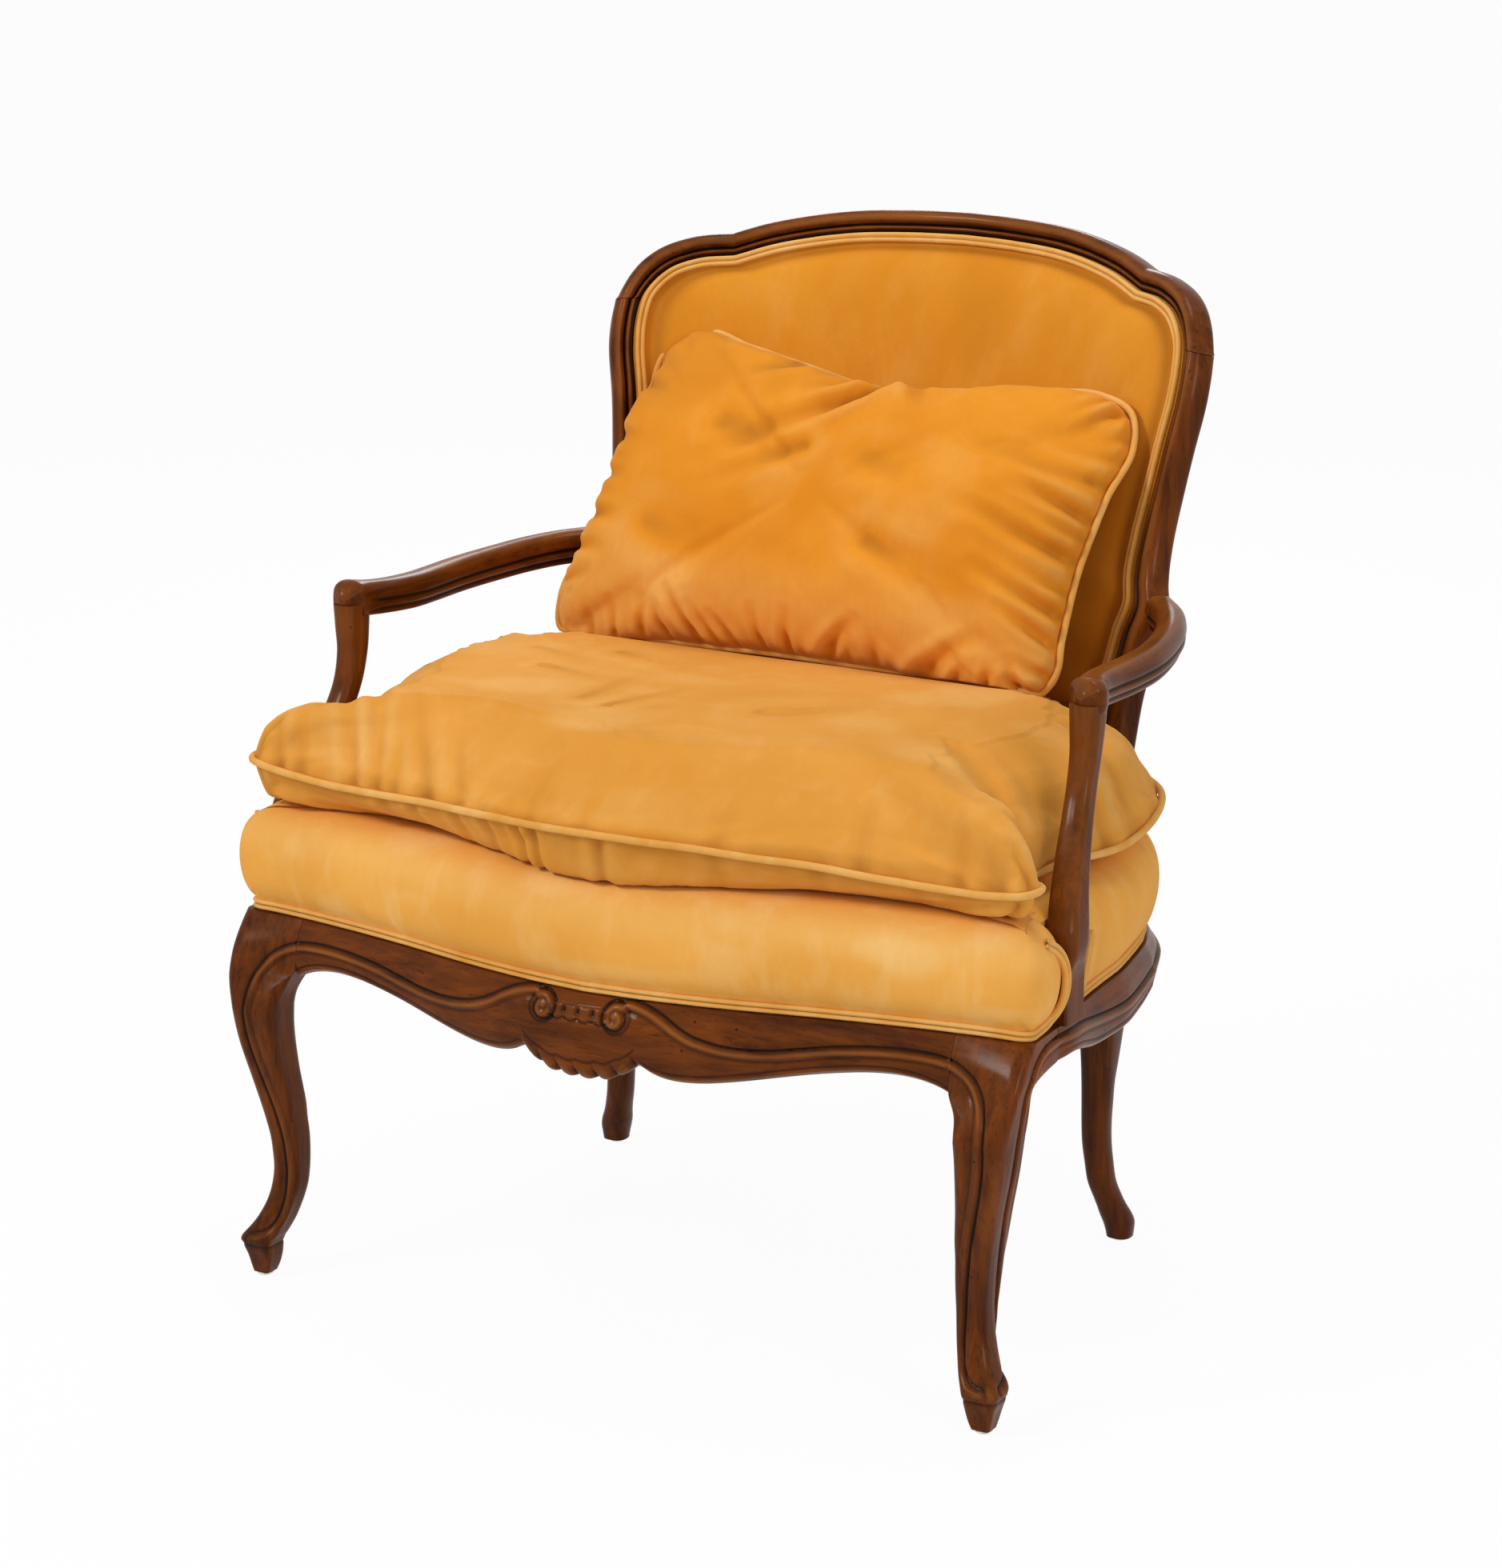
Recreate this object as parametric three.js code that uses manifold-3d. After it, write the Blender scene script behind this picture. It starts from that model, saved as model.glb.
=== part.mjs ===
import * as THREE from "three";
import { mergeVertices } from "three/addons/utils/BufferGeometryUtils.js";
import Module from "manifold-3d";

const wasm = await Module();
wasm.setup();

// Driving dimensions, in millimetres. X runs to the sitter's left, Y to the back, Z up.

// Room between neighbouring pieces
const gap = 0.3;
const overrun = 4;

// Seat frame in plan: a serpentine front, bowed sides and a bowed rear
const seatHalf = 404;
const frontY = -372;
const frontBow = 63;
const rearHalf = 300;
const sideDepth = 421;
const cornerRadius = 15;
const rearSet = 37;
const rearBow = 42;
const railTop = 345;
const railThick = 27;
const railLedge = 318;
const ledgeSet = 9;

// Feet
const frontFootX = 375;
const frontFootY = -331;
const backFootX = 280;
const backFootSet = 32;
const glideHeight = 3;
const glideRadius = 8;
const glidePinRadius = 1.6;
const glidePinLength = 16;

// Front legs: a cabriole leg below, a jointed block above
const ankleSet = 20;
const kneeHalf = 23.4;
const blockWidth = 69;
const blockDepth = 58;
const kneeForward = 27;
const kneeHeight = 262;

// Apron faces
const apronSwell = 12;
const apronDrop = 41;
const apronRise = 29;

// Back posts, each a rear leg and a stile in one piece
const backAnkleSet = 18;
const postHalf = 19;
const stileWidth = 22;
const stileDepth = 25.5;

// Back frame, raked and curved in plan
const openingBottom = 492;
const openingTop = 913.5;
const openingHalf = 290.5;
const backSet = 231.3;
const rake = THREE.MathUtils.degToRad(17.38);
const backRadius = 394.2;
const crestJoint = 846;
const lowerRailHeight = 40;
const lowerRailDepth = 22;

// Arms and arm posts
const armHeight = 612;
const armWidth = 28;
const armThick = 33;
const armPostWidth = 36;
const armPostThick = 26;

// Joints
const tenonLength = 24;
const tenonThick = 10;
const tenonHeight = 18;
const screwRadius = 2.2;
const screwHeadRadius = 4.5;
const screwHeadHeight = 2.5;
const screwLength = 46;

// Seat upholstery
const strapWidth = 50;
const strapThick = 1.8;
const springRadius = 36;
const springWaist = 25;
const springWire = 1.8;
const springTop = 404;
const springTurns = 3;
const clothThick = 1.5;
const velvetThick = 3;
const liningInset = 5;
const platformTop = 446;
const platformSwell = 8;
const weltHeight = 9;
const weltDepth = 5.5;

// Back upholstery
const backCrown = 24;
const rabbetDepth = 2;
const backSpring = 12;
const backWeltWidth = 9;
const backWeltDepth = 5;
const outsideLap = 5;
const outsideWelt = 2.6;

// Loose seat cushion
const cushionSeam = 484;
const cushionTop = 540;
const earSet = 9;
const cushionFrontY = -372;
const cushionRearSet = 78;
const cushionRearSpread = 104.5;
const cushionWelt = 3.4;

// Loose back pillow
const pillowWidth = 500;
const pillowHeight = 294;
const pillowThick = 142;
const pillowX = -16;
const pillowSet = 18.6;
const pillowSettle = 2.1;
const pillowLean = THREE.MathUtils.degToRad(26);
const pillowRoll = THREE.MathUtils.degToRad(3.4);
const pillowWelt = 3.2;

// Places that follow the seat frame's depth and width
const sideFrontY = frontY + frontBow;
const sideRearY = sideFrontY + sideDepth;
const rearY = sideRearY + rearSet;
const backFootY = sideRearY + backFootSet;
const backY = sideRearY + backSet;
const cushionEar = seatHalf - earSet;
const cushionRearHalf = openingHalf + cushionRearSpread;
const cushionRearY = sideRearY + cushionRearSet;
const pillowY = sideRearY + pillowSet;

// Materials
const finish = (color, roughness, metalness = 0) => (
  new THREE.MeshStandardMaterial({ color, roughness, metalness })
);
const walnut = finish("#5b2f17", 0.38);
const beech = finish("#b08a5c", 0.7);
const velvet = finish("#e09a32", 0.85);
const piping = finish("#e5b05c", 0.8);
const hessian = finish("#a98a5b", 0.95);
const webbing = finish("#c9b48a", 0.9);
const stuffing = finish("#e9e2cf", 0.95);
const blackCloth = finish("#24211d", 0.95);
const springSteel = finish("#8c8881", 0.4, 1);
const nickel = finish("#c9c6bd", 0.3, 1);

const chair = new THREE.Group();

// A vector and a smooth value read from a table of shares
const at = (x, y, z) => new THREE.Vector3(x, y, z);
const mix = THREE.MathUtils.lerp;

function smooth(table, t) {
  const last = table.length - 1;
  const i = Math.min(Math.max(table.findIndex((row) => row[0] > t) - 1, 0), last - 1);
  const k = t >= table[last][0] ? last - 1 : i;
  const [t0, v0] = table[k];
  const [t1, v1] = table[k + 1];
  const before = table[Math.max(k - 1, 0)];
  const after = table[Math.min(k + 2, last)];
  const span = t1 - t0;
  const slope0 = ((v1 - before[1]) / (t1 - before[0])) * span;
  const slope1 = ((after[1] - v0) / (after[0] - t0)) * span;
  const u = Math.min(Math.max((t - t0) / span, 0), 1);
  const a = 2 * u ** 3 - 3 * u ** 2 + 1;
  const b = u ** 3 - 2 * u ** 2 + u;
  const c = u ** 3 - u ** 2;
  return a * v0 + b * slope0 + (1 - a) * v1 + c * slope1;
}

const steps = (count) => Array.from({ length: count + 1 }, (_, i) => i / count);

// A closed solid through rings that have the same number of points, its end caps fanned from given poles
function loft(rings, looped = false, poles = []) {
  const count = rings[0].length;
  const points = rings.flat();
  const faces = [];
  const pairs = looped ? rings.length : rings.length - 1;
  for (let i = 0; i < pairs; i++) {
    const here = i * count;
    const next = ((i + 1) % rings.length) * count;
    for (let j = 0; j < count; j++) {
      const k = (j + 1) % count;
      faces.push(here + j, here + k, next + k, here + j, next + k, next + j);
    }
  }
  if (!looped) {
    const lastRing = (rings.length - 1) * count;
    for (const start of [0, lastRing]) {
      const ring = points.slice(start, start + count);
      const middle = ring.reduce((sum, p) => sum.add(p), at(0, 0, 0)).divideScalar(count);
      points.push(poles[start ? 1 : 0] ?? middle);
      for (let j = 0; j < count; j++) {
        const side = [start + j, start + ((j + 1) % count)];
        faces.push(points.length - 1, ...(start ? side : side.reverse()));
      }
    }
  }
  const geometry = new THREE.BufferGeometry().setFromPoints(points);
  geometry.setIndex(faces);
  return solid(geometry);
}

// A manifold solid from a closed geometry, turned to face out
function solid(geometry) {
  const bare = geometry.clone();
  bare.deleteAttribute("normal");
  bare.deleteAttribute("uv");
  const merged = mergeVertices(bare, 1e-4);
  const triVerts = new Uint32Array(merged.index.array);
  const vertProperties = merged.attributes.position.array;
  const make = () => new wasm.Manifold(new wasm.Mesh({ numProp: 3, vertProperties, triVerts }));
  const made = make();
  if (made.volume() > 0) return made;
  for (let i = 0; i < triVerts.length; i += 3) {
    [triVerts[i + 1], triVerts[i + 2]] = [triVerts[i + 2], triVerts[i + 1]];
  }
  return make();
}

const cut = (body, ...tools) => tools.reduce((rest, tool) => rest.subtract(tool), body);
const join = (body, ...others) => others.reduce((whole, other) => whole.add(other), body);

function add(name, body, material) {
  const { vertProperties, triVerts } = body.getMesh();
  const geometry = new THREE.BufferGeometry();
  geometry.setAttribute("position", new THREE.BufferAttribute(vertProperties, 3));
  geometry.setIndex(new THREE.BufferAttribute(triVerts, 1));
  geometry.computeVertexNormals();
  const mesh = new THREE.Mesh(geometry, material);
  mesh.name = name;
  chair.add(mesh);
}

// Simple solids: a box between two corners, and a round bar between two points
function box(low, high) {
  const size = high.clone().sub(low);
  const middle = low.clone().add(high).divideScalar(2);
  const geometry = new THREE.BoxGeometry(Math.abs(size.x), Math.abs(size.y), Math.abs(size.z));
  return solid(geometry.translate(middle.x, middle.y, middle.z));
}

function bar(from, to, radius, endRadius = radius, sides = 7) {
  const along = to.clone().sub(from);
  const geometry = new THREE.CylinderGeometry(endRadius, radius, along.length(), sides);
  const turn = new THREE.Quaternion().setFromUnitVectors(at(0, 1, 0), along.clone().normalize());
  const middle = from.clone().add(to).divideScalar(2);
  return solid(geometry.applyQuaternion(turn).translate(middle.x, middle.y, middle.z));
}

// A four-sided section with its corners rounded, three points to a corner
function roundedSection(corners, radii) {
  return corners.flatMap((corner, i) => {
    const from = corners[(i + 3) % 4];
    const to = corners[(i + 1) % 4];
    const toward = (other) => {
      const edge = other.clone().sub(corner);
      const reach = Math.min(radii[i], edge.length() / 2.2);
      return corner.clone().addScaledVector(edge.normalize(), reach);
    };
    const start = toward(from);
    const end = toward(to);
    const middle = start.clone().add(end).addScaledVector(corner, 2).divideScalar(4);
    return [start, middle, end];
  });
}

// The seat frame's outer face in plan, as shares of its half width and depth
const frontShares = [[0, 0], [0.15, 0.085], [0.32, 0.27], [0.52, 0.57], [0.72, 0.82], [0.9, 0.98], [1, 1]];
const sideShares = [
  [0, 0], [0.09, 0.019], [0.19, 0.067], [0.345, 0.154], [0.446, 0.19], [0.533, 0.216],
  [0.61, 0.27], [0.692, 0.337], [0.754, 0.404], [0.863, 0.59], [1, 1],
];
const frontFace = (x) => frontY + frontBow * smooth(frontShares, Math.abs(x) / seatHalf);
const sideFace = (y) => mix(seatHalf, rearHalf, smooth(sideShares, (y - sideFrontY) / sideDepth));
const rearFace = (x) => rearY + rearBow * (1 - (x / rearHalf) ** 2);

const frontStepShares = [0, 0.12, 0.25, 0.37, 0.5, 0.62, 0.74, 0.87];
const sideStepShares = [0.1, 0.21, 0.34, 0.48, 0.61, 0.73, 0.83, 0.92, 1];
const rearStepShares = [0.95, 0.66, 0.33];

function seatOutline() {
  const half = frontStepShares.map((share) => [share * seatHalf, frontFace(share * seatHalf)]);
  half.push([seatHalf - cornerRadius, sideFrontY]);
  half.push([seatHalf - cornerRadius / 3.4, sideFrontY + cornerRadius / 3.4]);
  half.push([seatHalf, sideFrontY + cornerRadius]);
  sideStepShares.forEach((share) => {
    const y = sideFrontY + share * sideDepth;
    half.push([sideFace(y), y]);
  });
  rearStepShares.forEach((share) => half.push([share * rearHalf, rearFace(share * rearHalf)]));
  const other = half.slice(1).reverse().map(([x, y]) => [-x, y]);
  return [...half, [0, rearFace(0)], ...other].map(([x, y]) => at(x, y, 0));
}

// A flat outline moved outward by a distance, at a height
function offsetOutline(outline, distance, z) {
  const count = outline.length;
  return outline.map((point, i) => {
    const along = outline[(i + 1) % count].clone().sub(outline[(i + count - 1) % count]).normalize();
    return at(point.x + along.y * distance, point.y - along.x * distance, z);
  });
}

const seatPlan = seatOutline();
const seatRing = (distance, z) => offsetOutline(seatPlan, distance, z);

// Front leg: rows of height, inward set and half width, as shares of the knee's height, set and half width
const legShares = [
  [0.011, 0, 0.31], [0.07, 0.02, 0.5], [0.13, 0, 0.66], [0.155, 0.08, 0.69], [0.175, 0.28, 0.67],
  [0.21, 0.48, 0.63], [0.265, 0.76, 0.59], [0.33, 0.92, 0.585], [0.4, 1, 0.585], [0.48, 0.98, 0.62],
  [0.56, 0.88, 0.66], [0.64, 0.76, 0.72], [0.73, 0.58, 0.78], [0.82, 0.4, 0.85], [0.91, 0.25, 0.93],
  [1, 0.19, 1],
];

// Its block: rows of height, forward swell, inner face and rear face, as shares of the block's own sizes
const blockShares = [
  [0.2, 1, 0.76, 0.42], [0.38, 0.97, 0.92, 0.6], [0.55, 0.85, 1, 0.8], [0.73, 0.56, 1, 1], [0.9, 0.2, 1, 1],
  [1, 0, 1, 1],
];
const legCornerShare = 0.62;
const blockInner = seatHalf - blockWidth;
const blockRear = sideFrontY + blockDepth;

function frontLeg(side) {
  const rings = legShares.map(([height, set, width]) => {
    const z = height * kneeHeight;
    const x = frontFootX - set * ankleSet;
    const y = frontFootY + set * ankleSet;
    const h = width * kneeHalf;
    const corners = [at(x - h, y - h, z), at(x + h, y - h, z), at(x + h, y + h, z), at(x - h, y + h, z)];
    return roundedSection(corners, Array(4).fill(h * legCornerShare));
  });
  blockShares.forEach(([height, forward, inner, rear]) => {
    const z = mix(kneeHeight, railTop, height);
    const left = seatHalf - inner * blockWidth;
    const back = sideFrontY + rear * blockDepth;
    const corners = [
      at(left, frontFace(blockInner) - forward * apronSwell, z),
      at(seatHalf, sideFrontY - forward * kneeForward, z),
      at(seatHalf, back, z),
      at(left, back, z),
    ];
    const outer = cornerRadius * (1 - forward / 3);
    rings.push(roundedSection(corners, [gap, outer, cornerRadius / 3, gap]));
  });
  rings[0].forEach((p) => p.setZ(glideHeight + gap));
  return loft(rings.map((ring) => ring.map((p) => at(p.x * side, p.y, p.z))));
}

// The aprons' lower edges, as shares of the half width or the side's depth and of the drop below the ledge
const frontApronShares = [
  [0, 1], [0.06, 0.94], [0.085, 0.82], [0.11, 0.7], [0.14, 0.76], [0.17, 0.92], [0.22, 0.96], [0.28, 0.98],
  [0.34, 0.92], [0.42, 0.76], [0.5, 0.6], [0.58, 0.45], [0.66, 0.35], [0.75, 0.31], [0.8, 0.36], [0.83, 0.42],
];
const sideApronShares = [
  [0.1, 0.2], [0.16, 0.1], [0.24, 0.15], [0.34, 0.5], [0.45, 0.72], [0.6, 0.78], [0.72, 0.62], [0.86, 0.42],
  [1, 0.42],
];
const faceShares = [[1, 0], [0.8, 0.5], [0.5, 1], [0.15, 0.95], [0, 0.6]];

// One section of a rail: a swelled face, an apron below and a flat ledge inside for the webbing
function railSection(place, bottom, swell) {
  const face = faceShares.map(([height, out]) => place(-out * swell, mix(bottom, railTop, height)));
  return [
    ...face,
    place(ledgeSet, bottom),
    place(ledgeSet, railLedge),
    place(railThick, railLedge),
    place(railThick, railTop),
  ];
}

const frontRailHalf = blockInner - gap;
const frontRailShares = [0, 0.05, 0.1, 0.135, 0.17, 0.21, 0.26, 0.34, 0.42, 0.5, 0.6, 0.7, 0.8, 0.9, 1];

function frontRail() {
  const right = frontRailShares.map((share) => share * frontRailHalf);
  const stations = [...right.slice(1).reverse().map((x) => -x), ...right];
  return loft(stations.map((x) => {
    const bottom = railLedge - apronDrop * smooth(frontApronShares, Math.abs(x) / seatHalf);
    return railSection((out, z) => at(x, frontFace(x) + out, z), bottom, apronSwell);
  }));
}

const sideRailStart = blockRear + gap;
const postX = backFootX - backAnkleSet * 0.67;
const postY = backFootY - backAnkleSet * 0.67;
const sideRailEnd = postY - postHalf - gap;
const sideSwell = apronSwell * 0.4;

function sideRail(side) {
  const rings = steps(12).map((share) => {
    const y = mix(sideRailStart, sideRailEnd, share);
    const drop = smooth(sideApronShares, (y - sideFrontY) / sideDepth);
    const bottom = railLedge - apronRise * drop;
    const lean = Math.hypot(1, (sideFace(y + gap) - sideFace(y)) / gap);
    return railSection((out, z) => at(side * (sideFace(y) - out * lean), y, z), bottom, sideSwell);
  });
  return loft(rings);
}

// Rear rail, bowed like the foot of the back, with a plain lower edge
const rearRailHalf = postX - postHalf - gap;
const rearRailBottom = railLedge - apronRise;

function rearRail() {
  return loft(steps(8).map((share) => {
    const x = mix(-rearRailHalf, rearRailHalf, share);
    return railSection((out, z) => at(x, rearFace(x) - out, z), rearRailBottom, 0);
  }));
}

// The back's front surface: raked, and curved in plan. Depth runs backwards, square to the surface.
const backSurface = (x, z) => backY + Math.tan(rake) * (z - openingTop) - x ** 2 / (2 * backRadius);

function onBack(x, z, depth) {
  const normal = at(x / backRadius, 1, -Math.tan(rake)).normalize();
  return at(x, backSurface(x, z), z).addScaledVector(normal, depth);
}

// The opening in the back frame, right half from the bottom up: shares of its half width and height
const openingShares = [
  [0, 0], [0.3, 0], [0.58, 0], [0.72, 0.006], [0.81, 0.03], [0.845, 0.09], [0.878, 0.152], [0.9, 0.23],
  [0.93, 0.294], [0.914, 0.351], [0.921, 0.43], [0.947, 0.534], [0.971, 0.638], [0.995, 0.731], [1, 0.79],
  [0.985, 0.857], [0.923, 0.909], [0.854, 0.928], [0.745, 0.935], [0.63, 0.961], [0.544, 0.974], [0.4, 0.989],
  [0.2, 0.997], [0, 1],
];
const openingHeight = openingTop - openingBottom;
const openingPoint = ([x, z]) => at(x * openingHalf, 0, openingBottom + z * openingHeight);
const openingHalfPoints = openingShares.map(openingPoint);
const mirrored = (points) => points.map((p) => at(-p.x, p.y, p.z));
const openingLoop = [...openingHalfPoints, ...mirrored(openingHalfPoints.slice(1, -1)).reverse()];

// Back post: the leg rows give height, inward set and half width, as shares of the rail top, set and half
const backLegShares = [
  [0.009, 0, 0.62], [0.05, 0.05, 0.75], [0.075, 0.2, 0.76], [0.1, 0.34, 0.7], [0.14, 0.6, 0.67],
  [0.19, 0.8, 0.68], [0.27, 0.98, 0.7], [0.36, 1.02, 0.72], [0.44, 1, 0.77], [0.52, 0.95, 0.84],
  [0.62, 0.86, 0.92], [0.74, 0.67, 1], [1, 0.67, 1], [1.2, 0.67, 1],
];

// Its stile follows the opening's edge. Widths are shares of the stile's width, by height in the opening.
const stileWidthShares = [
  [0.1, 1.55], [0.22, 1.6], [0.294, 1.62], [0.4, 1.3], [0.53, 1.05], [0.7, 1], [1, 1],
];
const stileFootShares = [[0.86, -0.03], [0.866, 0.09]];
const jointShare = (crestJoint - openingBottom) / openingHeight;
const stileEdgeShares = openingShares.filter(([x, z]) => x > 0.85 && z > 0.1 && z < jointShare - 0.04);
const stileTopShare = 0.997;
const squareFrom = 0.7;

function stileRing(inner, width, z, room, depth = stileDepth) {
  const lean = Math.hypot(1, inner / backRadius);
  const low = inner - room;
  const high = inner + width / lean + room;
  const corners = [
    onBack(low, z, -room),
    onBack(high, z, -room),
    onBack(high, z, depth + room),
    onBack(low, z, depth + room),
  ];
  return roundedSection(corners, [width / 9, width / 2, width / 3, width / 9]);
}

function backPost(side, room = 0) {
  const rings = backLegShares.map(([height, set, width]) => {
    const z = height * railTop;
    const x = backFootX - set * backAnkleSet;
    const y = backFootY - set * backAnkleSet;
    const h = width * postHalf + room;
    const corners = [at(x - h, y - h, z), at(x + h, y - h, z), at(x + h, y + h, z), at(x - h, y + h, z)];
    return roundedSection(corners, Array(4).fill(height > squareFrom ? h / 6 : h / 2));
  });
  const topShare = jointShare - gap / openingHeight;
  [...stileFootShares, ...stileEdgeShares, [stileTopShare, topShare]].forEach(([x, height]) => {
    const z = openingBottom + height * openingHeight;
    rings.push(stileRing(x * openingHalf, smooth(stileWidthShares, height) * stileWidth, z, room));
  });
  rings[0].forEach((p) => p.setZ(glideHeight + gap));
  return loft(rings.map((ring) => ring.map((p) => at(p.x * side, p.y, p.z))));
}

// The stile's tenon into the crest
function crestTenon(side, room = 0) {
  const inner = stileTopShare * openingHalf + stileWidth / 4;
  const rings = [crestJoint - tenonHeight, crestJoint + tenonHeight + room].map((z) => {
    const low = inner - room;
    const high = inner + tenonThick / 1.3 + room;
    const front = stileDepth / 3 - room;
    const back = front + tenonThick + 2 * room;
    return [onBack(low, z, front), onBack(high, z, front), onBack(high, z, back), onBack(low, z, back)];
  });
  return loft(rings.map((ring) => ring.map((p) => at(p.x * side, p.y, p.z))));
}

// Crest rail: the frame's section carried round the top of the opening
function crestRail() {
  const top = openingHalfPoints.filter((p) => p.z > crestJoint);
  const start = at(stileTopShare * openingHalf, 0, crestJoint);
  const right = [start, ...top];
  const path = [...right, ...mirrored(right.slice(0, -1)).reverse()];
  return loft(path.map((point, i) => {
    const before = path[Math.max(i - 1, 0)];
    const after = path[Math.min(i + 1, path.length - 1)];
    const isEnd = i === 0 || i === path.length - 1;
    const along = isEnd ? at(0, 0, i ? -1 : 1) : after.clone().sub(before).normalize();
    const bend = point.x / backRadius;
    const place = (out, depth) => {
      const x = point.x + (along.z * out) / Math.hypot(1, bend * along.z);
      return onBack(x, point.z - along.x * out * Math.cos(rake), depth);
    };
    const corners = [place(0, 0), place(stileWidth, 0), place(stileWidth, stileDepth), place(0, stileDepth)];
    return roundedSection(corners, [stileWidth / 9, stileWidth / 2, stileWidth / 3, stileWidth / 9]);
  }));
}

// Lower back rail, which follows the back's curve between the posts
const lowerRailTop = openingBottom - gap;

const bottomShares = openingShares.filter(([x, z]) => z < 0.09).map(([x]) => x);
const railReachShare = 0.9;
const mirroredShares = (shares) => [...shares.slice(1).reverse().map((x) => -x), ...shares];

function lowerRail(top, bottom, front, back) {
  return loft(mirroredShares([...bottomShares, railReachShare]).map((share) => {
    const x = share * openingHalf;
    return [onBack(x, bottom, front), onBack(x, bottom, back), onBack(x, top, back), onBack(x, top, front)];
  }));
}

// Its tenon into the post
function lowerTenon(side, room = 0) {
  const inner = stileFootShares[1][0] * openingHalf;
  const low = lowerRailTop - (lowerRailHeight + tenonHeight) / 2 - room;
  const high = low + tenonHeight + 2 * room;
  const front = lowerRailDepth / 3 - room;
  const back = front + tenonThick + 2 * room;
  return loft([inner - tenonLength / 2, inner + tenonLength / 2 + room].map((x) => [
    onBack(side * x, low, front),
    onBack(side * x, low, back),
    onBack(side * x, high, back),
    onBack(side * x, high, front),
  ]));
}

// Arms: a centre line in plan as shares of the seat's half width and side depth, at one height
const armShares = [
  [0.936, 0.34, 0.9, 0.8], [0.938, 0.355, 1.2, 1.05], [0.926, 0.385, 1.08, 1.02], [0.912, 0.43, 1, 1],
  [0.901, 0.52, 1, 1], [0.902, 0.62, 1, 1], [0.9, 0.72, 1, 1], [0.882, 0.83, 1, 1], [0.853, 0.93, 1, 1],
  [0.808, 1.02, 1, 1],
  [0.76, 1.08, 1, 1],
];
const armCornerShare = 0.42;

function arm(side) {
  const path = armShares.map(([x, y]) => at(x * seatHalf, sideFrontY + y * sideDepth, armHeight));
  const rings = path.map((point, i) => {
    const before = path[Math.max(i - 1, 0)];
    const after = path[Math.min(i + 1, path.length - 1)];
    const along = after.clone().sub(before).normalize();
    const out = at(along.y, -along.x, 0).multiplyScalar((armShares[i][2] * armWidth) / 2);
    const up = at(0, 0, (armShares[i][3] * armThick) / 2);
    const corners = [
      point.clone().sub(out).sub(up),
      point.clone().add(out).sub(up),
      point.clone().add(out).add(up),
      point.clone().sub(out).add(up),
    ];
    return roundedSection(corners, Array(4).fill(armWidth * armCornerShare));
  });
  return loft(rings.map((ring) => ring.map((p) => at(p.x * side, p.y, p.z))));
}

// Arm post: a flat tongue on the rail, then a leaning shaft. Rows give height, place and size as shares.
const armPostShares = [
  [0, 0.985, 0.188, 1, 0.62], [0.14, 0.985, 0.188, 1, 0.62], [0.22, 0.988, 0.178, 1, 1],
  [0.31, 0.988, 0.18, 1.02, 1.06], [0.42, 0.975, 0.21, 1, 1.04], [0.53, 0.957, 0.26, 0.9, 1],
  [0.64, 0.943, 0.307, 0.8, 0.96], [0.73, 0.937, 0.335, 0.76, 0.95],
  [0.83, 0.936, 0.352, 0.75, 0.98], [0.91, 0.937, 0.355, 0.78, 1.04], [0.96, 0.938, 0.354, 0.8, 1.06],
];
const armPostCornerShare = 0.3;
const armUnder = armHeight - armThick / 2;

function armPost(side) {
  const rings = armPostShares.map(([height, x, y, width, thick]) => {
    const z = mix(railTop + gap, armHeight, height);
    const centre = at(x * seatHalf, sideFrontY + y * sideDepth, z);
    const halfX = (thick * armPostThick) / 2;
    const halfY = (width * armPostWidth) / 2;
    const corners = [
      at(centre.x - halfX, centre.y - halfY, z),
      at(centre.x + halfX, centre.y - halfY, z),
      at(centre.x + halfX, centre.y + halfY, z),
      at(centre.x - halfX, centre.y + halfY, z),
    ];
    return roundedSection(corners, Array(4).fill(armPostThick * armPostCornerShare));
  });
  return loft(rings.map((ring) => ring.map((p) => at(p.x * side, p.y, p.z))));
}

// Tenons and their mortises: the same box, with room added for the mortise
const tenonLow = railLedge + gap + tenonThick / 2;

function tenonBox(from, to, room) {
  const grow = at(room, room, room);
  const low = from.clone().min(to).sub(grow);
  const high = from.clone().max(to).add(grow);
  return box(low, high);
}

const tenonRoot = overrun;
const frontTenonY = frontFace(frontRailHalf) + railThick / 3;
const sideTenonX = sideFace(sideRailStart) - railThick / 1.6;
const rearTenonX = postX + postHalf / 4;
const rearTenonY = rearFace(rearRailHalf) - railThick / 1.5;

const frontTenon = (side, room = 0) => tenonBox(
  at(side * (frontRailHalf - tenonRoot), frontTenonY, tenonLow),
  at(side * (frontRailHalf + tenonLength), frontTenonY + tenonThick, tenonLow + tenonHeight),
  room,
);
const sideTenon = (side, room = 0) => tenonBox(
  at(side * sideTenonX, sideRailStart + tenonRoot, tenonLow),
  at(side * (sideTenonX + tenonThick), sideRailStart - tenonLength, tenonLow + tenonHeight),
  room,
);
const sideRearTenon = (side, room = 0) => tenonBox(
  at(side * rearTenonX, sideRailEnd - tenonRoot, tenonLow),
  at(side * (rearTenonX + tenonThick), sideRailEnd + tenonLength / 2, tenonLow + tenonHeight),
  room,
);
const rearTenon = (side, room = 0) => tenonBox(
  at(side * (rearRailHalf - tenonRoot), rearTenonY, tenonLow),
  at(side * (rearRailHalf + tenonLength / 2), rearTenonY + tenonThick, tenonLow + tenonHeight),
  room,
);

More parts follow.
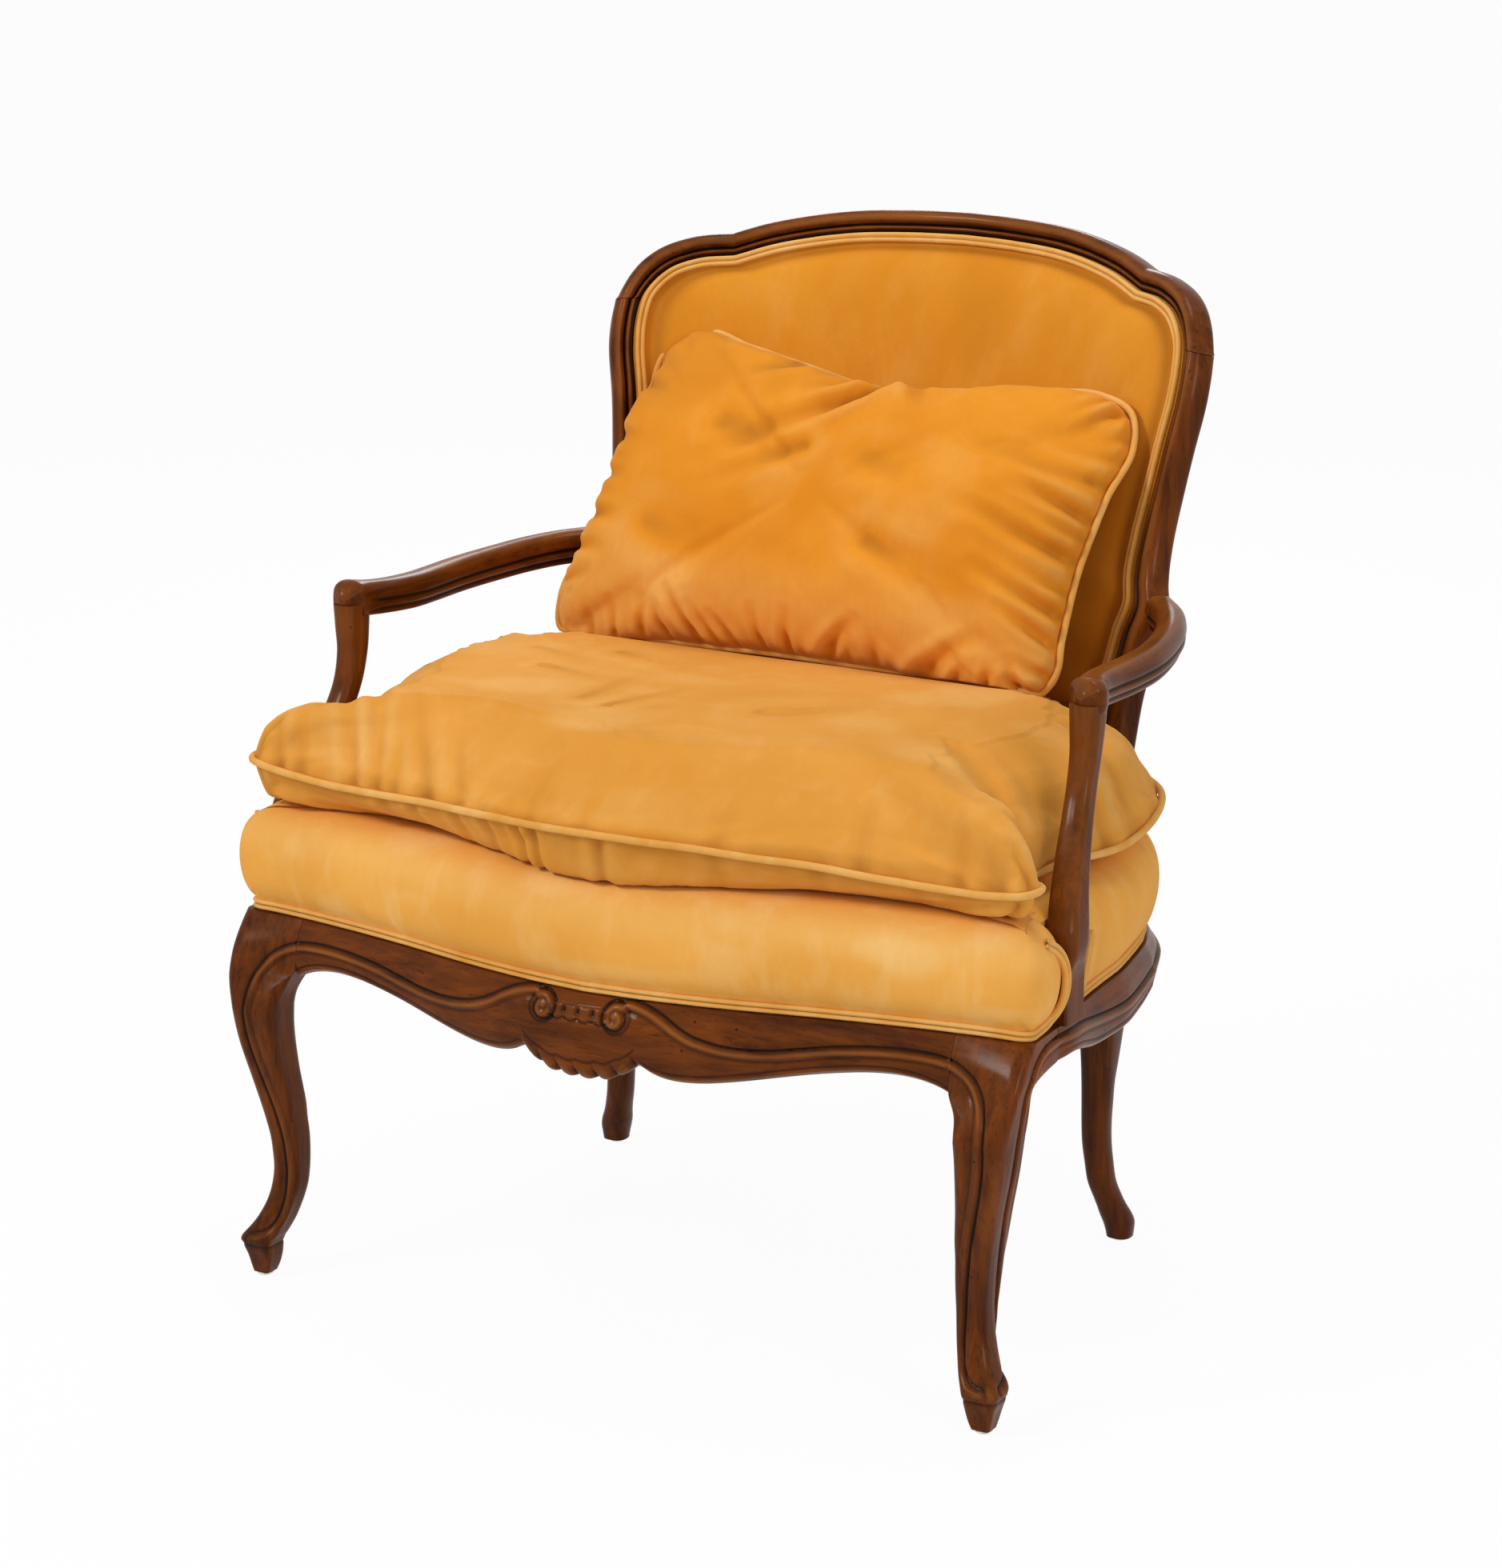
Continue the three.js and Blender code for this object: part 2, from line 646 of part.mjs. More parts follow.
// The arm post's tenons into the side rail and into the arm
const tongueX = armPostShares[0][1] * seatHalf;
const tongueY = sideFrontY + armPostShares[0][2] * sideDepth;
const knuckleX = armPostShares.at(-1)[1] * seatHalf;
const knuckleY = sideFrontY + armPostShares.at(-1)[2] * sideDepth;
const postTenon = (side, room = 0) => tenonBox(
  at(side * (tongueX - tenonThick / 2), tongueY - tenonThick, railTop + tenonRoot),
  at(side * (tongueX + tenonThick / 2), tongueY + tenonThick, railTop - tenonHeight),
  room,
);
const armTenon = (side, room = 0) => tenonBox(
  at(side * (knuckleX - tenonThick / 2), knuckleY - tenonThick / 2, armUnder - tenonRoot),
  at(side * (knuckleX + tenonThick / 2), knuckleY + tenonThick / 2, armHeight),
  room,
);

// The arm's rear tenon, which runs on along the arm into the outer side of the stile
function armRearTenon(side, room = 0) {
  const [before, end] = armShares.slice(-2).map(([x, y]) => (
    at(x * seatHalf, sideFrontY + y * sideDepth, armHeight)
  ));
  const along = end.clone().sub(before).normalize();
  const out = at(along.y, -along.x, 0).multiplyScalar(tenonThick / 2 + room);
  const up = at(0, 0, tenonHeight / 2 + room);
  const rings = [-tenonLength / 2, tenonLength / 2 + room].map((reach) => {
    const p = end.clone().addScaledVector(along, reach);
    return [
      p.clone().sub(out).sub(up),
      p.clone().add(out).sub(up),
      p.clone().add(out).add(up),
      p.clone().sub(out).add(up),
    ];
  });
  return loft(rings.map((ring) => ring.map((p) => at(p.x * side, p.y, p.z))));
}

// A countersunk screw along a line, and the hole that takes it
function screw(head, way, room = 0) {
  const neck = head.clone().addScaledVector(way, screwHeadHeight);
  const tip = head.clone().addScaledVector(way, screwLength + room);
  const root = head.clone().addScaledVector(way, screwHeadHeight / 2);
  const body = join(
    bar(head, neck, screwHeadRadius + room, screwRadius + room),
    bar(root, tip, screwRadius + room),
  );
  const mouth = head.clone().addScaledVector(way, -overrun);
  return room ? join(body, bar(mouth, head, screwHeadRadius + room)) : body;
}

// Corner blocks behind the legs and posts, each held by a screw into the leg
const blockTop = railTop - gap;
const blockBottom = railLedge + gap;
const blockSpan = 62;
const frontBlockInnerY = blockRear + gap;

function prism(points, low, high) {
  return loft([low, high].map((z) => points.map(([x, y]) => at(x, y, z))));
}

// The inner face of a block, between two points in plan
const frontInnerX = blockInner - gap;
const railInnerY = (x) => frontFace(x) + railThick + gap;
const sideInnerX = (y) => sideFace(y) - railThick * 1.1 - gap;
const frontFarY = frontBlockInnerY + blockSpan;
const frontFarX = frontInnerX - blockSpan;
const frontBlockFace = [
  [sideInnerX(frontFarY) - tenonThick, frontFarY],
  [frontFarX, railInnerY(frontFarX) + tenonThick],
];

function frontBlock(side) {
  const middleX = (frontInnerX + frontFarX) / 2;
  const plan = [
    [frontFarX, railInnerY(frontFarX)],
    [middleX, railInnerY(middleX)],
    [frontInnerX, railInnerY(frontInnerX)],
    [frontInnerX, frontBlockInnerY],
    [sideInnerX(frontBlockInnerY), frontBlockInnerY],
    [sideInnerX(frontFarY), frontFarY],
    ...frontBlockFace,
  ];
  return prism(plan.map(([x, y]) => [side * x, y]), blockBottom, blockTop);
}

const rearInnerX = postX - postHalf - gap;
const rearInnerY = postY - postHalf - gap;
const rearFarX = rearInnerX - blockSpan;
const rearRailInnerY = (x) => rearFace(x) - railThick - gap;
const rearBlockFace = [
  [rearFarX, rearRailInnerY(rearFarX) - tenonThick],
  [rearInnerX - tenonThick, rearInnerY - tenonThick],
];

function rearBlock(side) {
  const plan = [
    [rearInnerX, rearInnerY],
    [rearInnerX, rearRailInnerY(rearInnerX)],
    [rearFarX, rearRailInnerY(rearFarX) - gap],
    ...rearBlockFace,
  ];
  return prism(plan.map(([x, y]) => [side * x, y]), blockBottom, blockTop);
}

// One screw through each block, the front pair into the legs and the rear pair into the rear rail
const screwZ = (blockTop + blockBottom) / 2;

const screwSink = screwHeadHeight / 4;
const rearScrewShare = 0.45;

function frontScrew(side, room = 0) {
  const way = at(1, -1, 0).normalize();
  const [[x0, y0], [x1, y1]] = frontBlockFace;
  const corner = at(frontInnerX, frontBlockInnerY, screwZ);
  const face = at(x1 - x0, y1 - y0, 0);
  const aside = (corner.x - x0) * face.y - (corner.y - y0) * face.x;
  const reach = aside / (way.x * face.y - way.y * face.x);
  const head = corner.addScaledVector(way, screwSink - reach);
  return screw(at(side * head.x, head.y, head.z), at(side * way.x, way.y, 0), room);
}

function rearScrew(side, room = 0) {
  const [[x0, y0], [x1, y1]] = rearBlockFace;
  const head = at(side * mix(x0, x1, rearScrewShare), mix(y0, y1, rearScrewShare) + 2 * screwSink, screwZ);
  return screw(head, at(0, 1, 0), room);
}

// The hole for a glide's pin
const glideHole = (x, y) => bar(at(x, y, 0), at(x, y, glidePinLength + gap), glidePinRadius + gap);

// Wooden frame
const sides = [[1, "left"], [-1, "right"]];
for (const [side, name] of sides) {
  const leg = cut(
    frontLeg(side),
    frontTenon(side, gap),
    sideTenon(side, gap),
    frontScrew(side, gap),
    glideHole(side * frontFootX, frontFootY),
  );
  add(`${name}_front_leg`, leg, walnut);
  const rail = join(sideRail(side), sideTenon(side), sideRearTenon(side));
  add(`${name}_seat_rail`, cut(rail, postTenon(side, gap)), walnut);
  const post = cut(
    join(backPost(side), crestTenon(side)),
    sideRearTenon(side, gap),
    rearTenon(side, gap),
    armRearTenon(side, gap),
    lowerTenon(side, gap),
    glideHole(side * backFootX, backFootY),
  );
  add(`${name}_back_post`, post, walnut);
  const armBody = cut(arm(side), backPost(side, gap), armTenon(side, gap));
  add(`${name}_arm`, join(armBody, armRearTenon(side)), walnut);
  const armPostBody = join(cut(armPost(side), arm(side)), armTenon(side), postTenon(side));
  add(`${name}_arm_post`, armPostBody, walnut);
  add(`${name}_front_corner_block`, cut(frontBlock(side), frontScrew(side, gap)), beech);
  add(`${name}_rear_corner_block`, cut(rearBlock(side), rearScrew(side, gap)), beech);
  add(`${name}_front_screw`, frontScrew(side), nickel);
  add(`${name}_rear_screw`, rearScrew(side), nickel);
}
add("front_seat_rail", join(frontRail(), frontTenon(1), frontTenon(-1)), walnut);
const rearRailBody = join(rearRail(), rearTenon(1), rearTenon(-1));
add("rear_seat_rail", cut(rearRailBody, rearScrew(1, gap), rearScrew(-1, gap)), walnut);
add("crest_rail", cut(crestRail(), crestTenon(1, gap), crestTenon(-1, gap)), walnut);
const lowerRailBody = lowerRail(lowerRailTop, lowerRailTop - lowerRailHeight, gap, lowerRailDepth);
const lowerRailCut = cut(lowerRailBody, backPost(1, gap), backPost(-1, gap));
add("lower_back_rail", join(lowerRailCut, lowerTenon(1), lowerTenon(-1)), walnut);

// Glides nailed under the feet
const glides = {
  left_front_glide: [frontFootX, frontFootY],
  right_front_glide: [-frontFootX, frontFootY],
  left_rear_glide: [backFootX, backFootY],
  right_rear_glide: [-backFootX, backFootY],
};
const glideProfile = [
  [0, 0], [glideRadius * 0.8, 0], [glideRadius, glideHeight / 2], [glideRadius * 0.9, glideHeight],
  [glidePinRadius, glideHeight], [glidePinRadius, glidePinLength * 0.8], [0, glidePinLength],
].map(([x, y]) => new THREE.Vector2(x, y));
for (const [name, [x, y]] of Object.entries(glides)) {
  const turned = new THREE.LatheGeometry(glideProfile, 10).rotateX(Math.PI / 2);
  add(name, solid(turned.translate(x, y, 0)), nickel);
}

// Webbing: straps across the ledges of the rails, front to back over side to side
const strapPitch = 2 * strapWidth;
const strapLap = ledgeSet + overrun;
const strapTop = railLedge - gap;
const strapNest = strapThick * 0.8;
const springPitch = 1.25 * strapPitch;
const middleY = (frontY + rearY + rearBow) / 2 + 2 * ledgeSet;

function seatWebbing() {
  const across = [-2, -1, 0, 1, 2].map((i) => {
    const x = i * strapPitch;
    const far = Math.abs(x) + strapWidth / 2;
    const low = at(x - strapWidth / 2, frontFace(far) + strapLap, strapTop - strapThick);
    return box(low, at(x + strapWidth / 2, rearFace(far) - strapLap, strapTop));
  });
  const along = [-1, 0, 1].map((i) => {
    const y = middleY + i * springPitch;
    const half = sideFace(y + strapWidth / 2) - 2 * strapLap;
    const top = strapTop - strapNest;
    return box(at(-half, y - strapWidth / 2, top - strapThick), at(half, y + strapWidth / 2, top));
  });
  return join(...across, ...along);
}

// A waisted coil spring as one unbroken tube
function coilSpring(x, y) {
  const low = railLedge + springWire;
  const high = springTop - springWire - gap;
  const perTurn = 5;
  const rings = steps(springTurns * perTurn).map((share) => {
    const angle = (share * springTurns + 0.25) * 2 * Math.PI;
    const radius = mix(springWaist, springRadius, (2 * share - 1) ** 2);
    const out = at(Math.cos(angle), Math.sin(angle), 0);
    const centre = at(x, y, mix(low, high, share)).addScaledVector(out, radius);
    return [0, 1, 2, 3].map((k) => {
      const turn = (k * Math.PI) / 2;
      const rise = at(0, 0, Math.sin(turn) * springWire);
      return centre.clone().addScaledVector(out, Math.cos(turn) * springWire).add(rise);
    });
  });
  return loft(rings);
}

add("seat_webbing", seatWebbing(), webbing);
[-1, 0, 1].forEach((row) => {
  [-1, 0, 1].forEach((column) => {
    const number = (row + 1) * 3 + column + 2;
    const coil = coilSpring(2 * column * strapPitch, middleY + row * springPitch);
    add(`seat_spring_${number}`, coil, springSteel);
  });
});

// Platform: rings of outward offset, height and size, as shares of the swell, of the height over the
// rails and of the seat's outline
const coverShares = [[-1.1, 0], [-1.1, 0.1], [0.6, 0.22], [1, 0.45], [0.6, 0.72], [-2.6, 0.93]];
const liningShares = [[-1.1, 0], [-1.1, 0.1], [1, 0.45], [0.6, 0.72], [-2.6, 0.93]];
const hessianShares = [[0, 0, 0.94], [0, 0.9, 0.9], [0, 1, 0.8]];
const crownScaleShare = 0.55;
const crownHeightShare = 0.985;
const platformBase = railTop + gap;
const seatCentre = at(0, middleY, 0);
const coarsePlan = seatPlan.filter((_, i) => i % 2 === 0);

function domeBody(plan, shares, inset, top, base) {
  const height = top - platformBase;
  const rings = shares.map(([out, share, scale = 1]) => {
    const z = platformBase + share * height;
    const ring = offsetOutline(plan, out * platformSwell - inset, z);
    return ring.map((p) => seatCentre.clone().lerp(p, scale).setZ(z));
  });
  if (base < platformBase) rings.unshift(rings[0].map((p) => p.clone().setZ(base)));
  if (shares.at(-1)[1] < crownHeightShare) {
    const z = platformBase + crownHeightShare * height;
    rings.push(rings.at(-1).map((p) => seatCentre.clone().lerp(p, crownScaleShare).setZ(z)));
  }
  return loft(rings);
}

// Where the upholstery is cut round the back posts and the arm posts
const platformShare = (platformTop - railTop - gap) / (armHeight - railTop - gap);
const armPostAt = (column) => smooth(armPostShares.map((row) => [row[0], row[column]]), platformShare);
const armPostInner = armPostAt(1) * seatHalf - armPostThick / 2;
const armPostFront = tongueY - armPostWidth * 0.68;
const armPostLean = sideFrontY + armPostAt(2) * sideDepth + armPostWidth * 0.44;
const armPostBack = Math.max(tongueY + armPostWidth * 0.56, armPostLean);
const notchHigh = platformTop + overrun;
function postNotches(room) {
  return sides.flatMap(([side]) => [
    box(
      at(side * (postX - postHalf - room), postY - postHalf - room, railTop - 2 * overrun),
      at(side * (seatHalf + overrun), rearY + rearBow + overrun, notchHigh),
    ),
    box(
      at(side * (armPostInner - room), armPostFront - room, railTop - 2 * overrun),
      at(side * (seatHalf + 2 * platformSwell), armPostBack + room, notchHigh),
    ),
  ]);
}

// Each layer is the dome inside the one over it, with room between them
const openBase = railTop - overrun;
const lining = (inset, base) => cut(
  domeBody(coarsePlan, liningShares, inset, platformTop - inset, base),
  ...postNotches(inset + gap),
);
const springDome = (inset, top, base) => cut(
  domeBody(coarsePlan, hessianShares, inset, top, base),
  ...postNotches(inset + railThick / 3),
);
const coverBody = cut(domeBody(seatPlan, coverShares, 0, platformTop, platformBase), ...postNotches(gap));
const stuffingBody = lining(liningInset + gap, platformBase);
const hessianBody = springDome(0, springTop + clothThick, platformBase);
add("seat_cover", cut(coverBody, lining(liningInset, openBase)), velvet);
add("seat_stuffing", cut(stuffingBody, springDome(-gap, springTop + clothThick + gap, openBase)), stuffing);
add("spring_hessian", cut(hessianBody, springDome(clothThick, springTop, openBase)), hessian);

// Black cloth that closes the underside, tacked below the webbing
const dustTop = strapTop - strapNest - strapThick - gap;

function dustCover() {
  const body = loft([dustTop - clothThick, dustTop].map((z) => seatRing(-ledgeSet - gap * overrun, z)));
  return cut(body, ...sides.flatMap(([side]) => [
    box(
      at(side * (postX - postHalf - gap), postY - postHalf - gap, dustTop - overrun),
      at(side * (seatHalf + overrun), rearY + rearBow + overrun, dustTop + overrun),
    ),
    box(
      at(side * (blockInner - gap), frontY, dustTop - overrun),
      at(side * (seatHalf + overrun), blockRear + gap, dustTop + overrun),
    ),
  ]));
}
add("dust_cover", dustCover(), blackCloth);

// A double welt: two cords side by side, swept along a route in space
const doubleWeltShares = [[-1, -1], [-0.8, 0.9], [0, 0.3], [0.8, 0.9], [1, -1]];
const singleWeltShares = [[-1, 0], [0, 1], [1, 0], [0, -1]];
function sweptWelt(route, across, width, depth, shares, looped = false) {
  const rings = route.map((point, i) => {
    const before = looped ? route.at(i - 1) : route[Math.max(i - 1, 0)];
    const after = route[looped ? (i + 1) % route.length : Math.min(i + 1, route.length - 1)];
    const along = after.clone().sub(before).normalize();
    const out = across[i].clone().addScaledVector(along, -across[i].dot(along)).normalize();
    const wide = along.clone().cross(out).multiplyScalar(width / 2);
    const deep = out.multiplyScalar(depth / 2);
    return shares.map(([w, d]) => point.clone().addScaledVector(wide, w).addScaledVector(deep, d));
  });
  return loft(rings, looped);
}

// Seat welts: they follow the platform's lower edge on the rails and rise beside the arm posts
const weltZ = railTop + gap + weltHeight / 2;
const weltSet = coverShares[0][0] * platformSwell + weltDepth / 2 + gap;
const seatWeltRing = offsetOutline(seatPlan, weltSet, weltZ);
const frontCount = frontStepShares.length + 3;
const sideCount = sideStepShares.length;

// Platform face outside the rail line at a height, for the welts that rise beside the arm posts
function faceOut(height) {
  const i = Math.max(coverShares.findIndex((row) => row[1] > height), 1);
  const [[lowOut, low], [highOut, high]] = [coverShares[i - 1], coverShares[i]];
  return mix(lowOut, highOut, (height - low) / (high - low)) * platformSwell;
}
const riserShares = [0.045, 0.1, 0.22, 0.45, 0.7];

function riser(y, heights) {
  return heights.map((height) => {
    const out = faceOut(height) + weltDepth * 0.75 + overrun * gap;
    return at(sideFace(y) + out, y, platformBase + height * (platformTop - platformBase));
  });
}

const frontRiserY = armPostFront - weltHeight / 2 - gap;
const sideRiserY = armPostBack + weltHeight / 2 + gap;

function seatWelt(points) {
  const across = points.map((p, i) => {
    const before = points[Math.max(i - 1, 0)];
    const after = points[Math.min(i + 1, points.length - 1)];
    const along = after.clone().sub(before);
    const rises = Math.abs(along.z) > Math.hypot(along.x, along.y);
    return rises ? at(Math.sign(p.x), 0, 0) : at(along.y, -along.x, 0);
  });
  return sweptWelt(points, across, weltHeight, weltDepth, doubleWeltShares);
}

function frontWeltRoute() {
  const low = seatWeltRing.slice(0, frontCount).filter((p) => p.y < frontRiserY - weltHeight);
  const rise = riser(frontRiserY, riserShares);
  const half = [...low, ...rise];
  return [...half.slice(1).reverse().map((p) => at(-p.x, p.y, p.z)), ...half];
}

function sideWeltRoute(side) {
  const low = seatWeltRing.slice(frontCount, frontCount + sideCount).filter((p) => (
    p.y > sideRiserY + weltHeight && p.y < postY - postHalf - weltHeight
  ));
  return [...riser(sideRiserY, riserShares).reverse(), ...low].map((p) => at(side * p.x, p.y, p.z));
}

add("front_seat_welt", seatWelt(frontWeltRoute()), piping);
for (const [side, name] of sides) {
  const route = sideWeltRoute(side);
  add(`${name}_seat_welt`, seatWelt(side > 0 ? route : route.reverse()), piping);
}
const rearWeltHalf = postX - postHalf - weltHeight;
const rearWeltRoute = seatWeltRing.filter((p) => p.y > rearY && Math.abs(p.x) < rearWeltHalf);
add("rear_seat_welt", seatWelt(rearWeltRoute), piping);

// Back panel: loops inside the opening, as shares toward its middle, with their depths
const openingMiddle = at(0, 0, mix(openingBottom, openingTop, 0.47));
const panelShares = [[0, 0], [0.066, 0], [0.1, 0.3], [0.25, 0.72], [0.6, 0.97]];
const liningPanelShares = [[0, 0], [0.1, 0.1], [0.3, 0.65]];

// The opening's loop moved inward by a distance, mitred at its corners
const sharpestShare = 0.7;

function insetLoop(distance) {
  const count = openingLoop.length;
  return openingLoop.map((p, i) => {
    const before = p.clone().sub(openingLoop[(i + count - 1) % count]).normalize();
    const after = openingLoop[(i + 1) % count].clone().sub(p).normalize();
    const along = before.add(after).normalize();
    const reach = distance / Math.max(along.dot(after), sharpestShare);
    return at(p.x - along.z * reach, 0, p.z + along.x * reach);
  });
}

function panelRing(inward, depth, inset) {
  return insetLoop(inset).map((point) => {
    const p = point.lerp(openingMiddle, inward);
    return onBack(p.x, p.z, depth);
  });
}

// A slab that follows the back's curve between two depths, wider and taller than the frame
const slabShares = [0, 0.2, 0.4, 0.58, 0.72, 0.85, 0.95, 1.05, 1.2];

function slab(front, back) {
  const low = openingBottom - 2 * lowerRailHeight;
  const high = openingTop + 2 * lowerRailHeight;
  return loft(mirroredShares(slabShares).map((share) => {
    const x = share * openingHalf;
    return [onBack(x, low, front), onBack(x, low, back), onBack(x, high, back), onBack(x, high, front)];
  }));
}

function crownedDome(shares, inset, front, crown, back) {
  const rings = shares.map(([inward, share]) => panelRing(inward, front - share * crown, inset));
  const deep = panelRing(0, back + 2 * overrun, inset);
  const poles = [onBack(0, openingMiddle.z, back + 4 * overrun), onBack(0, openingMiddle.z, front - crown)];
  return loft([deep, ...rings], false, poles);
}

const crownedPanel = (shares, inset, front, crown, back) => (
  cut(crownedDome(shares, inset, front, crown, back), slab(back, back + 2 * stileDepth))
);

// A sheet across the back at one depth, cut to the opening's outline
function backSheet(inset, front, back) {
  const outline = panelRing(0, (front + back) / 2, inset);
  const [near, far] = [-seatHalf, seatHalf].map((y) => outline.map((p) => at(p.x, y, p.z)));
  const poles = [at(0, -seatHalf, openingMiddle.z), at(0, seatHalf, openingMiddle.z)];
  return slab(front, back).intersect(loft([near, far], false, poles));
}

const liningFront = rabbetDepth + velvetThick;
const padInset = liningInset + gap;
const backFront = crownedPanel(panelShares, gap, rabbetDepth, backCrown, backSpring);
const backHollow = crownedDome(liningPanelShares, liningInset, liningFront, backCrown, backSpring);
const backPad = crownedPanel(liningPanelShares, padInset, liningFront + gap, backCrown, backSpring);
add("back_cover", cut(backFront, backHollow), velvet);
add("back_stuffing", backPad, stuffing);
const backHessianFront = backSpring + gap;
const backHessianBack = backHessianFront + clothThick;
add("back_hessian", backSheet(padInset, backHessianFront, backHessianBack), hessian);

// Webbing behind the hessian: bands that follow the curve, and upright bands behind them
const bandFront = backHessianBack + gap;
const bandReachShare = 0.88;

function backBand(fromX, toX, low, high, depth) {
  const room = box(at(fromX, -seatHalf, low), at(toX, 2 * seatHalf, high));
  return slab(depth, depth + strapThick).intersect(room);
}

function backWebbing() {
  const reach = bandReachShare * openingHalf;
  const level = [-1, 0, 1].map((i) => {
    const z = openingMiddle.z + i * strapPitch;
    return backBand(-reach, reach, z - strapWidth / 2, z + strapWidth / 2, bandFront);
  });
  const upright = [-1, 1].map((side) => {
    const x = side * strapPitch;
    const half = strapWidth / 2;
    return backBand(x - half, x + half, openingBottom + half, openingTop - half, bandFront + strapNest);
  });
  return join(...level, ...upright);
}
add("back_webbing", backWebbing(), webbing);

// Outside back: a covered panel on the rear of the frame, edged with a single welt
const outsideGap = 3 * gap;
const outsideFront = stileDepth + outsideGap;
add("outside_back", backSheet(-outsideLap, outsideFront, outsideFront + velvetThick), velvet);

function loopWelt(inset, depth, width, thick, shares) {
  const route = panelRing(0, depth, inset);
  const across = openingLoop.map((p) => onBack(p.x, p.z, -thick).sub(onBack(p.x, p.z, 0)));
  return sweptWelt(route, across, width, thick, shares, true);
}
const backWeltInset = 2 * gap + backWeltWidth / 2;
const backWeltAt = rabbetDepth - 2 * gap - backWeltDepth / 2;
add("back_welt", loopWelt(backWeltInset, backWeltAt, backWeltWidth, backWeltDepth, doubleWeltShares), piping);
const outsideWeltInset = -outsideLap - outsideGap - 1.2 * outsideWelt;
const outsideWeltAt = stileDepth + outsideGap + outsideWelt;
const outsideSize = 2 * outsideWelt;
const outsideCord = loopWelt(outsideWeltInset, outsideWeltAt, outsideSize, outsideSize, singleWeltShares);
add("outside_back_welt", outsideCord, piping);

// Seat cushion: T-shaped in plan, crowned above and below a welted seam. Shares of its half width and depth.
const cushionPlanShares = [
  [0, 0], [0.13, 0.009], [0.26, 0.03], [0.38, 0.052], [0.5, 0.075], [0.62, 0.091], [0.74, 0.105],
  [0.85, 0.112],
  [0.94, 0.112], [0.985, 0.121], [1, 0.142], [0.995, 0.167], [0.96, 0.185], [0.89, 0.212], [0.856, 0.246],
  [0.85, 0.331], [0.85, 0.455], [0.846, 0.562], [0.836, 0.651], [0.815, 0.722], [0.78, 0.776], [0.73, 0.815],
  [0.6, 0.875], [0.4, 0.941], [0.2, 0.986], [0, 1],
];
const cushionDepth = cushionRearY - cushionFrontY;

function cushionOutline() {
  const half = cushionPlanShares.map(([x, y]) => (
    at(x * mix(cushionEar, cushionRearHalf, y), cushionFrontY + y * cushionDepth, 0)
  ));
  return [...half, ...mirrored(half.slice(1, -1)).reverse()];
}
const cushionPlan = cushionOutline();
const cushionMiddle = at(0, mix(cushionFrontY, cushionRearY, 0.5), 0);

// Rings of scale toward the middle and height as shares of the depth below or the crown above the seam
const cushionUnderShares = [[0.45, -1], [0.8, -0.98], [0.93, -0.84], [0.978, -0.45]];
const cushionOverShares = [[0.978, 0.3], [0.93, 0.58], [0.8, 0.82], [0.5, 0.97]];
const cushionRoundShare = 0.88;
const cushionBase = mix(platformBase, platformTop, crownHeightShare) + gap;

// A ring inside an outline, rounder the nearer it lies to the middle
function innerRing(points, middle, half, scale) {
  return points.map((p) => {
    const d = p.clone().sub(middle);
    const round = at(d.x / half.x, d.y / half.y, d.z / half.z).normalize().multiply(half);
    return d.lerp(round, 1 - scale).multiplyScalar(scale).add(middle);
  });
}

function seatCushion() {
  const half = at(cushionRoundShare * cushionEar, cushionDepth / 2, cushionTop);
  const ringAt = (scale, z) => innerRing(cushionPlan, cushionMiddle, half, scale).map((p) => p.setZ(z));
  const under = cushionUnderShares.map(([s, h]) => ringAt(s, cushionSeam + h * (cushionSeam - cushionBase)));
  const over = cushionOverShares.map(([s, h]) => ringAt(s, cushionSeam + h * (cushionTop - cushionSeam)));
  const seam = ringAt(1, cushionSeam);
  const poles = [cushionMiddle.clone().setZ(cushionBase), cushionMiddle.clone().setZ(cushionTop)];
  return loft([...under, seam, ...over], false, poles);
}
add("seat_cushion", seatCushion(), velvet);

function ringWelt(points, radius, out) {
  const count = points.length;
  const rings = points.map((point, i) => {
    const along = points[(i + 1) % count].clone().sub(points[(i + count - 1) % count]).normalize();
    const across = out(along);
    const up = along.clone().cross(across).normalize();
    return [0, 1, 2, 3].map((k) => {
      const turn = (k * Math.PI) / 2;
      const side = across.clone().multiplyScalar(radius * Math.cos(turn));
      return side.addScaledVector(up, radius * Math.sin(turn)).add(point);
    });
  });
  return loft(rings, true);
}
const cushionSeamLine = offsetOutline(cushionPlan, cushionWelt + gap, cushionSeam);
const flatOut = (along) => at(along.y, -along.x, 0);
add("seat_cushion_welt", ringWelt(cushionSeamLine, cushionWelt, flatOut), piping);

// Back pillow: a knife-edged cushion built flat, then leaned on the back
const pillowEdgeShares = [
  [0, 0.93], [0.25, 0.93], [0.5, 0.935], [0.75, 0.96], [0.92, 0.995], [1, 1], [0.995, 0.9], [0.965, 0.72],
  [0.945, 0.45], [0.94, 0.15],
];

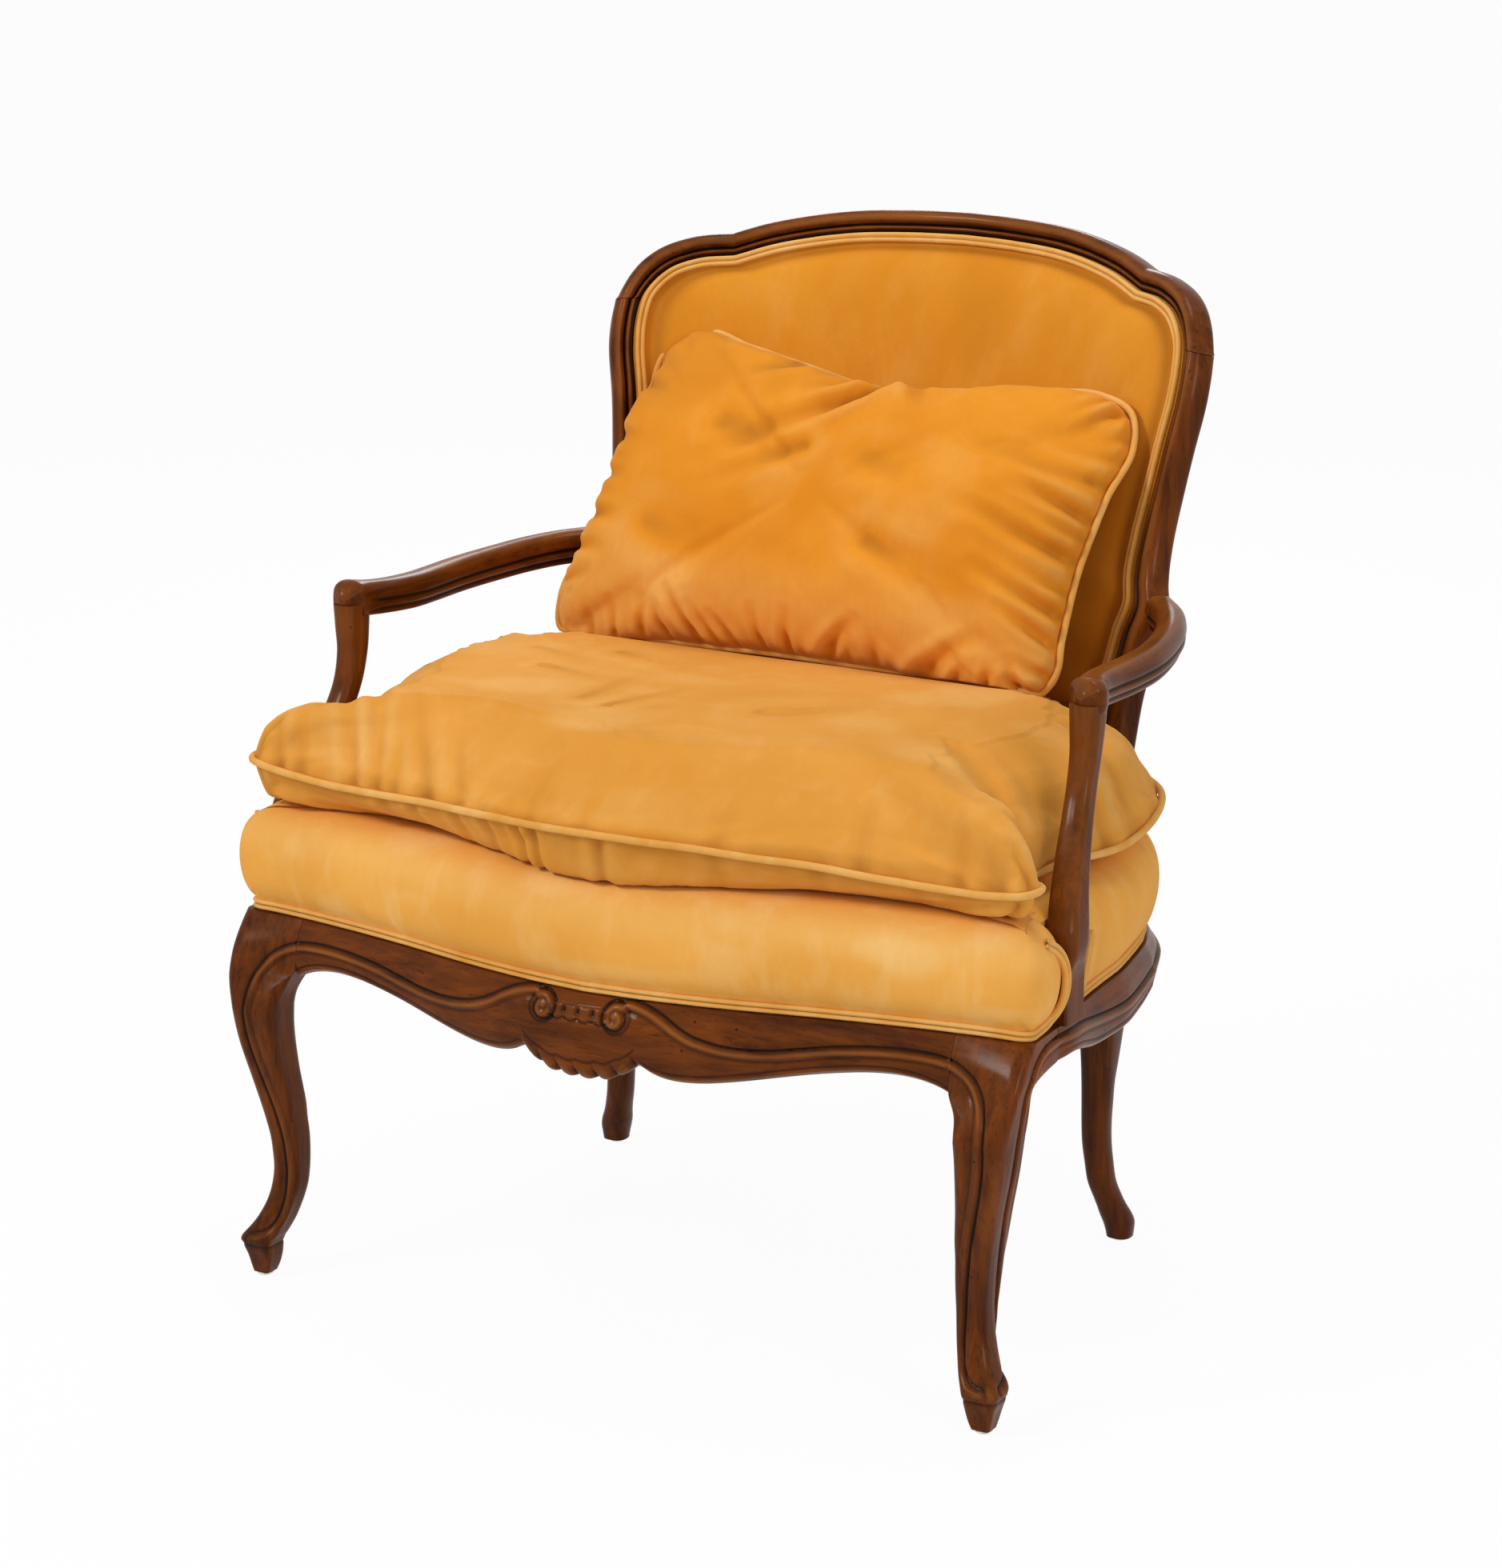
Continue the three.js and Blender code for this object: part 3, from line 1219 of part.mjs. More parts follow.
function pillowOutline() {
  const quarter = pillowEdgeShares.map(([x, z]) => at((x * pillowWidth) / 2, 0, (z * pillowHeight) / 2));
  const right = [...quarter, ...quarter.map((p) => at(p.x, 0, -p.z)).reverse()];
  return [...right, ...mirrored(right.slice(1, -1)).reverse()];
}
const pillowPlan = pillowOutline();
const pillowShares = [[0.985, 0.18], [0.91, 0.5], [0.74, 0.82], [0.42, 0.97]];
const pillowReach = (pillowHeight * Math.cos(pillowRoll) + pillowWidth * Math.sin(pillowRoll)) / 2;
const pillowZ = cushionTop + pillowReach * Math.cos(pillowLean) - pillowSettle;
const placePillow = (p) => p
  .applyAxisAngle(at(0, 1, 0), pillowRoll)
  .applyAxisAngle(at(1, 0, 0), -pillowLean)
  .add(at(pillowX, pillowY, pillowZ));

function pillowBody() {
  const span = at(pillowWidth / 2, pillowThick, pillowHeight / 2);
  const ringAt = (scale, depth) => (
    innerRing(pillowPlan, at(0, 0, 0), span, scale).map((p) => placePillow(p.setY(depth)))
  );
  const half = pillowThick / 2;
  const front = pillowShares.map(([scale, share]) => ringAt(scale, -share * half));
  const back = pillowShares.map(([scale, share]) => ringAt(scale, share * half)).reverse();
  const poles = [placePillow(at(0, half, 0)), placePillow(at(0, -half, 0))];
  return loft([...back, ringAt(1, 0), ...front], false, poles);
}
const leanedOn = crownedDome(panelShares, 0, rabbetDepth - gap, backCrown, backSpring);
add("pillow", cut(pillowBody(), leanedOn), velvet);

const pillowSeamLine = pillowPlan.map((p, i) => {
  const count = pillowPlan.length;
  const along = pillowPlan[(i + 1) % count].clone().sub(pillowPlan[(i + count - 1) % count]).normalize();
  return placePillow(p.clone().add(at(along.z, 0, -along.x).multiplyScalar(-(pillowWelt + gap))));
});
const pillowFacing = placePillow(at(0, 1, 0)).sub(placePillow(at(0, 0, 0)));
const pillowOut = (along) => along.clone().cross(pillowFacing).normalize();
add("pillow_welt", ringWelt(pillowSeamLine, pillowWelt, pillowOut), piping);

export default chair;
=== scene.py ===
import math

import bmesh
import bpy
from mathutils import Matrix, Vector, kdtree, noise


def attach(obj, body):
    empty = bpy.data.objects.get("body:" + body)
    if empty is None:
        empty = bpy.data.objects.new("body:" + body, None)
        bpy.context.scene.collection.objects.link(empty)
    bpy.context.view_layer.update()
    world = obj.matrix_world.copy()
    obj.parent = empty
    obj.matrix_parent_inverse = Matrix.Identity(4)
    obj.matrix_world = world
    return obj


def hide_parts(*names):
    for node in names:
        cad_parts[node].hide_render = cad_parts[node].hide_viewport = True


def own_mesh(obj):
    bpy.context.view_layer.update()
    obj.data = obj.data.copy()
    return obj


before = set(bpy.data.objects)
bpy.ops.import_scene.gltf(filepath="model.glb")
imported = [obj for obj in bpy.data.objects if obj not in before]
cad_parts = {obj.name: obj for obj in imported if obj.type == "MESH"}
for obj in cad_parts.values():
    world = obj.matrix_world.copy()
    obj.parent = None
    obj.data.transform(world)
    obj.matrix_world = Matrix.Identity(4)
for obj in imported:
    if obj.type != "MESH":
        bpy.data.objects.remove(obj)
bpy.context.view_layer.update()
print("frame loaded:", len(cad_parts), "nodes")

# Lengths below are in millimetres, x to the sitter's left, y to the back, z up
mm = 0.001

# Camera, light and floor
cameraView = {"place": (1.998431, -3.589908, 1.570615), "tilt": 15.32351, "turn": 29.61347, "lens": 105.219}
scene = bpy.context.scene
scene.view_settings.view_transform = "Standard"

cameraData = bpy.data.cameras.new("camera")
cameraData.sensor_fit = "VERTICAL"
cameraData.sensor_height = 36
cameraData.lens = cameraView["lens"]
camera = bpy.data.objects.new("camera", cameraData)
camera.location = cameraView["place"]
camera.rotation_euler = (math.radians(90 - cameraView["tilt"]), 0, math.radians(cameraView["turn"]))
scene.collection.objects.link(camera)
scene.camera = camera

lamps = {
    "key": {"place": (-1.7, -2.6, 2.9), "size": 1.05, "power": 62, "colour": (1, 0.985, 0.96)},
    "fill": {"place": (2.9, -1.6, 1.7), "size": 1.3, "power": 26, "colour": (1, 0.99, 0.975)},
    "top": {"place": (0.2, 0.3, 3.2), "size": 1.2, "power": 22, "colour": (1, 1, 1)},
    "rear": {"place": (-1.4, 2.8, 2.0), "size": 1.2, "power": 24, "colour": (1, 1, 1)},
}
studio = {
    "aim": (0, 0, 0.5), "ambient": 0.42, "floorColour": (0.86, 0.86, 0.86, 1), "floorWhite": 0.955,
    "floorSize": 60,
}

for name, lamp in lamps.items():
    lampData = bpy.data.lights.new(name, "AREA")
    lampData.shape = "DISK"
    lampData.size = lamp["size"]
    lampData.energy = lamp["power"]
    lampData.color = lamp["colour"]
    lampObject = bpy.data.objects.new(name, lampData)
    lampObject.location = lamp["place"]
    aim = Vector(studio["aim"]) - lampObject.location
    lampObject.rotation_euler = aim.to_track_quat("-Z", "Y").to_euler()
    scene.collection.objects.link(lampObject)


def whiteToCamera(nodes, links):
    # 1 for rays that come from the camera or through a shine or a clear piece, else 0
    path = nodes.new("ShaderNodeLightPath")
    either = nodes.new("ShaderNodeMath")
    either.operation = "MAXIMUM"
    links.new(path.outputs["Is Camera Ray"], either.inputs[0])
    links.new(path.outputs["Is Glossy Ray"], either.inputs[1])
    widest = nodes.new("ShaderNodeMath")
    widest.operation = "MAXIMUM"
    links.new(either.outputs[0], widest.inputs[0])
    links.new(path.outputs["Is Transmission Ray"], widest.inputs[1])
    return widest


world = bpy.data.worlds.new("studio")
scene.world = world
world.use_nodes = True
worldNodes = world.node_tree.nodes
worldLinks = world.node_tree.links
worldNodes.clear()
seen = whiteToCamera(worldNodes, worldLinks)
strength = worldNodes.new("ShaderNodeMapRange")
strength.inputs["To Min"].default_value = studio["ambient"]
strength.inputs["To Max"].default_value = 1.0
worldLinks.new(seen.outputs[0], strength.inputs["Value"])
sky = worldNodes.new("ShaderNodeBackground")
sky.inputs["Color"].default_value = (1, 1, 1, 1)
worldLinks.new(strength.outputs["Result"], sky.inputs["Strength"])
worldOut = worldNodes.new("ShaderNodeOutputWorld")
worldLinks.new(sky.outputs[0], worldOut.inputs["Surface"])

floorMesh = bpy.data.meshes.new("floor")
half = studio["floorSize"] / 2
floorCorners = [(-half, -half, 0), (half, -half, 0), (half, half, 0), (-half, half, 0)]
floorMesh.from_pydata(floorCorners, [], [(0, 1, 2, 3)])
floor = bpy.data.objects.new("floor", floorMesh)
scene.collection.objects.link(floor)
floorPaint = bpy.data.materials.new("floor")
floorPaint.use_nodes = True
floorNodes = floorPaint.node_tree.nodes
floorLinks = floorPaint.node_tree.links
floorNodes.clear()
matt = floorNodes.new("ShaderNodeBsdfDiffuse")
matt.inputs["Color"].default_value = studio["floorColour"]
glow = floorNodes.new("ShaderNodeEmission")
glow.inputs["Color"].default_value = (1, 1, 1, 1)
seen = whiteToCamera(floorNodes, floorLinks)
share = floorNodes.new("ShaderNodeMath")
share.operation = "MULTIPLY"
share.inputs[1].default_value = studio["floorWhite"]
floorLinks.new(seen.outputs[0], share.inputs[0])
both = floorNodes.new("ShaderNodeMixShader")
floorLinks.new(share.outputs[0], both.inputs["Fac"])
floorLinks.new(matt.outputs[0], both.inputs[1])
floorLinks.new(glow.outputs[0], both.inputs[2])
floorOut = floorNodes.new("ShaderNodeOutputMaterial")
floorLinks.new(both.outputs[0], floorOut.inputs["Surface"])
floorMesh.materials.append(floorPaint)
print("camera, lamps and floor ready")


# Small helpers
def lerp(a, b, t):
    return a + (b - a) * t


def clamp(value, low=0.0, high=1.0):
    return max(low, min(high, value))


def ease(t):
    t = clamp(t)
    return t * t * (3 - 2 * t)


def bell(distance, width):
    return math.exp(-(distance / width) ** 2)


def smooth(table, t):
    # a smooth value through a table of (place, value) rows
    last = len(table) - 1
    k = 0
    while k < last - 1 and table[k + 1][0] <= t:
        k += 1
    t0, v0 = table[k][0], table[k][1]
    t1, v1 = table[k + 1][0], table[k + 1][1]
    before = table[max(k - 1, 0)]
    after = table[min(k + 2, last)]
    span = t1 - t0
    slope0 = (v1 - before[1]) / (t1 - before[0]) * span
    slope1 = (after[1] - v0) / (after[0] - t0) * span
    u = clamp((t - t0) / span)
    a = 2 * u ** 3 - 3 * u ** 2 + 1
    return a * v0 + (u ** 3 - 2 * u ** 2 + u) * slope0 + (1 - a) * v1 + (u ** 3 - u ** 2) * slope1


def column(table, k):
    return [(row[0], row[k]) for row in table]


def resample(points, step):
    # the same line with points a set distance apart
    made = [points[0].copy()]
    left = step
    for a, b in zip(points, points[1:]):
        span = (b - a).length
        done = 0.0
        while span - done >= left:
            done += left
            made.append(a.lerp(b, done / span))
            left = step
        left -= span - done
    if (made[-1] - points[-1]).length > step * 0.3:
        made.append(points[-1].copy())
    else:
        made[-1] = points[-1].copy()
    return made


def curveThrough(points, step, closed=False):
    # a rounded line through points, then cut into even steps
    count = len(points)
    fine = []
    spans = count if closed else count - 1
    for i in range(spans):
        p1, p2 = points[i % count], points[(i + 1) % count]
        p0 = points[(i - 1) % count] if closed or i else p1 * 2 - p2
        p3 = points[(i + 2) % count] if closed or i + 2 < count else p2 * 2 - p1
        d1 = max((p2 - p1).length, 1e-6)
        d0 = max((p1 - p0).length, 1e-6)
        d2 = max((p3 - p2).length, 1e-6)
        m1 = ((p2 - p1) / d1 * d0 + (p1 - p0) / d0 * d1) / (d0 + d1) * d1
        m2 = ((p3 - p2) / d2 * d1 + (p2 - p1) / d1 * d2) / (d1 + d2) * d1
        pieces = max(2, int(d1 / step * 2))
        for k in range(pieces):
            u = k / pieces
            a = 2 * u ** 3 - 3 * u ** 2 + 1
            b = u ** 3 - 2 * u ** 2 + u
            fine.append(p1 * a + m1 * b + p2 * (1 - a) + m2 * (u ** 3 - u ** 2))
    fine.append((points[0] if closed else points[-1]).copy())
    made = resample(fine, step)
    return made[:-1] if closed else made


def meshPiece(name, points, faces, marks=None, sharp=50):
    mesh = bpy.data.meshes.new(name)
    mesh.from_pydata([p * mm for p in points], [], faces)
    if marks is not None:
        mesh.attributes.new("painted_light_and_wear", "FLOAT", "POINT").data.foreach_set("value", marks)
    build = bmesh.new()
    build.from_mesh(mesh)
    bmesh.ops.recalc_face_normals(build, faces=build.faces)
    if build.calc_volume(signed=True) < 0:
        bmesh.ops.reverse_faces(build, faces=build.faces)
    build.to_mesh(mesh)
    build.free()
    mesh.shade_smooth()
    if sharp:
        mesh.set_sharp_from_angle(angle=math.radians(sharp))
    piece = bpy.data.objects.new(name, mesh)
    scene.collection.objects.link(piece)
    return piece


def loftFaces(ringCount, size, looped=False, capped=True):
    faces = []
    for i in range(ringCount if looped else ringCount - 1):
        here, there = i * size, (i + 1) % ringCount * size
        for j in range(size):
            k = (j + 1) % size
            faces.append((here + j, here + k, there + k, there + j))
    if capped and not looped:
        faces.append(tuple(range(size))[::-1])
        faces.append(tuple(range((ringCount - 1) * size, ringCount * size)))
    return faces


def loftPiece(name, rings, marks=None, looped=False, sharp=50):
    points = [p for ring in rings for p in ring]
    values = None if marks is None else [m for ring in marks for m in ring]
    return meshPiece(name, points, loftFaces(len(rings), len(rings[0]), looped), values, sharp)


def dress(piece, material, body, slotName, *nodes):
    piece.data.materials.clear()
    piece.data.materials.append(material)
    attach(piece, body)
    if nodes:
        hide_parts(*nodes)
    return piece


def dressPair(make, ending, material, node):
    # the same wooden piece on the sitter's left and right
    for side, hand in ((1, "left"), (-1, "right")):
        dress(make(side, hand + ending), material, "frame", "walnut", hand + node)


def lineField(points):
    # nearest place on a drawn line, with the side that a point is on
    fine = resample(points, 0.6)
    tree = kdtree.KDTree(len(fine))
    for i, p in enumerate(fine):
        tree.insert((p.x, p.y, 0), i)
    tree.balance()
    ways = [(fine[min(i + 1, len(fine) - 1)] - fine[max(i - 1, 0)]).normalized() for i in range(len(fine))]
    last = len(fine) - 1

    def across(u, v):
        near, i, distance = tree.find((u, v, 0))
        way = ways[i]
        side = way.x * (v - near.y) - way.y * (u - near.x)
        if i in (0, last):
            return math.copysign(distance, side)
        return side if abs(side) > distance * 0.6 else math.copysign(distance, side)

    return across


# The seat frame in plan, as the source has it
seatHalf, frontY, frontBow, rearHalf, sideDepth = 404, -372, 63, 300, 421
rearStep, rearBow, crestSet = 37, 42, 231.3
sideFrontY = frontY + frontBow
sideRearY = sideFrontY + sideDepth
rearY = sideRearY + rearStep
backY = sideRearY + crestSet
railTop = 345
rake = math.radians(17.38)
backRadius = 394.2
openingBottom, openingTop, openingHalf = 492, 913.5, 290.5
openingHeight = openingTop - openingBottom
crestJoint = 846

frontShares = [(0, 0), (0.15, 0.085), (0.32, 0.27), (0.52, 0.57), (0.72, 0.82), (0.9, 0.98), (1, 1)]
sideShares = [
    (0, 0), (0.09, 0.019), (0.19, 0.067), (0.345, 0.154), (0.446, 0.19), (0.533, 0.216),
    (0.61, 0.27), (0.692, 0.337), (0.754, 0.404), (0.863, 0.59), (1, 1),
]


def frontFace(x):
    return frontY + frontBow * smooth(frontShares, abs(x) / seatHalf)


def sideFace(y):
    return lerp(seatHalf, rearHalf, smooth(sideShares, (y - sideFrontY) / sideDepth))


def rearFace(x):
    return rearY + rearBow * (1 - (x / rearHalf) ** 2)


def onBack(x, z, depth):
    y = backY + math.tan(rake) * (z - openingTop) - x * x / (2 * backRadius)
    normal = Vector((x / backRadius, 1, -math.tan(rake))).normalized()
    return Vector((x, y, z)) + normal * depth


# Finishes
def socketGroup(name, inputs, outputs):
    group = bpy.data.node_groups.new(name, "ShaderNodeTree")
    for label, kind, value in inputs:
        socket = group.interface.new_socket(label, in_out="INPUT", socket_type=kind)
        socket.default_value = value
    for label, kind in outputs:
        group.interface.new_socket(label, in_out="OUTPUT", socket_type=kind)
    start = group.nodes.new("NodeGroupInput")
    end = group.nodes.new("NodeGroupOutput")
    return group, start, end


def addNode(tree, kind, settings=None, values=None, feeds=None):
    node = tree.nodes.new(kind)
    for key, value in (settings or {}).items():
        setattr(node, key, value)
    for key, value in (values or {}).items():
        node.inputs[key].default_value = value
    for key, source in (feeds or {}).items():
        tree.links.new(source, node.inputs[key])
    return node


def blendColour(tree, factor, a, b, mode="MIX"):
    node = tree.nodes.new("ShaderNodeMix")
    node.data_type = "RGBA"
    node.blend_type = mode
    for key, value in ((0, factor), (6, a), (7, b)):
        if isinstance(value, (int, float)):
            node.inputs[key].default_value = value
        elif isinstance(value, tuple):
            node.inputs[key].default_value = (*value, 1) if len(value) == 3 else value
        else:
            tree.links.new(value, node.inputs[key])
    return node.outputs[2]


def sums(tree, operation, a, b, third=None):
    node = tree.nodes.new("ShaderNodeMath")
    node.operation = operation
    for key, value in enumerate((a, b, third)):
        if isinstance(value, (int, float)):
            node.inputs[key].default_value = value
        elif value is not None:
            tree.links.new(value, node.inputs[key])
    return node.outputs[0]


def scaled(tree, vector, factors):
    node = addNode(tree, "ShaderNodeVectorMath", {"operation": "MULTIPLY"}, feeds={0: vector})
    if isinstance(factors, tuple):
        node.inputs[1].default_value = factors
    else:
        tree.links.new(factors, node.inputs[1])
    return node.outputs[0]


def between(tree, source, fromMin, fromMax, toMin, toMax):
    values = {"From Min": fromMin, "From Max": fromMax, "To Min": toMin, "To Max": toMax}
    node = addNode(tree, "ShaderNodeMapRange", {"clamp": True}, values, {"Value": source})
    return node.outputs["Result"]


def noiseIn(tree, place, values):
    return addNode(tree, "ShaderNodeTexNoise", values=values, feeds={"Vector": place}).outputs["Fac"]


def cellsIn(tree, place, scale):
    values = {"Scale": scale, "Randomness": 1.0}
    return addNode(tree, "ShaderNodeTexVoronoi", values=values, feeds={"Vector": place}).outputs["Distance"]


# grain of a polished wood: streaks, clouds, painted shade in the grooves, worn ridges with painted highlight
# and small dents
grain, start, end = socketGroup(
    "wood grain",
    [("Stretch", "NodeSocketVector", (1, 1, 1)), ("Light", "NodeSocketColor", (0.3, 0.1, 0.04, 1)),
     ("Dark", "NodeSocketColor", (0.05, 0.02, 0.01, 1)), ("Painted Light And Wear", "NodeSocketFloat", 0)],
    [("Color", "NodeSocketColor"), ("Roughness", "NodeSocketFloat"), ("Height", "NodeSocketFloat")],
)
place = addNode(grain, "ShaderNodeTexCoord").outputs["Object"]
along = scaled(grain, place, start.outputs["Stretch"])
streak = noiseIn(grain, along, {"Scale": 1.0, "Detail": 6.0, "Roughness": 0.62, "Distortion": 0.25})
fine = noiseIn(grain, along, {"Scale": 4.2, "Detail": 3.0, "Roughness": 0.7})
cloud = noiseIn(grain, place, {"Scale": 9.0, "Detail": 2.0})
tone = sums(grain, "ADD", sums(grain, "MULTIPLY", streak, 0.75), sums(grain, "MULTIPLY", cloud, 0.45))
tone = between(grain, tone, 0.42, 0.82, 0.0, 1.0)
body = blendColour(grain, tone, start.outputs["Dark"], start.outputs["Light"])
pores = between(grain, fine, 0.3, 0.44, 0.6, 0.0)
body = blendColour(grain, pores, body, (0.02, 0.006, 0.002))
dent = cellsIn(grain, place, 95.0)
sparse = noiseIn(grain, place, {"Scale": 31.0, "Detail": 1.0})
dentSpot = between(grain, dent, 0.1, 0.17, 1.0, 0.0)
dentArea = between(grain, sparse, 0.6, 0.66, 0.0, 1.0)
dentMask = sums(grain, "MULTIPLY", dentSpot, dentArea)
body = blendColour(grain, sums(grain, "MULTIPLY", dentMask, 0.85), body, (0.012, 0.005, 0.003))
# painted shade: carved grooves and lines are darkened towards black
paintedGrooveShade = between(grain, start.outputs["Painted Light And Wear"], -0.9, -0.06, 0.95, 0.0)
body = blendColour(grain, paintedGrooveShade, body, (0.008, 0.0028, 0.001))
# rubbed wear and painted highlight: raised parts are lightened
wearAndPaintedHighlight = sums(grain, "MULTIPLY", between(grain, start.outputs["Painted Light And Wear"], 0.15, 1.0, 0.0, 0.62),
             between(grain, cloud, 0.3, 0.62, 0.45, 1.0))
body = blendColour(grain, wearAndPaintedHighlight, body, (0.36, 0.125, 0.026))
cloudShine = between(grain, cloud, 0.25, 0.75, 0.24, 0.4)
shine = sums(grain, "ADD", cloudShine, sums(grain, "MULTIPLY", paintedGrooveShade, 0.35))
lift = sums(grain, "SUBTRACT", sums(grain, "MULTIPLY", fine, 0.25), dentMask)
grain.links.new(body, end.inputs["Color"])
grain.links.new(shine, end.inputs["Roughness"])
grain.links.new(lift, end.inputs["Height"])

# pile of a cut velvet: brushed patches, stroke marks, rubbed ridges with painted highlight, painted shade in
# deep folds and the odd rust spot
pile, start, end = socketGroup(
    "velvet pile",
    [("Nap", "NodeSocketColor", (0.8, 0.4, 0.1, 1)), ("Shade", "NodeSocketColor", (0.6, 0.25, 0.03, 1)),
     ("Rubbed", "NodeSocketColor", (0.8, 0.55, 0.3, 1)), ("Painted Light And Wear", "NodeSocketFloat", 0),
     ("Spots", "NodeSocketFloat", 0), ("Wear", "NodeSocketFloat", 1)],
    [("Color", "NodeSocketColor"), ("Roughness", "NodeSocketFloat"), ("Height", "NodeSocketFloat")],
)
place = addNode(pile, "ShaderNodeTexCoord").outputs["Object"]
strokePlace = scaled(pile, place, (9.0, 9.0, 3.2))
threadPlace = scaled(pile, place, (1.0, 1.0, 0.16))
patch = noiseIn(pile, place, {"Scale": 5.5, "Detail": 4.0, "Roughness": 0.55, "Distortion": 0.6})
stroke = noiseIn(pile, strokePlace, {"Scale": 3.0, "Detail": 5.0, "Roughness": 0.6, "Distortion": 0.4})
tuft = noiseIn(pile, place, {"Scale": 620.0, "Detail": 2.0})
thread = noiseIn(pile, threadPlace, {"Scale": 150.0, "Detail": 2.0})
tone = between(pile, patch, 0.36, 0.66, 0.0, 1.0)
body = blendColour(pile, tone, start.outputs["Shade"], start.outputs["Nap"])
strokeWear = between(pile, stroke, 0.5, 0.74, 0.0, 0.75)
patchWear = between(pile, patch, 0.3, 0.6, 0.35, 1.0)
worn = sums(pile, "MULTIPLY", strokeWear, patchWear)
body = blendColour(pile, sums(pile, "MULTIPLY", worn, start.outputs["Wear"]), body, start.outputs["Rubbed"])
# rubbed wear and painted highlight: raised marks, cord tops and worn patches take the rubbed colour
wearAndPaintedHighlight = between(pile, start.outputs["Painted Light And Wear"], 0.05, 1.0, 0.0, 0.75)
body = blendColour(pile, wearAndPaintedHighlight, body, start.outputs["Rubbed"])
# painted shade: fold valleys and seam creases are darkened
paintedFoldShade = between(pile, start.outputs["Painted Light And Wear"], -1.0, -0.05, 0.72, 0.0)
body = blendColour(pile, paintedFoldShade, body, (0.36, 0.125, 0.012))
body = blendColour(pile, between(pile, thread, 0.35, 0.7, 0.0, 0.16), body, start.outputs["Shade"])
rust = between(pile, cellsIn(pile, place, 7.0), 0.012, 0.03, 0.8, 0.0)
rustMask = sums(pile, "MULTIPLY", rust, start.outputs["Spots"])
body = blendColour(pile, rustMask, body, (0.36, 0.1, 0.012))
pile.links.new(body, end.inputs["Color"])
pile.links.new(between(pile, tone, 0.0, 1.0, 0.92, 0.78), end.inputs["Roughness"])
pile.links.new(sums(pile, "ADD", tuft, sums(pile, "MULTIPLY", thread, 0.5)), end.inputs["Height"])

# plain woven cloth and tape: threads over and under, with uneven tone
weave, start, end = socketGroup(
    "plain weave",
    [("Threads", "NodeSocketFloat", 600), ("Light", "NodeSocketColor", (0.5, 0.4, 0.2, 1)),
     ("Dark", "NodeSocketColor", (0.2, 0.15, 0.08, 1))],
    [("Color", "NodeSocketColor"), ("Height", "NodeSocketFloat")],
)
place = addNode(weave, "ShaderNodeTexCoord").outputs["Object"]
waves = []
for direction in ("X", "Y"):
    wave = addNode(weave, "ShaderNodeTexWave", {"bands_direction": direction},
                   {"Distortion": 0.6, "Detail": 1.0},
                   {"Vector": place, "Scale": start.outputs["Threads"]})
    waves.append(wave.outputs["Fac"])
cross = sums(weave, "MULTIPLY", waves[0], waves[1])
uneven = noiseIn(weave, place, {"Scale": 40.0, "Detail": 3.0})
tone = sums(weave, "ADD", sums(weave, "MULTIPLY", cross, 0.6), sums(weave, "MULTIPLY", uneven, 0.5))
weave.links.new(blendColour(weave, tone, start.outputs["Dark"], start.outputs["Light"]), end.inputs["Color"])
weave.links.new(cross, end.inputs["Height"])

# drawn and rubbed metal
rubbed, start, end = socketGroup(
    "rubbed metal",
    [("Light", "NodeSocketColor", (0.7, 0.7, 0.7, 1)), ("Dark", "NodeSocketColor", (0.3, 0.3, 0.3, 1))],
    [("Color", "NodeSocketColor"), ("Roughness", "NodeSocketFloat"), ("Height", "NodeSocketFloat")],
)
place = addNode(rubbed, "ShaderNodeTexCoord").outputs["Object"]
scuff = noiseIn(rubbed, place, {"Scale": 210.0, "Detail": 4.0})
scuffed = blendColour(rubbed, scuff, start.outputs["Dark"], start.outputs["Light"])
rubbed.links.new(scuffed, end.inputs["Color"])
rubbed.links.new(between(rubbed, scuff, 0.3, 0.7, 0.22, 0.5), end.inputs["Roughness"])
rubbed.links.new(scuff, end.inputs["Height"])


def finishOf(name, group, values, shader, bump, painted_light_and_wear=False):
    # a material: one group of patterns into one Principled shader; bump is its strength and distance
    material = bpy.data.materials.new(name)
    material.use_nodes = True
    tree = material.node_tree
    principled = tree.nodes["Principled BSDF"]
    pattern = addNode(tree, "ShaderNodeGroup", {"node_tree": group})
    for key, value in values.items():
        pattern.inputs[key].default_value = value
    for key, value in shader.items():
        principled.inputs[key].default_value = value
    if painted_light_and_wear:
        # the mesh's mark carries painted shade, painted highlight and wear into the pattern
        mark = addNode(tree, "ShaderNodeAttribute", {"attribute_name": "painted_light_and_wear"})
        tree.links.new(mark.outputs["Fac"], pattern.inputs["Painted Light And Wear"])
    tree.links.new(pattern.outputs["Color"], principled.inputs["Base Color"])
    if "Roughness" in pattern.outputs:
        tree.links.new(pattern.outputs["Roughness"], principled.inputs["Roughness"])
    height = addNode(tree, "ShaderNodeBump", values={"Strength": bump[0], "Distance": bump[1]},
                     feeds={"Height": pattern.outputs["Height"]})
    tree.links.new(height.outputs["Normal"], principled.inputs["Normal"])
    return material


walnutTones = {"Light": (0.2, 0.047, 0.0045, 1), "Dark": (0.046, 0.0095, 0.0012, 1)}
walnutShader = {
    "Coat Weight": 0.15, "Coat Roughness": 0.17, "Specular IOR Level": 0.04,
    "Specular Tint": (1, 0.6, 0.3, 1),
}
walnutBump = (0.22, 0.0012)
walnutRuns = {"upright": (95, 95, 7), "level": (7, 95, 95), "deep": (95, 7, 95)}
walnut = {
    run: finishOf("walnut " + run, grain, {**walnutTones, "Stretch": stretch}, walnutShader, walnutBump, True)
    for run, stretch in walnutRuns.items()
}

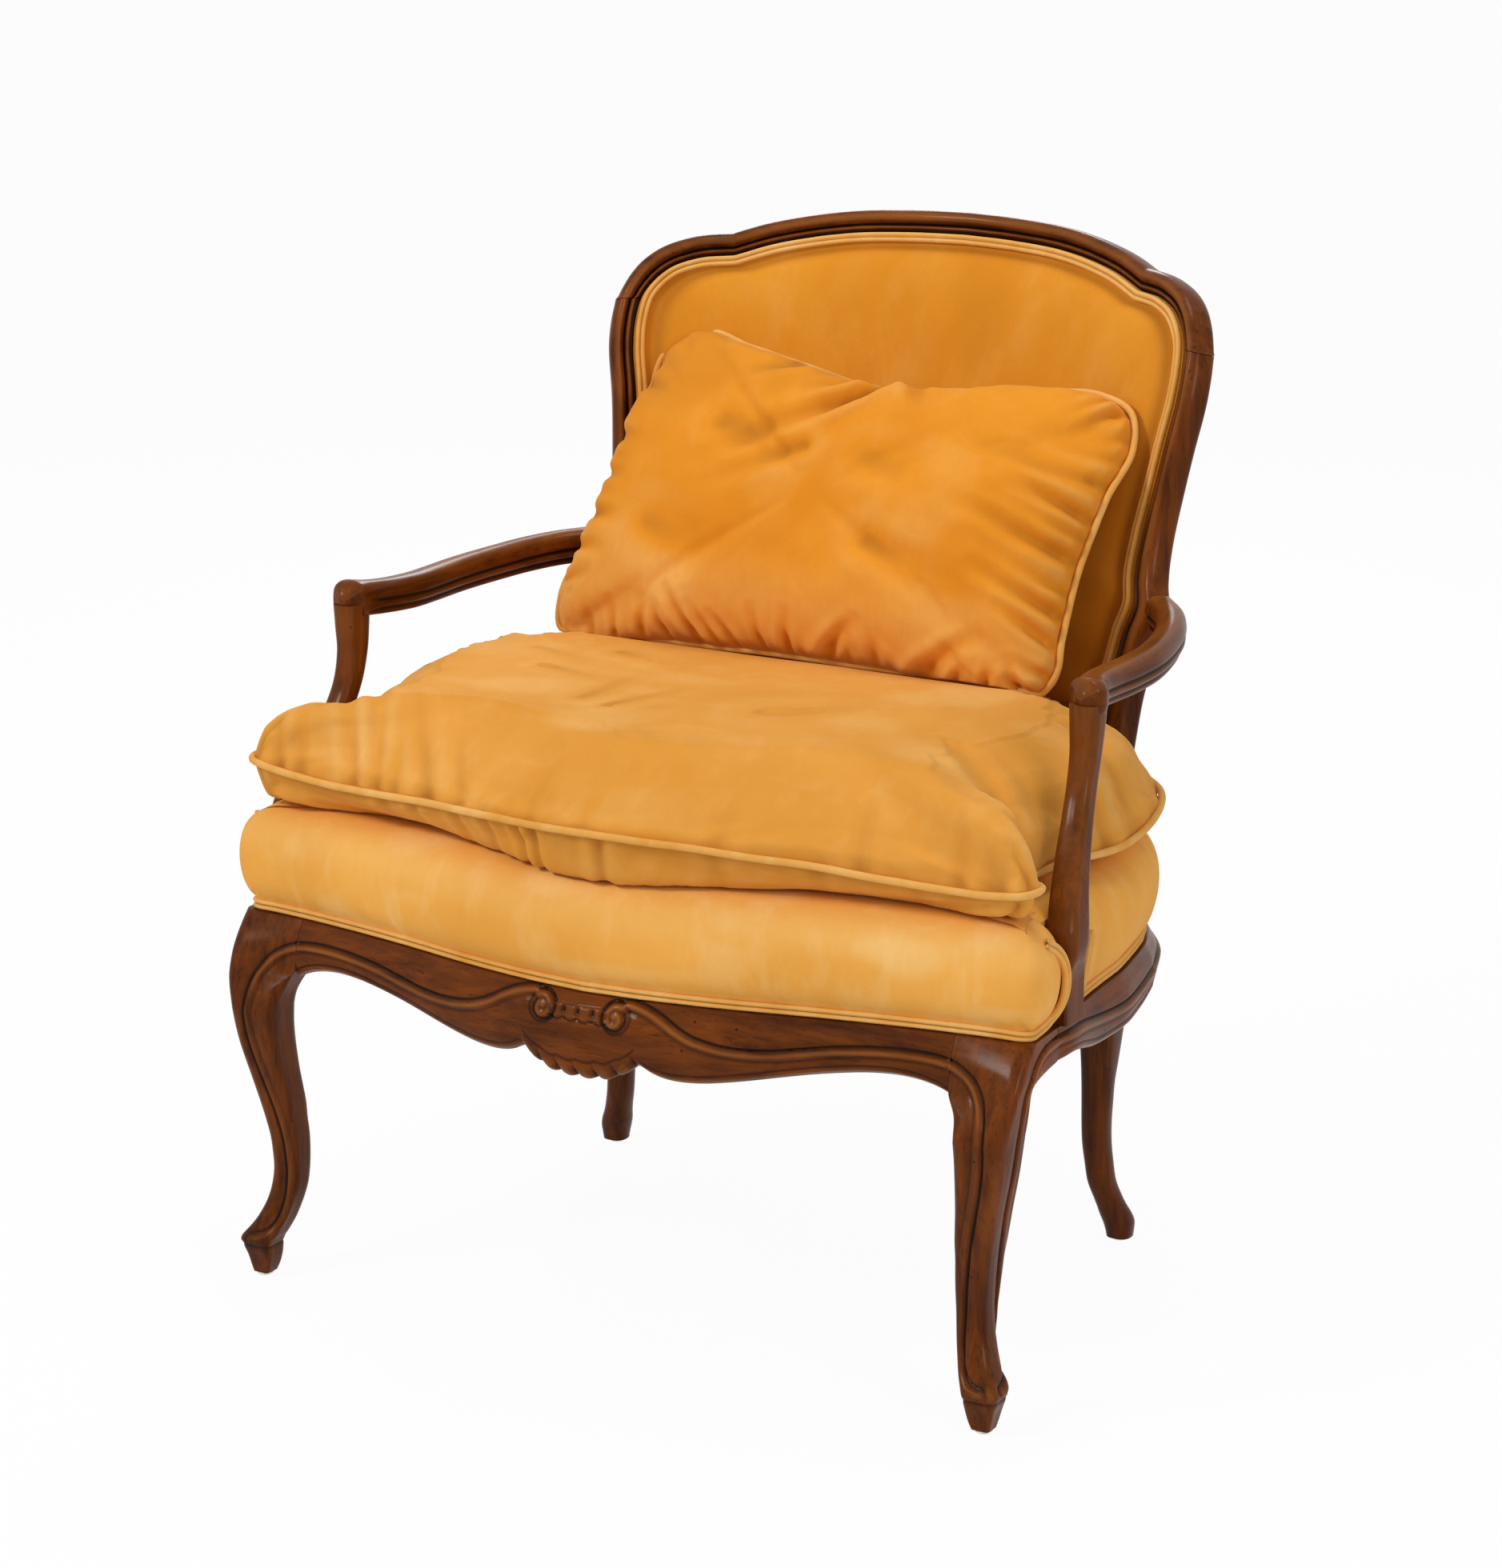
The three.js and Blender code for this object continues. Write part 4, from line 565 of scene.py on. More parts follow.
velvetShader = {
    "Sheen Weight": 0.3, "Sheen Roughness": 0.35, "Sheen Tint": (1, 0.72, 0.32, 1),
    "Specular IOR Level": 0.08,
}
velvetBump = (0.35, 0.0007)
velvetFresh = {
    "Nap": (0.80, 0.305, 0.024, 1), "Shade": (0.70, 0.24, 0.014, 1), "Rubbed": (0.83, 0.43, 0.12, 1),
    "Wear": 0.22,
}
velvetOnSeat = {
    "Nap": (0.76, 0.34, 0.06, 1), "Shade": (0.68, 0.285, 0.04, 1), "Rubbed": (0.82, 0.49, 0.165, 1),
    "Wear": 0.42,
}
velvetOnPlatform = {
    "Nap": (0.9, 0.435, 0.085, 1), "Shade": (0.8, 0.36, 0.06, 1), "Rubbed": (0.92, 0.6, 0.235, 1),
    "Wear": 0.75, "Spots": 1.0,
}
# the back's velvet: the fresh velvet made darker, painted shade on the upright back
velvetOnBack = {**velvetFresh, "Nap": (0.7, 0.275, 0.021, 1), "Shade": (0.62, 0.215, 0.012, 1), "Wear": 0.25}
pipingTones = {"Nap": (0.8, 0.42, 0.11, 1), "Shade": (0.7, 0.31, 0.05, 1), "Rubbed": (0.85, 0.55, 0.21, 1)}
velvet = finishOf("velvet", pile, velvetFresh, velvetShader, velvetBump, True)
velvetSeat = finishOf("velvet rubbed", pile, velvetOnSeat, velvetShader, velvetBump, True)
velvetWorn = finishOf("velvet worn", pile, velvetOnPlatform, velvetShader, velvetBump, True)
velvetBack = finishOf("velvet back", pile, velvetOnBack, velvetShader, velvetBump, True)
piping = finishOf("piping", pile, pipingTones, velvetShader, (0.4, 0.0007), True)

beechTones = {"Stretch": (60, 60, 9), "Light": (0.5, 0.3, 0.14, 1), "Dark": (0.3, 0.16, 0.07, 1)}
tapeTones = {"Threads": 420, "Light": (0.62, 0.5, 0.3, 1), "Dark": (0.34, 0.25, 0.13, 1)}
blackTones = {"Threads": 700, "Light": (0.03, 0.028, 0.026, 1), "Dark": (0.008, 0.008, 0.008, 1)}
springTones = {"Light": (0.42, 0.4, 0.37, 1), "Dark": (0.2, 0.18, 0.16, 1)}
screwTones = {"Light": (0.62, 0.6, 0.56, 1), "Dark": (0.34, 0.32, 0.3, 1)}
nickelTones = {"Light": (0.8, 0.78, 0.72, 1), "Dark": (0.5, 0.48, 0.43, 1)}
metal = {"Metallic": 1.0}
beech = finishOf("beech", grain, beechTones, {"Specular IOR Level": 0.25}, (0.2, 0.001))
tape = finishOf("webbing", weave, tapeTones, {"Roughness": 0.9}, (0.5, 0.001))
blackCloth = finishOf("black cloth", weave, blackTones, {"Roughness": 0.95}, (0.4, 0.0006))
springSteel = finishOf("spring steel", rubbed, springTones, metal, (0.2, 0.0004))
screwSteel = finishOf("screw steel", rubbed, screwTones, metal, (0.2, 0.0004))
nickel = finishOf("nickel", rubbed, nickelTones, metal, (0.15, 0.0004))
print("finishes ready")


# Carved lines on the seat frame
# The bead runs from each scroll along the apron and down the leg. Rows are x or -y, then z.
apron = {"half": 334.7, "swell": 12, "topZ": railTop, "columns": 1.6, "rows": 52}
bead = {
    "wide": 3.1, "high": 2.0, "grooveSet": 4.9, "grooveDeep": 1.7, "grooveWide": 1.5, "lowerDeep": 0.7,
    "lowerWide": 1.5,
}
scroll = {"x": 37, "z": 329.5, "size": 10.2, "steps": 34, "start": 62, "turn": 430, "end": 0.2}
beadRows = [
    (46, 340.4), (56, 339.5), (68, 336), (80, 330.5), (92, 324), (105, 318.2), (120, 314), (137, 311.4),
    (157, 310.6), (180, 312), (205, 316), (230, 320.4), (255, 323.4), (280, 325), (304, 325), (326, 323),
    (344, 318), (358, 309), (367, 297), (371.5, 284), (373.5, 268), (373.5, 250), (370, 226), (362, 193),
    (354, 160), (349.5, 130), (347.8, 98), (349.5, 70), (354, 54), (361, 45), (370, 40.5), (379, 38.5),
]
sideBeadRows = [
    (-130, 326), (-100, 325), (-60, 323), (-20, 319), (16, 317), (56, 315), (100, 315.5), (135, 319),
    (166, 323.5), (200, 329), (240, 331.5), (262, 331.5), (280, 329.5), (293, 323.5), (302, 313),
    (308, 299), (311, 283), (312, 262), (312, 232), (309.5, 200), (303, 165), (297, 133), (295.5, 98),
    (298, 70), (303, 54), (310, 45), (319, 40.5), (329, 38.5),
]
apronEdge = [
    (0, 273), (14, 273.5), (28, 275), (40, 279), (50, 285.5), (57, 289.5), (62, 288), (70, 284),
    (80, 281), (92, 279.5), (105, 279.5), (120, 280.8), (140, 284), (160, 287.8), (185, 293),
    (213, 298.6), (240, 303), (262, 305.6), (283, 306.4), (300, 305.2), (315, 302.2), (326, 298.4),
    (335, 294),
]
shell = {"half": 57, "lobes": 6, "high": 2.6, "tall": 17, "gapDeep": 1.7, "rimSet": 0.86}
band = {
    "low": 321.5, "wave": 2.4, "top": 335.5, "pitch": 14.5, "high": 2.1, "notchWide": 1.9,
    "notchDeep": 2.4, "edge": 1.6,
}
lip = {"set": 2.6, "high": 1.0, "lineSet": 6.6, "lineWide": 1.1, "lineDeep": 0.75}
lineStep = 0.8


def scrollLine():
    # the bead curls over the top, down the inner side, under and up to the middle
    curl = []
    for i in range(scroll["steps"], -1, -1):
        turn = i / scroll["steps"]
        angle = math.radians(scroll["start"] + scroll["turn"] * turn)
        radius = lerp(scroll["size"], scroll["size"] * scroll["end"], turn ** 0.85)
        curl.append(Vector((scroll["x"] + radius * math.cos(angle), scroll["z"] + radius * math.sin(angle))))
    return curl


frontLine = lineField(curveThrough(scrollLine() + [Vector(row) for row in beadRows], lineStep))
sideLine = lineField(curveThrough([Vector(row) for row in sideBeadRows], lineStep))


def beadProfile(s, strength=1.0):
    # outward height and mark at a distance from the bead's middle, positive on its upper or corner side; the
    # mark paints highlight on the bead and shade in the grooves beside it
    high = bead["high"] * math.exp(-(s / bead["wide"]) ** 4) * strength
    upper = bell(s - bead["grooveSet"], bead["grooveWide"])
    lower = bell(s + bead["grooveSet"], bead["lowerWide"])
    mark = 0.9 * bell(s - 0.4, 2.0) * strength - upper - 0.45 * lower
    return high - bead["grooveDeep"] * upper - bead["lowerDeep"] * lower * strength, mark


def lipProfile(over):
    # a rounded lip along a rail's lower edge with a fine line over it: height and mark, which paints
    # highlight on the lip and shade in the line
    edge = bell(over - lip["set"], lip["set"])
    line = bell(over - lip["lineSet"], lip["lineWide"])
    return lip["high"] * edge - lip["lineDeep"] * line, 0.5 * edge - 0.8 * line


def shellLobe(x):
    return math.pi * shell["lobes"] * (x + shell["half"]) / (2 * shell["half"])


def apronBottom(x):
    x = abs(x)
    z = smooth(apronEdge, x)
    if x < shell["half"]:
        z -= 2.2 * abs(math.sin(shellLobe(x))) - 0.6
    return z


# how much of its swell a rail's face has, by share of its height
faceShares = [
    (0, 0.45), (0.07, 0.78), (0.18, 0.96), (0.35, 1), (0.55, 0.93), (0.72, 0.66), (0.86, 0.3), (1, 0),
]


def apronCarve(x, z, bottom):
    ax = abs(x)
    high, mark = beadProfile(frontLine(ax, z))
    over = z - bottom
    # the shell's mark paints shade in the gaps and at the rim and highlight on the lobes
    if ax < shell["half"]:
        lobe = math.sin(shellLobe(x) + over * 0.05)
        rise = ease(1 - over / shell["tall"]) * (0.35 + 0.65 * abs(lobe))
        gap = bell(abs(lobe), 0.26) * ease(1 - over / shell["tall"])
        rim = over - shell["tall"] * shell["rimSet"]
        high += shell["high"] * rise - shell["gapDeep"] * gap
        mark += -0.95 * gap + 0.7 * bell(abs(lobe) - 1, 0.35) * rise - 0.7 * bell(rim, 1.4)
        high -= 0.9 * bell(rim, 1.5)
    else:
        fade = ease((ax - shell["half"]) / 8)
        lipHigh, lipMark = lipProfile(over)
        high += lipHigh * fade
        mark += lipMark * fade
    # a fluted band between the scrolls, notched three times, with a waved lower edge; its mark paints
    # highlight on the band and shade in the notches and along the lower edge
    if ax < scroll["x"] - 8:
        low = band["low"] + band["wave"] * abs(math.cos(math.pi * x / band["pitch"]))
        half = band["pitch"] / 2
        inside = ease((z - low) / band["edge"]) * ease((band["top"] - z) / band["edge"])
        notch = bell(((x + half) % band["pitch"]) - half, band["notchWide"])
        notch *= ease((z - low - 2) / 2) * ease((band["top"] - 1.5 - z) / 2)
        edge = bell(z - low + 1.0, 1.2)
        high += band["high"] * inside - band["notchDeep"] * notch - 0.9 * edge
        mark += 0.35 * inside - 1.3 * notch - 0.8 * edge
    # a flat eye in each scroll, with painted shade round it and painted highlight at its middle
    reach = math.hypot(ax - scroll["x"], z - scroll["z"])
    if reach < scroll["size"] + 5:
        high += 1.2 * ease((scroll["size"] + 2.5 - reach) / 3)
        mark -= 0.75 * bell(reach - scroll["size"] - 3.6, 1.5)
        mark += 0.6 * bell(reach, 2.2)
    return high, clamp(mark, -1, 1)


# the back of every carved rail: a rounded foot, a thin wall behind the carving and a rebate over it
railBack = {"wall": 9, "rebateZ": 318, "thick": 27}


def behindRail(foot, face, bottom, top):
    # outward reach and height of the points that follow the foot of the face
    wall, rebateZ, inner = face - railBack["wall"], railBack["rebateZ"], face - railBack["thick"]
    under = [(foot - 1.8, bottom - 1.2), (foot - 5, bottom - 1.3), (wall + 1, bottom - 0.8)]
    return under + [(wall, bottom + 0.4), (wall, rebateZ), (inner, rebateZ), (inner, top)]


def apronPiece():
    count = int(2 * apron["half"] / apron["columns"])
    rings, marks = [], []
    for i in range(count + 1):
        x = lerp(-apron["half"], apron["half"], i / count)
        bottom = apronBottom(x)
        ring, mark = [], []
        for j in range(apron["rows"] + 1):
            z = lerp(apron["topZ"], bottom, j / apron["rows"])
            share = (z - bottom) / (apron["topZ"] - bottom)
            high, tint = apronCarve(x, z, bottom)
            high *= ease(i / 2) * ease((count - i) / 2)
            ring.append(Vector((x, frontFace(x) - apron["swell"] * smooth(faceShares, share) - high, z)))
            mark.append(tint)
        behind = behindRail(-ring[-1].y, -frontFace(x), bottom, apron["topZ"])
        ring += [Vector((x, -reach, z)) for reach, z in behind]
        mark += [0.3, 0, 0, 0, 0, 0, 0]
        rings.append(ring)
        marks.append(mark)
    return loftPiece("front_seat_rail_carved", rings, marks)


dress(apronPiece(), walnut["level"], "frame", "walnut", "front_seat_rail")

# Side and rear rails
sideRail = {
    "start": -250.7, "end": 112.6, "swell": 6.5, "count": 190, "rows": 44, "legSide": 400.4, "blend": 42,
}
sideEdge = [
    (-251, 315.5), (-240, 315.2), (-222, 314), (-200, 310.5), (-180, 305.5), (-160, 301), (-135, 298),
    (-100, 296), (-60, 296), (-20, 298.6), (20, 303), (60, 305.6), (113, 306),
]
rearRail = {
    "half": 248.4, "count": 80, "bottom": 289, "arcSteps": 6, "arcDeep": 1.6, "arcHigh": 2.5, "inner": 8.5,
}


def sideRailPiece(side, name):
    rings, marks = [], []
    for i in range(sideRail["count"] + 1):
        y = lerp(sideRail["start"], sideRail["end"], i / sideRail["count"])
        bottom = smooth(sideEdge, y)
        lean = math.hypot(1, sideFace(y + 0.5) * 2 - sideFace(y - 0.5) * 2)
        face = sideFace(y)
        # the face starts level with the leg's side and swells from there
        away = ease((y - sideRail["start"]) / sideRail["blend"])
        ring, mark = [], []
        for j in range(sideRail["rows"] + 1):
            z = lerp(railTop, bottom, j / sideRail["rows"])
            share = (z - bottom) / (railTop - bottom)
            high, tint = beadProfile(sideLine(-y, z))
            lipHigh, lipMark = lipProfile(z - bottom)
            swell = lerp(sideRail["legSide"] - face, sideRail["swell"] * smooth(faceShares, share), away)
            ring.append(Vector((side * (face + (swell + high + away * lipHigh) * lean), y, z)))
            mark.append(clamp(tint + away * lipMark, -1, 1))
        for reach, z in behindRail(abs(ring[-1].x), face, bottom, railTop):
            ring.append(Vector((side * reach, y, z)))
            mark.append(0)
        rings.append(ring)
        marks.append(mark)
    return loftPiece(name, rings, marks)


def rearRailPiece():
    rings, marks = [], []
    steps, bottom = rearRail["arcSteps"], rearRail["bottom"]
    for i in range(rearRail["count"] + 1):
        x = lerp(-rearRail["half"], rearRail["half"], i / rearRail["count"])
        y = rearFace(x)
        section = [(y, railTop)]
        for k in range(steps + 1):
            turn = k * math.pi / (2 * steps)
            high = rearRail["arcHigh"]
            across = y - rearRail["arcDeep"] * (1 - math.cos(turn))
            section.append((across, bottom + high - high * math.sin(turn)))
        wall, rebateZ, inner = y - railBack["wall"], railBack["rebateZ"], y - railBack["thick"]
        section += [(y - rearRail["inner"], bottom), (wall, bottom + 1), (wall, rebateZ)]
        section += [(inner, rebateZ), (inner, railTop)]
        rings.append([Vector((x, across, z)) for across, z in section])
        marks.append([0] + [0.35] * (steps + 1) + [0] * 5)
    return loftPiece("rear_seat_rail_planed", rings, marks)


dressPair(sideRailPiece, "_seat_rail_carved", walnut["deep"], "_seat_rail")
dress(rearRailPiece(), walnut["level"], "frame", "walnut", "rear_seat_rail")
print("seat rails carved")


# Front legs


def roundRing(corners, radii, arcs, sides):
    # a ring through four rounded corners, with counts of points for each corner and each side after it
    ring, kinds = [], []
    ends = []
    for i in range(4):
        before, here, after = corners[i - 1], corners[i], corners[(i + 1) % 4]
        first = here + (before - here).normalized() * min(radii[i], (before - here).length / 2.1)
        second = here + (after - here).normalized() * min(radii[i], (after - here).length / 2.1)
        ends.append((first, here, second))
    for i in range(4):
        first, here, second = ends[i]
        for k in range(arcs[i] + 1):
            u = k / arcs[i]
            ring.append(first * (1 - u) ** 2 + here * (2 * u * (1 - u)) + second * u ** 2)
            kinds.append((i, u))
        following = ends[(i + 1) % 4][0]
        for k in range(1, sides[i]):
            ring.append(second.lerp(following, k / sides[i]))
            kinds.append((i + 4, k / sides[i]))
    return ring, kinds


def outwardWays(ring):
    ways = []
    middle = sum(ring, Vector((0, 0, 0))) / len(ring)
    for i, p in enumerate(ring):
        run = ring[(i + 1) % len(ring)] - ring[i - 1]
        way = Vector((run.y, -run.x, 0))
        if way.length < 1e-6:
            way = Vector((p.x - middle.x, p.y - middle.y, 0))
        way.normalize()
        ways.append(way if way.dot(p - middle) > 0 else -way)
    return ways


# calf and foot: height, how far the leg stands in from its foot, half width
legRows = [
    (0, 0, 7.6), (3.3, 0.1, 8.6), (10, 0.5, 10.6), (20, 0.4, 13), (29, -0.6, 15.2), (34, -0.9, 16.4),
    (38, -0.2, 17), (42, 2, 16.9), (50, 6.6, 15.7), (57, 9.9, 14.9), (72, 15.1, 13.9), (87, 18.4, 13.7),
    (103, 19.9, 13.6), (118, 19.9, 14.1), (134, 19.2, 14.7), (150, 17.4, 15.5), (166, 15.5, 16.8),
    (182, 13, 17.7), (198, 10.4, 18.6), (214, 8, 19.8), (230, 5.9, 21), (246, 4.5, 22.1),
    (262, 3.8, 23.4),
]
# knee: height and the place of each side
kneeRows = {
    "left": [(262, 347.8), (275, 346), (283, 343.2), (290, 339.8), (296, 336.8), (301, 335), (345, 335)],
    "right": [(262, 394.6), (272, 397), (282, 399.4), (293, 401.6), (310, 403.6), (325, 404), (345, 404)],
    "frontLeft": [
        (262, -350.6), (272, -346.8), (282, -340.6), (292, -333.4), (301, -327.6), (312, -325.6),
        (323, -324.9),
        (336, -319), (345, -313.8),
    ],
    "frontRight": [
        (262, -350.6), (277, -348), (293, -343.6), (308, -337), (323, -328), (336, -317.5), (345, -309),
    ],
    "back": [
        (262, -303.8), (280, -303.2), (292, -301.4), (300, -298.2), (306, -292.5), (310, -281), (313, -266),
        (315.4, -251), (345, -251),
    ],
    "backRight": [(262, 394.6), (282, 397), (300, 399), (316, 400.6), (345, 400.2)],
}
frontLeg = {
    "footX": 375, "footY": -331, "kneeZ": 262, "floorGap": 3.3, "calfStep": 1.9, "calfRings": 137,
    "kneeStep": 1.35,
    "kneeRings": 61, "arcs": (5, 14, 5, 5), "sides": (44, 40, 7, 12), "collarZ": 31.5, "toe": (33, 38, 46),
    "spreadX": 2.5, "spreadY": 7,
}


def legCorners(z):
    # the outer rear corner stands out a little along the calf
    spread = ease((z - 46) / 110) * ease((308 - z) / 44)
    spreadX, spreadY = frontLeg["spreadX"] * spread, frontLeg["spreadY"] * spread
    if z <= frontLeg["kneeZ"]:
        inset, half = smooth(column(legRows, 1), z), smooth(column(legRows, 2), z)
        x, y = frontLeg["footX"] - inset, frontLeg["footY"] + inset
        outer = (x + half + spreadX, y + half + spreadY)
        corners = [(x - half, y - half), (x + half, y - half), outer, (x - half, y + half)]
        soft = 0.62 * half if z > 44 else lerp(0.42, 0.62, ease((z - 8) / 30)) * half
        radii = [soft * 0.75, soft, soft * 0.75, soft * 0.9]
        return corners, radii
    left, right = smooth(kneeRows["left"], z), smooth(kneeRows["right"], z)
    back = smooth(kneeRows["back"], z)
    outer = (smooth(kneeRows["backRight"], z) + spreadX, back + spreadY)
    corners = [
        (left, smooth(kneeRows["frontLeft"], z)),
        (right, smooth(kneeRows["frontRight"], z)), outer, (left, back),
    ]
    t = ease((z - frontLeg["kneeZ"]) / 34)
    radii = [lerp(10.9, 0.6, ease((z - 280) / 20)), lerp(14.5, 12.5, t), lerp(10.9, 0.8, t), lerp(13, 0.8, t)]
    return corners, radii


def legRelief(p, z, kind, u):
    # height and mark of the beads and the raised middle between them, on the front and the outer side; the
    # mark paints highlight on the beads and shade in their grooves
    if kind in (0, 4) or (kind == 1 and u < 0.5):
        s = frontLine(p.x, z)
    elif kind in (1, 2, 5):
        s = sideLine(-p.y, z)
    else:
        return 0.0, 0.0
    calm = ease((z - 30) / 6)
    high, tint = beadProfile(s, lerp(0.35, 1.0, ease((z - 270) / 30)))
    high, tint = high * calm, tint * calm
    high += 0.9 * (ease((s - 6) / 9) * ease((330 - z) / 50) * calm)
    if kind == 1:
        # rubbed wear and painted highlight along the leg's front corner
        rubbedEdgeAndHighlight = 0.55 * math.sin(math.pi * u) * ease((300 - z) / 80)
        tint += rubbedEdgeAndHighlight * (0.55 + 0.45 * noise.noise(p * 0.03))
    return high, tint


def frontLegPiece(side, name):
    rings, marks = [], []
    heights = [frontLeg["floorGap"] + frontLeg["calfStep"] * i for i in range(frontLeg["calfRings"])]
    firstKnee = frontLeg["kneeZ"] + 1.6
    heights += [firstKnee + frontLeg["kneeStep"] * i for i in range(frontLeg["kneeRings"])]
    heights[-1] = railTop
    toeLow, toeMiddle, toeHigh = frontLeg["toe"]
    for z in heights:
        corners, radii = legCorners(z)
        flat = [Vector((x, y, z)) for x, y in corners]
        ring, kinds = roundRing(flat, radii, frontLeg["arcs"], frontLeg["sides"])
        collar = bell(z - frontLeg["collarZ"], 1.5)
        made, tints = [], []
        for p, way, (kind, u) in zip(ring, outwardWays(ring), kinds):
            high, tint = legRelief(p, z, kind, u)
            # the collar is a groove, darkened with painted shade
            high -= 0.9 * collar
            tint -= 0.85 * collar
            if toeLow < z < toeHigh:
                patchy = 0.6 + 0.8 * noise.noise(p * 0.11 + Vector((side * 7, 0, 0)))
                tint += 0.45 * bell(z - toeMiddle, 5) * patchy
            made.append(Vector((side * (p.x + way.x * high), p.y + way.y * high, z)))
            tints.append(clamp(tint, -1, 1))
        rings.append(made)
        marks.append(tints)
    return loftPiece(name, rings, marks)


dressPair(frontLegPiece, "_front_leg_carved", walnut["upright"], "_front_leg")
print("front legs carved")


# Back frame: posts, crest and lower rail
openingShares = [
    (0, 0), (0.3, 0), (0.58, 0), (0.72, 0.006), (0.81, 0.03), (0.845, 0.09), (0.878, 0.152), (0.9, 0.23),
    (0.93, 0.294), (0.914, 0.351), (0.921, 0.43), (0.947, 0.534), (0.971, 0.638), (0.995, 0.731),
    (1, 0.79), (0.985, 0.857), (0.923, 0.909), (0.854, 0.928), (0.745, 0.935), (0.63, 0.961),
    (0.544, 0.974), (0.4, 0.989), (0.2, 0.997), (0, 1),
]
notchRow = 18


def openingHalfLine(step):
    points = [Vector((x * openingHalf, openingBottom + z * openingHeight)) for x, z in openingShares]
    low = curveThrough(points[:notchRow + 1], step)
    high = curveThrough(points[notchRow:], step)
    return low + high[1:]


openingLine = openingHalfLine(3.0)

# the frame's moulding: place from the inner edge, how much it moves with a wider post,
# depth behind the face, and mark, which paints shade in the grooves and at the inner edge and highlight on
# the bead and the torus
moulding = [
    (0, 0, 8, -0.5), (0, 0, 3.8, -0.8), (1.0, 0, 2.9, -1), (2.2, 0, 2.5, -0.8), (3.1, 0, 1.2, 0),
    (4.4, 0, 0.5, 0.6), (5.7, 0, 1.0, 0.1), (6.5, 0, 2.4, -0.8), (7.3, 0.02, 3.3, -1),
    (8.1, 0.05, 2.4, -0.85), (9.1, 0.12, 0.7, -0.1), (10.8, 0.25, -0.9, 0.25), (13.2, 0.5, -2.0, 0.75),
    (16, 0.75, -2.0, 0.8), (18.6, 0.9, -0.8, 0.35), (20.8, 1, 1.6, 0.1), (22, 1, 5, 0),
    (22.3, 1, 10.5, 0), (21.8, 1, 16.5, 0), (20.4, 1, 21.5, 0.2), (17.4, 0.9, 24.6, 0.1),
    (12.5, 0.5, 25.4, 0), (6, 0.2, 25.4, 0), (1.5, 0, 25.1, 0), (0, 0, 23, 0), (0, 0, 15, 0),
]


def finerRing(rows):
    made = []
    count = len(rows)
    for i in range(count):
        p0, p1, p2, p3 = rows[i - 1], rows[i], rows[(i + 1) % count], rows[(i + 2) % count]
        made.append(p1)
        made.append(tuple((9 * (b + c) - a - d) / 16 for a, b, c, d in zip(p0, p1, p2, p3)))
    return made


mouldingFine = finerRing(moulding)
stileWidth, stileDepth = 22, 25.5
# the inner edge of the posts and their width, by share of the opening's height
stileEdge = [
    (-0.03, 0.86), (0.09, 0.866), (0.152, 0.878), (0.23, 0.9), (0.294, 0.93), (0.351, 0.914),
    (0.43, 0.921), (0.534, 0.947), (0.638, 0.971), (0.731, 0.995), (0.79, 1), (0.84, 0.9965),
]
stileWidths = [(0.1, 1.55), (0.22, 1.6), (0.294, 1.62), (0.4, 1.3), (0.53, 1.05), (0.7, 1), (1, 1)]
# rear legs: height, how far the leg stands in from its foot, half width
rearLegRows = [
    (3.3, 0, 12), (10, 0.2, 13), (18, 1, 14.3), (26, 3.3, 14.4), (34, 6, 13.5), (42, 8.6, 13),
    (60, 13.6, 12.9), (80, 16, 13), (100, 17.8, 13.3), (120, 18.3, 13.6), (140, 18.1, 14.2),
    (160, 17.8, 14.9), (180, 17, 16), (200, 16.4, 17), (240, 14.6, 18.2), (280, 12.4, 19), (345, 12, 19),
    (414, 12, 19),
]
rearFoot = (280, 144)
postStart, postJoin = 414.0, 486.0
backPost = {"floorGap": 3.3, "step": 2.4, "gap": 0.3}
lowerRail = {"half": 249, "count": 60, "gap": 0.3, "high": 40, "thick": 22}
crestSpread = 5  # path points on each side that share the frame's turn


def stileCorners(z):
    share = (z - openingBottom) / openingHeight
    inner = smooth(stileEdge, share) * openingHalf
    width = smooth(stileWidths, share) * stileWidth / math.hypot(1, inner / backRadius)
    return inner, width


def squareProfile(w, d, width, soft):
    # the same points as the moulding, laid round a square section
    x, y = (w / width) * 2 - 1, (d / stileDepth) * 2 - 1
    power = lerp(2.6, 7, soft)
    size = (abs(x) ** power + abs(y) ** power) ** (1 / power)
    return x / max(size, 1e-6), y / max(size, 1e-6)


def backPostPiece(side, name):
    rings, marks = [], []
    floor, step, top = backPost["floorGap"], backPost["step"], crestJoint - backPost["gap"]
    heights = [floor + step * i for i in range(int((top - floor) / step) + 1)]
    heights[-1] = top
    for z in heights:
        legZ = min(z, postStart)
        inset, half = smooth(column(rearLegRows, 1), legZ), smooth(column(rearLegRows, 2), legZ)
        centreX, centreY = rearFoot[0] - inset, rearFoot[1] - inset
        t = ease((z - postStart) / (postJoin - postStart))
        inner, width = stileCorners(max(z, openingBottom - 0.03 * openingHeight))
        stretch = width - stileWidth
        ring, tints = [], []
        for w, b, d, tint in mouldingFine:
            stile = onBack(inner + w + b * stretch, z, d)
            x, y = squareProfile(w, d, stileWidth, ease((z - 150) / 120))
            leg = Vector((centreX + x * half, centreY + y * half, z))
            point = leg.lerp(stile, t)
            ring.append(Vector((side * point.x, point.y, point.z)))
            worn = 0.35 if abs(x) > 0.8 and abs(y) > 0.8 else 0.0
            tints.append(lerp(worn, tint, t))
        rings.append(ring)
        marks.append(tints)
    return loftPiece(name, rings, marks)


